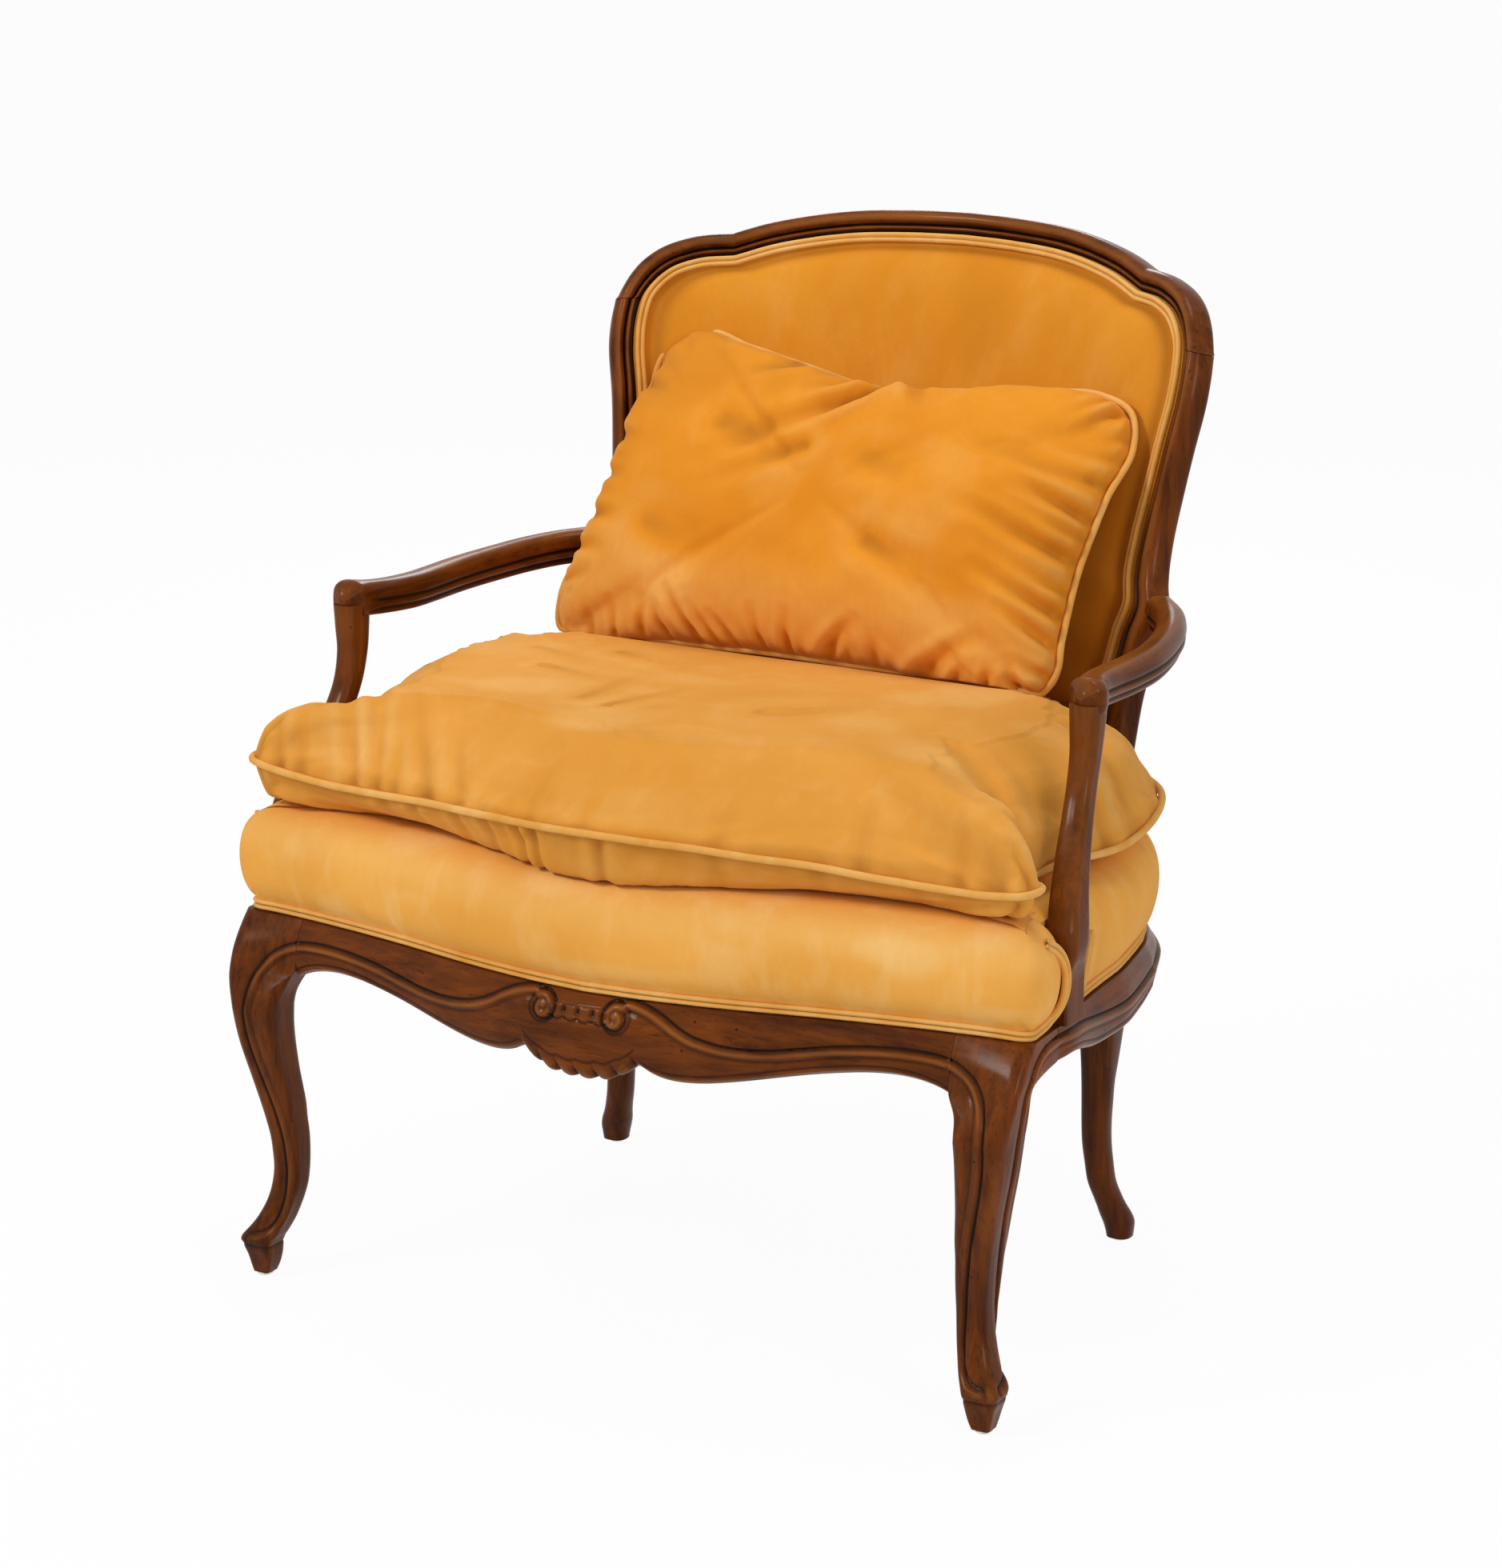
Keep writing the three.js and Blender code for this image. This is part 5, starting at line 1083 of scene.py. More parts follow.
def crestPiece():
    upper = [p for p in openingLine if p.y > crestJoint + 1.5]
    right = [Vector((0.9965 * openingHalf, crestJoint + 0.3))] + upper
    path = right + [Vector((-p.x, p.y)) for p in right[:-1]][::-1]
    last = len(path) - 1
    rings, marks = [], []
    for i, point in enumerate(path):
        reach = min(crestSpread, i, last - i)
        if reach == 0:
            way = Vector((0, 1)) if i == 0 else Vector((0, -1))
        else:
            way = (path[i + reach] - path[i - reach]).normalized()
            start = Vector((0, 1)) if i < last / 2 else Vector((0, -1))
            way = start.lerp(way, ease(min(i, last - i) / 9)).normalized()
        bend = point.x / backRadius
        ring, tints = [], []
        for w, b, d, tint in mouldingFine:
            x = point.x + way.y * w / math.hypot(1, bend * way.y)
            ring.append(onBack(x, point.y - way.x * w * math.cos(rake), d))
            tints.append(tint)
        rings.append(ring)
        marks.append(tints)
    return loftPiece("crest_rail_moulded", rings, marks)


def lowerRailPiece():
    rings = []
    top = openingBottom - lowerRail["gap"]
    bottom = openingBottom - lowerRail["gap"] - lowerRail["high"]
    thick = lowerRail["thick"]
    # height and depth of the section's eased corners
    corners = [(bottom + 2, 0.3), (bottom, 2.5), (bottom, thick - 2.5), (bottom + 2.5, thick)]
    corners += [(top - 2.5, thick), (top, thick - 2.5), (top, 3), (top - 2, 0.3)]
    for i in range(lowerRail["count"] + 1):
        x = lerp(-lowerRail["half"], lowerRail["half"], i / lowerRail["count"])
        rings.append([onBack(x, z, depth) for z, depth in corners])
    return loftPiece("lower_back_rail_planed", rings, [[0.2, 0.3, 0.1, 0, 0, 0, 0.1, 0.3]] * len(rings))


dressPair(backPostPiece, "_back_post_carved", walnut["upright"], "_back_post")
dress(crestPiece(), walnut["level"], "frame", "walnut", "crest_rail")
dress(lowerRailPiece(), walnut["level"], "frame", "walnut", "lower_back_rail")
print("back frame carved")

# Arms and arm posts
arms = {"width": 28, "thick": 33, "step": 2.5}
# by place along the arm: share of the seat's half width, share of the side's depth, width, thickness
armRows = [
    (0.9345, 0.334, 0.7, 0.62), (0.936, 0.3385, 1.0, 0.9), (0.938, 0.352, 1.22, 1.08),
    (0.934, 0.37, 1.16, 1.05), (0.926, 0.39, 1.02, 1.0), (0.912, 0.43, 0.97, 0.98), (0.901, 0.52, 1, 1),
    (0.902, 0.62, 1.02, 1), (0.9, 0.72, 1.02, 1), (0.882, 0.83, 1, 1), (0.853, 0.93, 1, 1),
    (0.808, 1.02, 1, 1), (0.752, 1.085, 1, 1),
]
armHeights = [(0.33, 611), (0.43, 608), (0.56, 605), (0.7, 605), (0.85, 607), (0.95, 609.5), (1.09, 613)]
# the arm's section, across and up: a rounded top, a groove on each flank and a narrower underside
armSection = [
    (-1, 0.15), (-0.97, 0.42), (-0.86, 0.7), (-0.62, 0.9), (-0.3, 0.99), (0, 1.0), (0.3, 0.99),
    (0.62, 0.9), (0.86, 0.7), (0.97, 0.42), (1, 0.15), (0.93, 0.02), (0.86, -0.06), (0.9, -0.16),
    (0.96, -0.3), (0.9, -0.44), (0.76, -0.52), (0.72, -0.62), (0.7, -0.78), (0.6, -0.93), (0.3, -1),
    (0, -1), (-0.3, -1), (-0.6, -0.93), (-0.7, -0.78), (-0.72, -0.62), (-0.76, -0.52), (-0.9, -0.44),
    (-0.96, -0.3), (-0.9, -0.16), (-0.86, -0.06), (-0.93, 0.02),
]
# marks round the section: painted highlight on the rounded top, painted shade in the flank grooves
armMarks = [
    0, 0.1, 0.3, 0.55, 0.6, 0.5, 0.6, 0.55, 0.3, 0.1, 0, -0.7, -1, -0.6, 0.3, 0.1, -0.5, -0.9, -0.2, 0.1,
    0, 0, 0, 0.1, -0.2, -0.9, -0.5, 0.1, 0.3, -0.6, -1, -0.7,
]


def armPiece(side, name):
    line = [Vector((row[0] * seatHalf, sideFrontY + row[1] * sideDepth)) for row in armRows]
    path = curveThrough(line, arms["step"])
    section = finerRing([(x, z, mark) for (x, z), mark in zip(armSection, armMarks)])
    rings, marks = [], []
    start = path[0]
    for i, point in enumerate(path):
        way = (path[min(i + 1, len(path) - 1)] - path[max(i - 1, 0)]).normalized()
        share = (point.y - sideFrontY) / sideDepth
        width = smooth([(row[1], row[2]) for row in armRows], share) * arms["width"] / 2
        thick = smooth([(row[1], row[3]) for row in armRows], share) * arms["thick"] / 2
        centreZ = smooth(armHeights, share)
        plain = 1 - ease((point.y - start.y - 12) / 26)
        ring, tints = [], []
        for x, z, mark in section:
            power = (abs(x) ** 3 + abs(z) ** 3) ** (1 / 3)
            plainX, plainZ = x / power, z / power
            x, z = lerp(x, plainX, plain), lerp(z, plainZ, plain)
            across, along = way.y * x * width, way.x * x * width
            ring.append(Vector((side * (point.x + across), point.y - along, centreZ + z * thick)))
            # the plain knuckle's top gets painted highlight
            tints.append(lerp(mark, 0.45 if z > 0.5 else 0, plain))
        rings.append(ring)
        marks.append(tints)
    nose = rings[0]
    middle = sum(nose, Vector((0, 0, 0))) / len(nose)
    # the knuckle's end is rounded off in three smaller rings
    for shrink, forward in ((0.82, 2.2), (0.5, 4.2), (0.2, 5.0)):
        rings.insert(0, [middle.lerp(p, shrink) + Vector((0, -forward, 0)) for p in nose])
        marks.insert(0, marks[0])
    return loftPiece(name, rings, marks)


armPost = {
    "width": 36, "thick": 26, "base": 345.3, "top": 606, "count": 124, "arcs": (7, 7, 7, 7),
    "sides": (12, 14, 12, 14),
}
# by share of the post's height: place across and along the seat, width and thickness
armPostRows = [
    (0, 0.985, 0.188, 1, 0.62), (0.14, 0.985, 0.188, 1, 0.62), (0.19, 0.986, 0.183, 0.92, 0.8),
    (0.225, 0.988, 0.178, 0.98, 1.02), (0.27, 0.989, 0.178, 1.06, 1.14), (0.33, 0.987, 0.182, 1.08, 1.12),
    (0.42, 0.975, 0.21, 1.0, 1.04), (0.53, 0.957, 0.26, 0.88, 0.98), (0.64, 0.943, 0.307, 0.76, 0.93),
    (0.73, 0.937, 0.335, 0.72, 0.92), (0.83, 0.936, 0.352, 0.74, 0.98), (0.91, 0.937, 0.355, 0.82, 1.06),
    (1, 0.938, 0.356, 0.9, 1.12),
]


def armPostPiece(side, name):
    rings, marks = [], []
    for i in range(armPost["count"] + 1):
        share = i / armPost["count"]
        z = lerp(armPost["base"], armPost["top"], share)
        x = smooth(column(armPostRows, 1), share) * seatHalf
        y = sideFrontY + smooth(column(armPostRows, 2), share) * sideDepth
        halfX = smooth(column(armPostRows, 4), share) * armPost["thick"] / 2
        halfY = smooth(column(armPostRows, 3), share) * armPost["width"] / 2
        turns = ((-1, -1), (1, -1), (1, 1), (-1, 1))
        corners = [Vector((x + across * halfX, y + along * halfY, z)) for across, along in turns]
        soft = min(halfX, halfY) * lerp(0.35, 0.85, ease((share - 0.17) / 0.06))
        ring, kinds = roundRing(corners, [soft] * 4, armPost["arcs"], armPost["sides"])
        shaft = ease((share - 0.25) / 0.08) * ease((0.93 - share) / 0.06)
        made, tints = [], []
        for p, way, (kind, u) in zip(ring, outwardWays(ring), kinds):
            high, tint = 0.0, 0.0
            across = (p.y - y) / max(halfY, 1)
            # a line down each flank and one down the front, each with painted shade in it
            if kind in (5, 7):
                line = bell((across - lerp(0.5, 0.3, share)) * halfY, 1.3)
                high -= 1.2 * line * shaft
                tint -= 0.95 * line * shaft
            if kind == 4:
                line = bell((p.x - x) - 0.52 * halfX, 1.2)
                high -= 1.1 * line * shaft
                tint -= 0.9 * line * shaft
            # painted highlight down the post's front
            if kind in (0, 1, 4):
                tint += 0.4 * ease((share - 0.2) / 0.1)
            made.append(Vector((side * (p.x + way.x * high), p.y + way.y * high, z)))
            tints.append(clamp(tint, -1, 1))
        rings.append(made)
        marks.append(tints)
    return loftPiece(name, rings, marks)


for side, hand in ((1, "left"), (-1, "right")):
    dress(armPiece(side, hand + "_arm_carved"), walnut["deep"], "frame", "walnut", hand + "_arm")
    post = armPostPiece(side, hand + "_arm_post_carved")
    dress(post, walnut["upright"], "frame", "walnut", hand + "_arm_post")
print("arms carved")


# Seat platform: cover, stuffing and spring cloth as one sprung dome
platform = {
    "base": 345.3, "top": 446, "step": 3.2, "sideX": 330, "notch": (-257.5, -206.5), "notchX": 382.4,
    "postX": 247, "rings": 40, "inward": 0.86,
}
# how far the cover stands out from the rails' faces, by share of its height
platformRows = [
    (0, -9), (0.045, -8.6), (0.1, -5.2), (0.17, 0.2), (0.26, 4.4), (0.36, 6.9), (0.46, 8.0), (0.56, 7.9),
    (0.65, 6.6), (0.73, 4.2), (0.8, 0.6), (0.86, -4.4), (0.905, -10.5), (0.94, -18), (0.965, -27),
    (0.982, -38), (0.993, -52),
]
# the hollow underneath: share of the height and size against the foot
hollowRows = [
    (0, 0.9), (0.02, 0.885), (0.3, 0.87), (0.52, 0.85), (0.585, 0.8), (0.6, 0.72), (0.605, 0.4),
    (0.605, 0.1),
]
seatMiddle = Vector((0, -72.5))


def seatPlanLine():
    half = [Vector((x, frontFace(x))) for x in range(0, 386, 7)]
    half += [Vector(p) for p in ((389, -309.0), (395, -307.2), (399.8, -304.4), (402.8, -300), (404, -294))]
    half += [Vector((sideFace(y), y)) for y in range(-288, 108, 7)]
    postX = platform["postX"]
    half += [Vector(p) for p in ((302, 110.5), (postX + 3, 111), (postX, 114), (postX, 158))]
    half += [Vector((x, rearFace(x))) for x in range(240, 0, -10)]
    line = half + [Vector((0, rearFace(0)))] + [Vector((-p.x, p.y)) for p in half[1:]][::-1]
    return resample(line + [line[0].copy()], platform["step"])[:-1]


seatLine = seatPlanLine()


def planWays(line):
    ways = []
    for i in range(len(line)):
        run = line[(i + 3) % len(line)] - line[i - 3]
        ways.append(Vector((run.y, -run.x)).normalized())
    return ways


seatWays = planWays(seatLine)


def platformOut(share):
    lastShare, lastOut = platformRows[-1]
    return smooth(platformRows, share) if share < lastShare else lastOut


def notchShare(p):
    low, high = platform["notch"]
    return ease((p.y - low) / 5) * ease((high - p.y) / 5) if abs(p.x) > platform["sideX"] else 0.0


def platformRing(out, z):
    # the cover is pulled in on both sides of the notch round each arm post
    ring = []
    low, high = platform["notch"]
    for p, way in zip(seatLine, seatWays):
        push = out
        if abs(p.x) > platform["sideX"]:
            near = min(abs(p.y - low), abs(p.y - high))
            push -= 3.5 * bell(near, 8)
        if abs(p.x) < platform["sideX"] and p.y > 100:
            push = min(push, -8)
        x, y = p.x + way.x * push, p.y + way.y * push
        notched = math.copysign(min(abs(x), platform["notchX"] - max(0, -out - 9)), x)
        ring.append(Vector((lerp(x, notched, notchShare(p)), y, z)))
    return ring


# folds at each front corner: two points, then width and depth
platformFolds = [
    ((372, -322, 372), (385, -316, 352), 3.0, 1.6), ((360, -326, 378), (378, -320, 355), 3.0, 1.3),
    ((390, -309, 368), (398, -300, 352), 2.8, 1.4),
]


def pressCornerFolds(p, tint):
    # moves a point into the folds near it and returns its mark, darkened in the folds as painted shade
    for start, end, wide, deep in platformFolds:
        a, b = Vector(start), Vector(end)
        q = Vector((abs(p.x), p.y, p.z))
        if (q - a).length > 60:
            continue
        t = clamp((q - a).dot(b - a) / (b - a).length_squared)
        dip = bell((q - a.lerp(b, t)).length, wide)
        p.y += deep * dip
        tint = clamp(tint - 0.5 * dip, -1, 1)
    return tint


def platformWear(p):
    front = ease((-p.y - 250) / 60)
    rub = ease(noise.noise(Vector((p.x * 0.012, p.y * 0.006, p.z * 0.03))) * 2.2 - 0.2)
    crown = bell(p.z - 425, 22)
    return clamp(0.5 * rub * front + 0.35 * crown * front, -1, 1)


def platformPiece():
    height = platform["top"] - platform["base"]
    shares = [k / platform["rings"] * platformRows[-1][0] for k in range(platform["rings"] + 1)]
    rings = [platformRing(platformOut(share), platform["base"] + share * height) for share in shares]
    edge = rings[-1]
    # toward the middle the rings lose the notches and follow the plain plan
    inward = platform["inward"]
    for scale in (0.93, 0.82, 0.68, 0.5, 0.3, 0.1):
        plain = ease((0.95 - scale) / 0.4)
        z = platform["top"] - 0.4 * scale
        ring = []
        for p, q in zip(edge, seatLine):
            x = lerp(p.x, q.x * inward, plain)
            y = lerp(p.y, lerp(seatMiddle.y, q.y, inward), plain)
            ring.append(Vector((lerp(seatMiddle.x, x, scale), lerp(seatMiddle.y, y, scale), z)))
        rings.append(ring)
    foot = rings[0]
    for share, scale in hollowRows:
        z = platform["base"] + share * height
        ring = [Vector((lerp(seatMiddle.x, p.x, scale), lerp(seatMiddle.y, p.y, scale), z)) for p in foot]
        rings.insert(0, ring)
    marks = [[platformWear(p) for p in ring] for ring in rings]
    marks = [[pressCornerFolds(p, tint) for p, tint in zip(ring, tints)] for ring, tints in zip(rings, marks)]
    return loftPiece("seat_platform", rings, marks)


dress(platformPiece(), velvetWorn, "frame", "velvet", "seat_cover", "seat_stuffing", "spring_hessian")

# Welts
# a double cord's section: across, outward and mark; the mark paints shade between the cords and highlight on
# their tops
doubleCord = [
    (-1, -0.9, 0), (-1.02, 0, 0), (-0.9, 0.6, 0.2), (-0.55, 0.95, 0.45), (-0.2, 0.62, 0.1),
    (0, 0.05, -0.9), (0.2, 0.62, 0.1), (0.55, 0.95, 0.45), (0.9, 0.6, 0.2), (1.02, 0, 0), (1, -0.9, 0),
]
welt = {"wide": 4.7, "deep": 3.1, "z": 350.0, "set": -5.6}


def sweep(name, route, outs, section, wide, deep, looped=False):
    rings, marks = [], []
    count = len(route)
    for i, point in enumerate(route):
        before = route[i - 1] if looped or i else route[0]
        after = route[(i + 1) % count] if looped or i + 1 < count else route[-1]
        way = (after - before).normalized()
        out = (outs[i] - way * outs[i].dot(way)).normalized()
        aside = way.cross(out)
        pucker = 1 + 0.035 * noise.noise(point * 0.06)
        ring = [point + aside * (w * wide * pucker) + out * (d * deep * pucker) for w, d, mark in section]
        rings.append(ring)
        marks.append([mark + 0.25 * noise.noise(point * 0.09) for w, d, mark in section])
    if not looped:
        # each end closes with a smaller ring
        for at, index in ((0, 0), (len(rings), -1)):
            ring = rings[index]
            middle = sum(ring, Vector((0, 0, 0))) / len(ring)
            tip = route[index] - route[1 if index == 0 else -2]
            rings.insert(at, [middle.lerp(p, 0.4) + tip.normalized() * 1.6 for p in ring])
            marks.insert(at, marks[index])
    return loftPiece(name, rings, marks, looped, sharp=0)


def roundSection(count=12):
    turns = [2 * math.pi * k / count for k in range(count)]
    # the mark paints the outward half lighter and the inward half darker, painted light and shade
    return [(math.cos(turn), math.sin(turn), 0.25 * math.sin(turn)) for turn in turns]


def onPlatformSide(y, z, proud):
    share = (z - platform["base"]) / (platform["top"] - platform["base"])
    return Vector((sideFace(y) + platformOut(share) + proud, y, z))


# how the welts rise round the arm posts: y and z
frontRise = [
    (-279, 350.2), (-268, 351.2), (-261, 354.5), (-258, 361), (-257.3, 372), (-257.6, 386), (-259.8, 399),
    (-265, 411), (-273, 421), (-284, 428.5),
]
sideRise = [
    (-187, 411), (-196, 405), (-203, 396), (-206.6, 384), (-206.4, 372), (-203, 361), (-196, 354),
    (-186, 350.6), (-176, 350),
]


def frontWeltPiece():
    line = []
    for p, way in zip(seatLine[:len(seatLine) // 3], seatWays):
        point = Vector((p.x + way.x * welt["set"], p.y + way.y * welt["set"], welt["z"]))
        if point.y < -284:
            line.append(point)
    line += [onPlatformSide(y, z, 2.4 if z > 356 else lerp(3.0, 2.4, (z - 350) / 6)) for y, z in frontRise]
    half = curveThrough(line, 4)
    route = [Vector((-p.x, p.y, p.z)) for p in half[1:]][::-1] + half
    outs = []
    for i, p in enumerate(route):
        run = route[min(i + 1, len(route) - 1)] - route[max(i - 1, 0)]
        rising = ease((abs(p.y + 262) < 40) * (abs(run.z) / max(run.length, 1e-6)) * 1.6)
        flat, aside = Vector((run.y, -run.x, 0)), Vector((math.copysign(1, p.x), 0, 0))
        outs.append(flat.normalized().lerp(aside, rising) if flat.length > 1e-6 else aside)
    return sweep("front_seat_welt_double", route, outs, doubleCord, welt["wide"], welt["deep"])


def sideWeltPiece(side, name):
    line = [onPlatformSide(y, z, 2.4 if z > 356 else 3.0) for y, z in sideRise]
    line += [Vector((sideFace(y) + welt["set"], y, welt["z"])) for y in range(-166, 106, 8)]
    route = [Vector((side * p.x, p.y, p.z)) for p in curveThrough(line, 4)]
    outs = [Vector((side, 0, 0))] * len(route)
    return sweep(name, route, outs, doubleCord, welt["wide"], welt["deep"])


def rearWeltPiece():
    route = [Vector((x, rearFace(x) + welt["set"], welt["z"])) for x in range(-236, 240, 6)]
    outs = [Vector((0, 1, 0))] * len(route)
    return sweep("rear_seat_welt_double", route, outs, doubleCord, welt["wide"], welt["deep"])


dress(frontWeltPiece(), piping, "frame", "piping", "front_seat_welt")
for side, hand in ((1, "left"), (-1, "right")):
    dress(sideWeltPiece(side, hand + "_seat_welt_double"), piping, "frame", "piping", hand + "_seat_welt")
dress(rearWeltPiece(), piping, "frame", "piping", "rear_seat_welt")
print("platform and seat welts made")

# Back panel, its double welt, and the outside back
panel = {
    "front": 2.0, "crown": 24, "back": 12, "inset": 0.5, "middleZ": lerp(openingBottom, openingTop, 0.47),
}
outside = {"inset": -3, "front": 26.4, "back": 27.7}
# share of the panel's full rise, by share of the way to its middle
panelRows = [
    (0, 0), (0.045, 0.0), (0.066, 0.05), (0.085, 0.2), (0.115, 0.38), (0.17, 0.56), (0.25, 0.72),
    (0.37, 0.85), (0.5, 0.93), (0.65, 0.98), (0.85, 1), (1, 1),
]
wholeOpening = openingLine + [Vector((-p.x, p.y)) for p in openingLine[1:-1]][::-1]
openingWays = []
for i in range(len(wholeOpening)):
    run = wholeOpening[(i + 2) % len(wholeOpening)] - wholeOpening[i - 2]
    openingWays.append(Vector((run.y, -run.x)).normalized())


def openingRing(inset, depth, share=0.0):
    ring = []
    for p, way in zip(wholeOpening, openingWays):
        x, z = p.x - way.x * inset, p.y - way.y * inset
        ring.append(onBack(lerp(x, 0, share), lerp(z, panel["middleZ"], share), depth))
    return ring


def backPanelPiece():
    rings, marks = [], []
    inset, plain = panel["inset"], [0] * len(wholeOpening)
    for share in [0.98, 0.8, 0.6, 0.4, 0.2, 0]:
        rings.append(openingRing(inset, panel["back"], share))
        marks.append(plain)
    shares = [0, 0.02, 0.045, 0.055, 0.066, 0.075, 0.085, 0.1, 0.12, 0.145, 0.17, 0.2]
    shares += [0.23 + 0.035 * k for k in range(22)] + [0.992]
    for share in shares:
        ring = openingRing(inset, panel["front"] - panel["crown"] * smooth(panelRows, share), share)
        # painted shade along the channel next to the welt
        paintedChannelShade = 0.75 * bell(share - 0.066, 0.02)
        tints = []
        for p in ring:
            p.y -= 1.4 * noise.noise(Vector((p.x * 0.011, p.z * 0.011, 3.1))) * ease((share - 0.1) / 0.2)
            streak = 0.35 * noise.noise(Vector((p.x * 0.02, p.z * 0.008, 7.7)))
            tints.append(clamp(streak - paintedChannelShade, -1, 1))
        rings.append(ring)
        marks.append(tints)
    return loftPiece("back_panel", rings, marks)


def outsideBackPiece():
    inset = outside["inset"]
    rings = [openingRing(inset, outside["front"], share) for share in (0.98, 0.75, 0.5, 0.25, 0)]
    shares = (0.004, 0.1, 0.25, 0.4, 0.6, 0.8, 0.985)
    rings += [openingRing(inset, outside["back"], share) for share in shares]
    return loftPiece("outside_back_cover", rings, [[0] * len(wholeOpening)] * len(rings))


def loopSweep(name, inset, depth, section, wide, deep):
    route = openingRing(inset, depth)
    outs = [onBack(p.x, p.y, -1) - onBack(p.x, p.y, 0) for p in wholeOpening]
    return sweep(name, route, outs, section, wide, deep, looped=True)


dress(backPanelPiece(), velvetBack, "frame", "velvet", "back_cover", "back_stuffing", "back_hessian")
backWelt = loopSweep("back_welt_double", 5.3, -0.9, doubleCord, 4.6, 2.9)
dress(backWelt, piping, "frame", "piping", "back_welt")
outsideBack = dress(outsideBackPiece(), velvetBack, "frame", "velvet", "outside_back")
outsideWelt = loopSweep("outside_back_welt_single", -5.6, 27.6, roundSection(), 2.1, 2.1)
dress(outsideWelt, piping, "frame", "piping", "outside_back_welt")
print("back upholstered")


# Loose soft pieces: shaped flat, puffed by cloth pressure, then folded
clothFrames = 20
clothSettings = {
    "quality": 6, "mass": 0.25, "tension_stiffness": 14, "compression_stiffness": 10, "shear_stiffness": 6,
    "bending_stiffness": 0.4, "use_pressure": True, "vertex_group_mass": "seam",
}


def voxelMesh(piece, size):
    remesh = piece.modifiers.new("voxels", "REMESH")
    remesh.mode = "VOXEL"
    remesh.voxel_size = size * mm
    bpy.context.view_layer.update()
    made = bpy.data.meshes.new_from_object(piece.evaluated_get(bpy.context.evaluated_depsgraph_get()))
    piece.modifiers.clear()
    piece.data = made
    return piece


def puffed(piece, pressure, cap, held):
    # pressure inside held at the seam; no point goes further than the cap
    rest = [v.co.copy() for v in piece.data.vertices]
    seam = piece.vertex_groups.new(name="seam")
    seam.add([i for i, p in enumerate(rest) if held(p / mm)], 1.0, "REPLACE")
    cloth = piece.modifiers.new("cloth", "CLOTH")
    for name, value in clothSettings.items():
        setattr(cloth.settings, name, value)
    cloth.settings.uniform_pressure_force = pressure
    cloth.settings.effector_weights.gravity = 0
    cloth.point_cache.frame_start = 1
    cloth.point_cache.frame_end = clothFrames
    for step in range(1, clothFrames + 1):
        scene.frame_set(step)
    puffy = piece.evaluated_get(bpy.context.evaluated_depsgraph_get()).data
    moved = [v.co.copy() for v in puffy.vertices]
    average = sum((b - a).length for a, b in zip(rest, moved)) / mm / len(rest)
    print(piece.name, "moved on average", round(average, 1), "mm")
    for vertex, start, end in zip(piece.data.vertices, rest, moved):
        way = end - start
        if way.length > cap * mm:
            way = way.normalized() * cap * mm
        vertex.co = start + way
    piece.modifiers.clear()
    piece.vertex_groups.clear()
    scene.frame_set(1)
    return piece


def subdivided(piece):
    smoother = piece.modifiers.new("finer", "SUBSURF")
    smoother.levels = 1
    smoother.render_levels = 1
    bpy.context.view_layer.update()
    made = bpy.data.meshes.new_from_object(piece.evaluated_get(bpy.context.evaluated_depsgraph_get()))
    piece.modifiers.clear()
    piece.data = made
    return piece


def segmentAway(p, a, b):
    t = clamp((p - a).dot(b - a) / max((b - a).length_squared, 1e-9))
    return (p - a.lerp(b, t)).length, t


def foldInto(u, v, folds):
    # depth and mark of every fold that crosses a place; a fold is deepest at its first end; the mark paints
    # shade in the fold and lightens its shoulders
    deep, mark = 0.0, 0.0
    here = Vector((u, v))
    for x0, y0, x1, y1, wide, depth in folds:
        a, b = Vector((x0, y0)), Vector((x1, y1))
        if (here - (a + b) / 2).length > (a - b).length / 2 + wide * 4:
            continue
        away, t = segmentAway(here, a, b)
        strength = 1 - 0.85 * t
        dip = bell(away, wide * (0.8 + 0.7 * t)) * strength
        shoulder = bell(away - wide * 2.1, wide * 1.1) * strength
        deep += depth * (dip - 0.42 * shoulder)
        mark += -0.55 * dip * min(depth / 3, 1.2) + 0.22 * shoulder * min(depth / 3, 1.2)
    return deep, mark


def sculpt(piece, shape):
    # shape(point, normal) gives the new place and a mark; both in the piece's own flat frame
    mesh = piece.data
    marks, places = [], []
    for vertex in mesh.vertices:
        point, mark = shape(vertex.co / mm, vertex.normal)
        places.append(point * mm)
        marks.append(clamp(mark, -1, 1))
    for vertex, point in zip(mesh.vertices, places):
        vertex.co = point
    mesh.attributes.new("painted_light_and_wear", "FLOAT", "POINT").data.foreach_set("value", marks)
    mesh.shade_smooth()
    return piece


# Seat cushion
cushion = {
    "ear": 395, "frontY": -372, "rearY": 190, "top": 546, "floor": 446.4, "welt": 3.4, "weltOut": 2.6,
    "voxel": 5.6, "pressure": 4, "cap": 9, "highest": 555, "underPillow": 545,
}
# half the plan: shares of the half width and of the depth
cushionPlanShares = [
    (0, 0), (0.13, 0.009), (0.26, 0.03), (0.38, 0.052), (0.5, 0.075), (0.62, 0.091), (0.74, 0.105),
    (0.85, 0.112), (0.94, 0.112), (0.985, 0.121), (1, 0.142), (0.995, 0.167), (0.96, 0.185),
    (0.915, 0.212), (0.898, 0.246), (0.895, 0.331), (0.905, 0.375), (0.93, 0.42), (0.953, 0.475),
    (0.963, 0.54), (0.96, 0.61), (0.942, 0.67), (0.908, 0.72), (0.86, 0.757), (0.795, 0.787),
    (0.73, 0.815), (0.6, 0.875), (0.4, 0.941), (0.2, 0.986), (0, 1),
]
cushionDepth = cushion["rearY"] - cushion["frontY"]
cushionMiddle = Vector((0, (cushion["rearY"] + cushion["frontY"]) / 2))
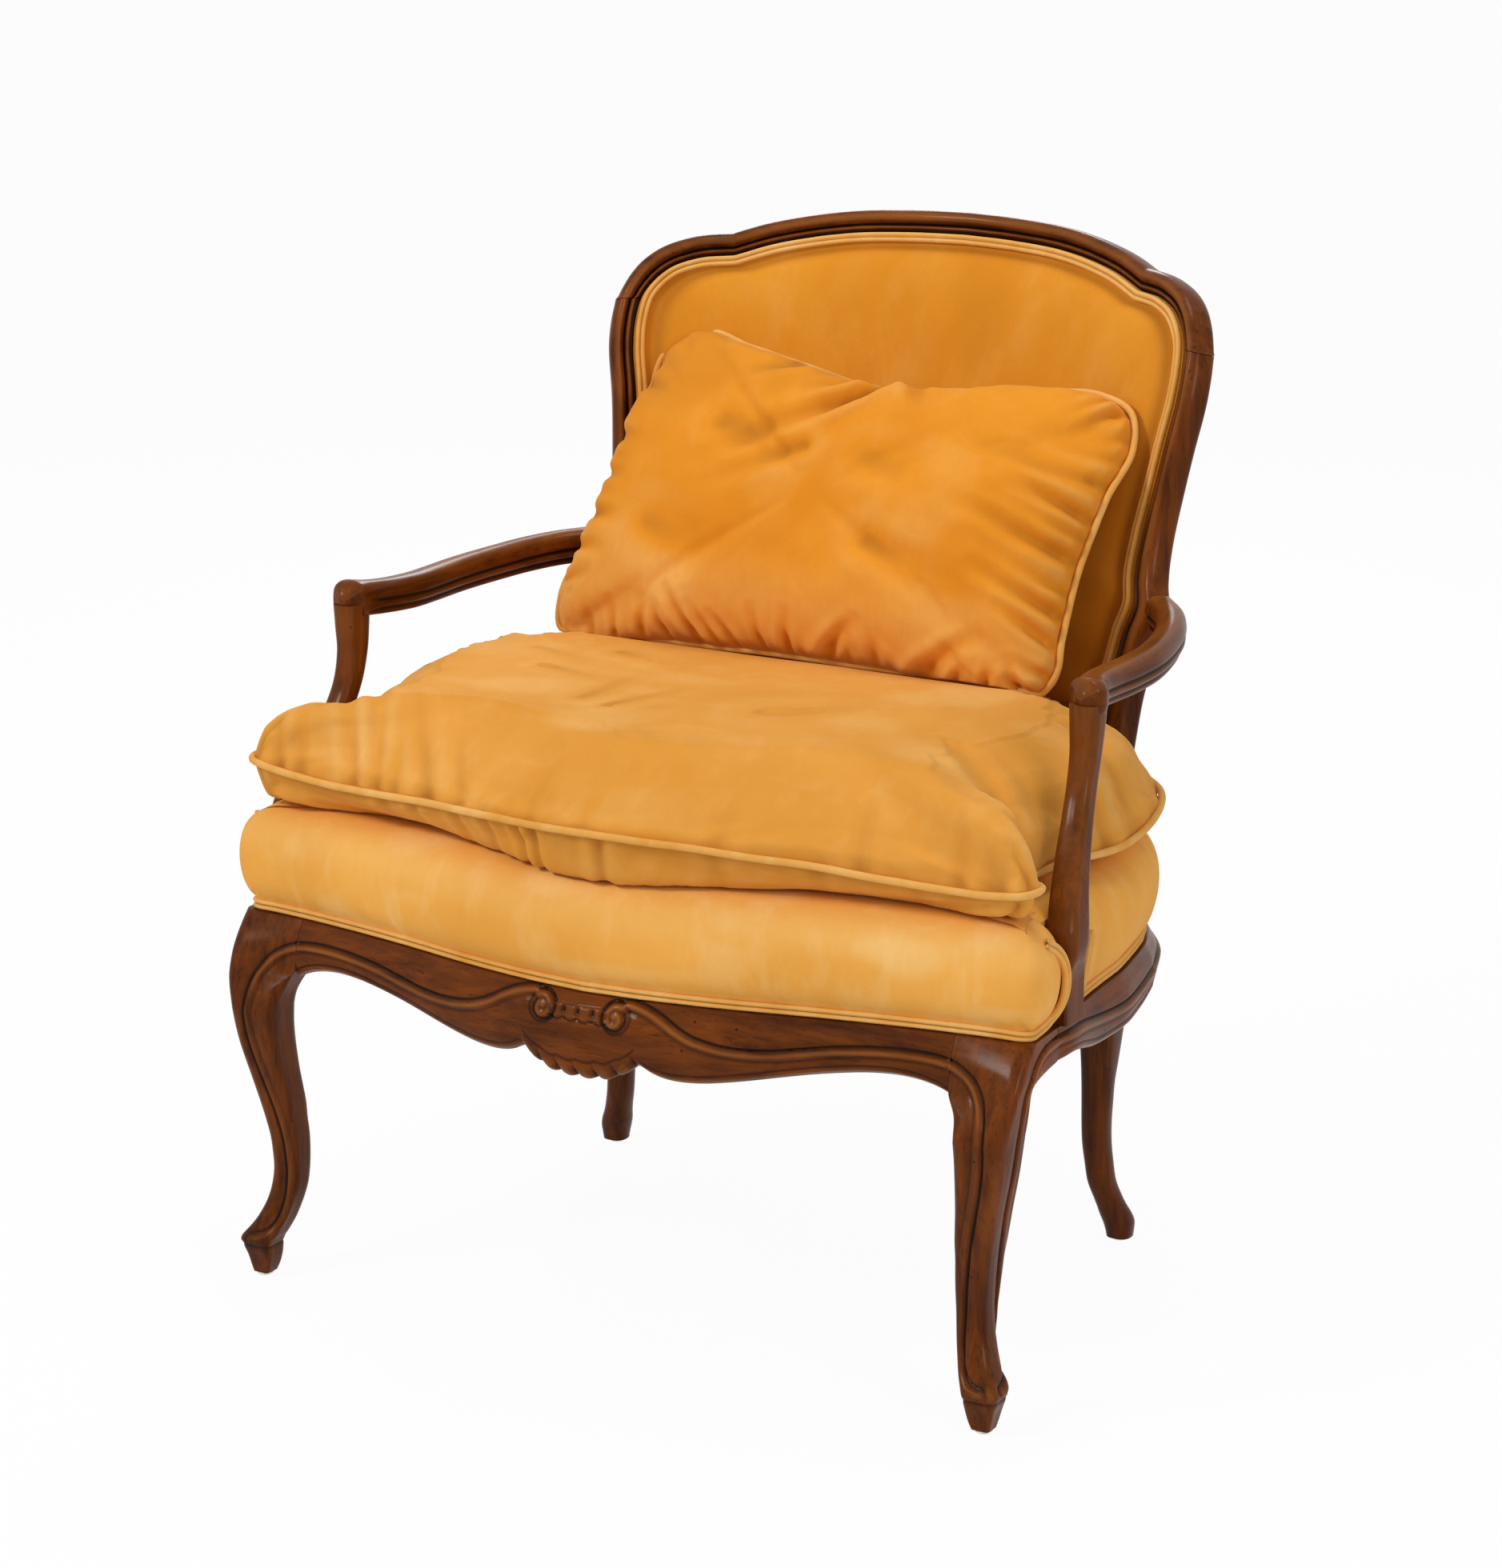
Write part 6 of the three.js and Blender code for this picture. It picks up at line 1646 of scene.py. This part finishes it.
cushionHalf = [
    Vector((x * cushion["ear"], cushion["frontY"] + y * cushionDepth)) for x, y in cushionPlanShares
]
cushionMirror = [Vector((-p.x, p.y)) for p in cushionHalf[1:-1]][::-1]
cushionLine = curveThrough(cushionHalf + cushionMirror, 5, closed=True)
# rise above and below the seam by distance in from it
crownRows = [
    (0, 0), (3, 0.2), (8, 0.4), (16, 0.58), (28, 0.74), (45, 0.86), (75, 0.95), (120, 0.99), (300, 1),
]
underRows = [(0, 0), (2.5, 0.42), (5.5, 0.75), (10, 0.94), (16, 1), (300, 1)]
cushionInsets = (2.5, 5.5, 10, 16, 28, 45, 75, 120, 170, 225, 272)
# folds on top and under: from x, y at the seam to x, y inside, width, depth
topFolds = [
    (-384, -300, -356, -284, 5, 3.4), (-352, -318, -378, -284, 5, 3.6),
    (-318, -334, -350, -290, 5.5, 3.8), (-258, -336, -338, -232, 6.5, 6),
    (-238, -336, -318, -196, 7, 5.6), (-216, -340, -262, -250, 6, 3), (-176, -344, -264, -222, 7, 3.4),
    (-388, -276, -352, -244, 5, 3.6), (-356, -232, -266, -146, 10, 5), (-140, -348, -192, -262, 7, 2.2),
    (352, -242, 290, -206, 9, 8.5), (350, -226, 228, -150, 10, 7.0), (392, -294, 358, -308, 4.5, 5.5),
    (384, -314, 340, -298, 4.5, 4.6), (390, -280, 348, -262, 5, 4.2), (340, -326, 322, -278, 6, 2.8),
    (250, -334, 232, -262, 8, 2), (120, -360, 128, -290, 9, 1.6), (-60, -368, -52, -300, 9, 1.6),
    (0, -370, 10, -310, 8, 1.4), (-113, -184, -111, -84, 10, 3.4), (-79, -196, -50, -112, 9, 3.4),
    (-207, -97, -124, -120, 9, 3), (-170, -20, -40, -60, 12, 3), (-250, -40, -176, -66, 10, 2.6),
    (60, -150, 190, -60, 20, 2.2), (366, -60, 290, -24, 12, 2.8), (-366, -60, -296, -30, 11, 2.8),
    (362, 26, 286, 10, 12, 2.4), (-362, 20, -290, 16, 11, 2.6), (374, -108, 326, -92, 9, 2.6),
]
underFolds = [
    (-384, -300, -330, -280, 5, 5), (384, -300, 330, -280, 5, 5), (-248, -340, -232, -306, 6, 2.8),
    (-208, -350, -198, -312, 5.5, 4.6), (-156, -358, -142, -322, 5.5, 4.4),
    (-115, -362, -108, -328, 5, 5.4), (-74, -366, -64, -332, 5, 5.8), (-54, -368, -50, -338, 4.5, 4.2),
    (16, -368, 12, -336, 6, 3), (120, -360, 110, -324, 8, 2), (212, -348, 202, -314, 7, 2.8),
    (300, -328, 288, -296, 7, 2.4), (366, -120, 330, -110, 8, 3), (370, 0, 334, -4, 8, 2.6),
    (-370, -60, -336, -56, 8, 3),
]
# height of the seam across the front
frontSeam = [
    (-395, 489), (-340, 481), (-283, 478), (-150, 485), (0, 490), (95, 487), (211, 478), (262, 474),
    (335, 471), (395, 474),
]


def cushionFloor(y):
    # the lip hangs a little where the platform rounds off in front
    return cushion["floor"] - 7.5 * ease((-y - 338) / 26)


def seamHeight(x, y):
    front = ease((-y - 210) / 60)
    side = lerp(462, 481, ease((y + 100) / 160))
    return lerp(side, smooth(frontSeam, x), front) + 1.2 * noise.noise(Vector((x * 0.012, y * 0.012, 0)))


def cushionShape():
    # rings from the middle underneath out to the seam and back over the top
    def ringAt(inset, rows, reach):
        ring = []
        for p in cushionLine:
            edge = seamHeight(p.x, p.y)
            # how quickly the rise fills: boxier at the sides and the rear
            full = 1 + 0.75 * max(ease((p.y + 200) / 80), ease((abs(p.x) - 290) / 60))
            full += 0.8 * ease((-p.x - 150) / 150) * ease((p.y + 290) / 70)
            d = (p - cushionMiddle) * (1 - min(inset / 285, 0.97))
            level = reach or cushionFloor(cushionMiddle.y + d.y) + 1.4
            rise = 1 - (1 - clamp(smooth(rows, inset))) ** full
            ring.append(Vector((d.x, cushionMiddle.y + d.y, edge + (level - edge) * rise)))
        return ring
    rings = [ringAt(inset, underRows, 0) for inset in cushionInsets[::-1]]
    rings.append([Vector((p.x, p.y, seamHeight(p.x, p.y))) for p in cushionLine])
    rings += [ringAt(inset, crownRows, cushion["top"]) for inset in cushionInsets]
    return loftPiece("seat_cushion_padded", rings, sharp=0)


cushionWays = planWays(cushionLine)
cushionField = lineField(cushionLine + [cushionLine[0].copy()])


def cushionTop(x, y):
    # the most that the cushion may rise: lower where the pillow rests
    rest = ease((y - 28) / 40)
    under = cushion["underPillow"] - 6 * ease((-x - 200) / 50) - 5 * ease((x - 150) / 60)
    return lerp(cushion["highest"], under, rest)


def cushionTouch(p, normal):
    reach = abs(cushionField(p.x, p.y))
    edge = seamHeight(p.x, p.y)
    top = p.z > edge
    deep, mark = foldInto(p.x, p.y, topFolds if top else underFolds)
    wave = noise.noise(Vector((p.x * 0.0075, p.y * 0.0085, 2.0))) * 3.4 * ease(reach / 60)
    ripple = noise.noise(Vector((p.x * 0.03, p.y * 0.03, 5.0))) * 0.8 * ease(reach / 30)
    pinch = noise.noise(Vector((p.x * 0.05, p.y * 0.05, 9.0))) * 2.2 * bell(reach - 8, 12)
    point = p - normal * (deep - (wave + ripple + pinch) * (1 if top else 0.5))
    # patchy wear on top; painted shade on the underside
    worn = 0.5 * ease(noise.noise(Vector((p.x * 0.008, p.y * 0.012, 4.0))) * 1.8) if top else -0.12
    point.z = max(point.z, cushionFloor(point.y))
    # the last 2.5 mm under the ceiling are eased
    ceiling = cushionTop(point.x, point.y)
    if point.z > ceiling - 2.5:
        point.z = ceiling - 2.5 * (1 - math.exp((ceiling - 2.5 - point.z) / 6))
    # painted shade along the seam
    return point, mark + worn - 0.35 * bell(reach - 2, 3)


def cushionPiece():
    def held(p):
        return abs(cushionField(p.x, p.y)) < 5 and abs(p.z - seamHeight(p.x, p.y)) < 6
    piece = voxelMesh(cushionShape(), cushion["voxel"])
    puffed(piece, cushion["pressure"], cushion["cap"], held)
    return sculpt(subdivided(piece), cushionTouch)


def cushionWeltPiece():
    proud, size = cushion["weltOut"], cushion["welt"]
    route = []
    for p, way in zip(cushionLine, cushionWays):
        route.append(Vector((p.x + way.x * proud, p.y + way.y * proud, seamHeight(p.x, p.y))))
    outs = [Vector((way.x, way.y, 0)) for way in cushionWays]
    return sweep("seat_cushion_welt_cord", route, outs, roundSection(), size, size, looped=True)


seatCushion = dress(cushionPiece(), velvetSeat, "loose_seat_cushion", "velvet", "seat_cushion")
cushionWelt = dress(cushionWeltPiece(), piping, "loose_seat_cushion", "piping", "seat_cushion_welt")
lift = {"joint": "seat_cushion_lift", "axis": (1, 0, 0), "anchor": (0, 0, 0.484), "keep": 0.88}
for piece in (seatCushion, cushionWelt):
    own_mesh(piece)
print("seat cushion made")

# Back pillow, shaped flat: across, through and up
pillow = {
    "front": 70, "back": 52, "x": -16, "y": 129, "z": 681, "lean": 26, "roll": 3.4, "welt": 3.2,
    "weltOut": 2.2, "voxel": 4.6, "pressure": 4, "cap": 9, "half": 142,
}
# its outline on the flat, sunk at the middle of the upper edge
pillowPoints = [
    (-228, 151), (-160, 142), (-88, 131), (-5, 120), (86, 131), (166, 147), (218, 151), (250, 140),
    (262, 108), (259, 32), (255, -23), (257, -83), (259, -126), (242, -147), (196, -149), (92, -144),
    (-2, -147), (-87, -153), (-160, -161), (-240, -172), (-272, -163), (-280, -134), (-272, -90),
    (-262, -32), (-257, 17), (-256, 84), (-250, 134),
]
pillowEdge = curveThrough([Vector(p) for p in pillowPoints], 4, closed=True)
pillowField = lineField(pillowEdge + [pillowEdge[0].copy()])
pillowCorners = [Vector(p) for p in ((-240, 146), (248, 144), (254, -142), (-262, -160))]
pillowRows = [
    (0, 0), (3, 0.24), (8, 0.44), (16, 0.62), (28, 0.78), (45, 0.9), (75, 0.98), (110, 1), (200, 1),
]
pillowInsets = (3, 8, 16, 28, 45, 75, 105, 132)
# folds on the front, laid out like the cushion's
pillowFolds = [
    (-228, -171, -232, -140, 4.5, 5), (-196, -167, -204, -134, 4.5, 5), (-164, -162, -160, -128, 5, 5.6),
    (-134, -159, -146, -132, 4, 5), (-96, -158, -132, -116, 4.5, 9), (-74, -157, -104, -128, 4, 7),
    (-54, -156, -82, -132, 4, 7.5), (-30, -154, -38, -120, 4, 6), (-6, -151, -2, -118, 4.5, 8),
    (28, -150, 72, -112, 5, 11), (52, -150, 66, -130, 4, 6), (84, -149, 96, -122, 5, 5),
    (122, -149, 150, -130, 4.5, 7), (136, -150, 194, -104, 6, 9), (168, -150, 186, -128, 4, 5),
    (204, -148, 212, -124, 4, 5), (258, -142, 214, -136, 5, 8.5), (244, -150, 222, -118, 4, 7),
    (262, -122, 230, -116, 4, 5.5), (19, 122, -44, 62, 7, 10), (30, 126, -124, 14, 8, 8.5),
    (0, 126, -48, 100, 5, 7), (44, 128, 74, 100, 6, 5), (-70, 133, -120, 106, 6, 4.5),
    (-24, 40, -110, -6, 8, 4.5), (252, 142, 222, 108, 5, 6.5), (232, 152, 214, 124, 4.5, 5),
    (262, 112, 226, 104, 6, 2.6), (262, 26, 168, 54, 6, 8.5), (260, 8, 206, 18, 5, 3.4),
    (258, -14, 148, 14, 7, 9), (256, -44, 206, -34, 5, 3), (258, -66, 180, -42, 6, 8.5),
    (258, -94, 210, -72, 5, 7.5), (260, 62, 116, 78, 8, 5), (262, 88, 200, 94, 7, 2.6),
    (-262, -50, -214, -56, 6, 5.5), (-258, -10, -224, -14, 5, 4), (-257, 30, -216, 22, 6, 4.5),
    (-256, 90, -214, 78, 6, 4.5), (-268, -84, -226, -86, 5, 5), (-272, -118, -234, -110, 5, 5),
    (-120, 52, -30, 30, 12, 3), (70, -40, 160, -62, 12, 3.6), (-170, -60, -90, -84, 16, 2.4),
    (40, 40, 130, 20, 14, 2.6),
]
pillowLean = Matrix.Rotation(math.radians(-pillow["lean"]), 3, "X")
pillowTurn = pillowLean @ Matrix.Rotation(math.radians(pillow["roll"]), 3, "Y")
pillowSpot = Vector((pillow["x"], pillow["y"], pillow["z"]))


def pillowSeam(x, z):
    # the seam runs further back along the top and the left, where the front swells over it
    back = 26 * ease((z - 50) / 70) + 15 * ease((-x - 150) / 80)
    back -= 4 * ease((x - 150) / 80) * ease((60 - z) / 60)
    return back + 1.6 * noise.noise(Vector((x * 0.012, z * 0.012, 3.3)))


def pillowLoft():
    def ringAt(inset, front):
        ring = []
        for p in pillowEdge:
            corner = min((p - c).length for c in pillowCorners)
            scale = 1 - min(inset / pillow["half"], 0.96)
            swell = smooth(pillowRows, inset) * (1 - 0.3 * bell(corner, 70) * (1 - inset / pillow["half"]))
            # the front swells past the seam above and on one side, and hides the welt there
            past = 9 * bell(inset - 16, 13) if front else 0
            x = p.x * scale - past * ease((-p.x - 170) / 50)
            z = p.y * scale + past * ease((p.y - 70) / 50)
            depth = -pillow["front"] if front else pillow["back"]
            ring.append(Vector((x, pillowSeam(p.x, p.y) * scale + depth * swell, z)))
        return ring
    rings = [ringAt(inset, False) for inset in pillowInsets[::-1]]
    rings.append([Vector((p.x, pillowSeam(p.x, p.y), p.y)) for p in pillowEdge])
    rings += [ringAt(inset, True) for inset in pillowInsets]
    return loftPiece("back_pillow_padded", rings, sharp=0)


def panelDepth(x, z):
    # how far the padded back stands forward of the frame's face at a place
    share = clamp(1 - math.hypot(x / openingHalf, (z - panel["middleZ"]) / (openingHeight / 2)))
    return panel["crown"] * smooth(panelRows, share) - panel["front"] + 2.2


def placedPillow(p):
    q = pillowTurn @ p + pillowSpot
    wall = onBack(q.x, q.z, -panelDepth(q.x, q.z)).y
    q.y = min(q.y, wall)
    q.z = max(q.z, cushionTop(q.x, q.y) + 1.2)
    return q


def pillowTouch(p, normal):
    reach = abs(pillowField(p.x, p.z))
    front = p.y < pillowSeam(p.x, p.z)
    deep, mark = foldInto(p.x, p.z, pillowFolds) if front else (0.0, 0.0)
    fade = ease(reach / 7)
    wave = noise.noise(Vector((p.x * 0.011, p.z * 0.012, 1.0))) * 3.6 * ease(reach / 50)
    ripple = noise.noise(Vector((p.x * 0.035, p.z * 0.035, 6.0))) * 0.8 * ease(reach / 25)
    pinch = noise.noise(Vector((p.x * 0.055, p.z * 0.055, 8.0))) * 2.4 * bell(reach - 9, 12)
    point = p - normal * (deep * fade - wave - ripple - pinch)
    patch = noise.noise(Vector((p.x * 0.012, p.z * 0.016, 9.0)))
    worn = 0.3 * ease(patch * 1.7) + 0.6 * ease((-p.z - 50) / 70)
    # painted shade over the upper left
    worn -= 0.3 * ease((p.z + 20) / 120) * ease((60 - p.x) / 150)
    # painted shade along the seam
    return placedPillow(point), mark + worn - 0.3 * bell(reach - 2, 3)


def pillowPiece():
    def held(p):
        return abs(pillowField(p.x, p.z)) < 5 and abs(p.y - pillowSeam(p.x, p.z)) < 7
    piece = voxelMesh(pillowLoft(), pillow["voxel"])
    puffed(piece, pillow["pressure"], pillow["cap"], held)
    return sculpt(subdivided(piece), pillowTouch)


def pillowWeltPiece():
    route, outs = [], []
    proud, size = pillow["weltOut"], pillow["welt"]
    for i, p in enumerate(pillowEdge):
        run = pillowEdge[(i + 2) % len(pillowEdge)] - pillowEdge[i - 2]
        out = Vector((run.y, -run.x)).normalized()
        out = out if out.dot(p) > 0 else -out
        place = placedPillow(Vector((p.x + out.x * proud, pillowSeam(p.x, p.y), p.y + out.y * proud)))
        # along the lower edge the cord rides on the cushion
        route.append(place + Vector((0, 0, 2.4 if p.y < -110 else 0)))
        outs.append(pillowTurn @ Vector((out.x, 0, out.y)))
    return sweep("back_pillow_welt_cord", route, outs, roundSection(), size, size, looped=True)


backPillow = dress(pillowPiece(), velvet, "loose_pillow", "velvet", "pillow")
dress(pillowWeltPiece(), piping, "loose_pillow", "piping", "pillow_welt")
print("back pillow made")

# Underside: black cloth, and webbing straps under and over
underside = {"z": 313.2, "thick": 0.9, "inset": 10.4, "sag": 3.0, "legX": 334, "legY": -250, "cornerX": 360}


def dustCoverPiece():
    line = []
    for p, way in zip(seatLine[::2], seatWays[::2]):
        x, y = p.x - way.x * underside["inset"], p.y - way.y * underside["inset"]
        # the cloth is cut out round the front legs
        if abs(x) > underside["legX"] and y < underside["legY"]:
            y = underside["legY"] if abs(x) > underside["cornerX"] else y
            x = math.copysign(underside["legX"], x)
        line.append(Vector((x, y)))
    rings = []
    scales = (0.1, 0.35, 0.6, 0.8, 0.93, 1)
    for z, order in ((underside["z"], scales), (underside["z"] - underside["thick"], scales[::-1])):
        for scale in order:
            sag = underside["sag"] * (1 - scale * scale)
            ring = [Vector((lerp(0, p.x, scale), lerp(seatMiddle.y, p.y, scale), z - sag)) for p in line]
            rings.append(ring)
    return loftPiece("dust_cover_cloth", rings, sharp=0)


dustCover = dress(dustCoverPiece(), blackCloth, "frame", "black_cloth", "dust_cover")

# pieces shown as the source has them, in their own materials
plainNodes = {
    "_webbing": tape, "corner_block": beech, "_screw": screwSteel, "_glide": nickel,
    "seat_spring": springSteel,
}
for name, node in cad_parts.items():
    for ending, material in plainNodes.items():
        if ending in name:
            node.data.materials.clear()
            node.data.materials.append(material)
print("underside closed")
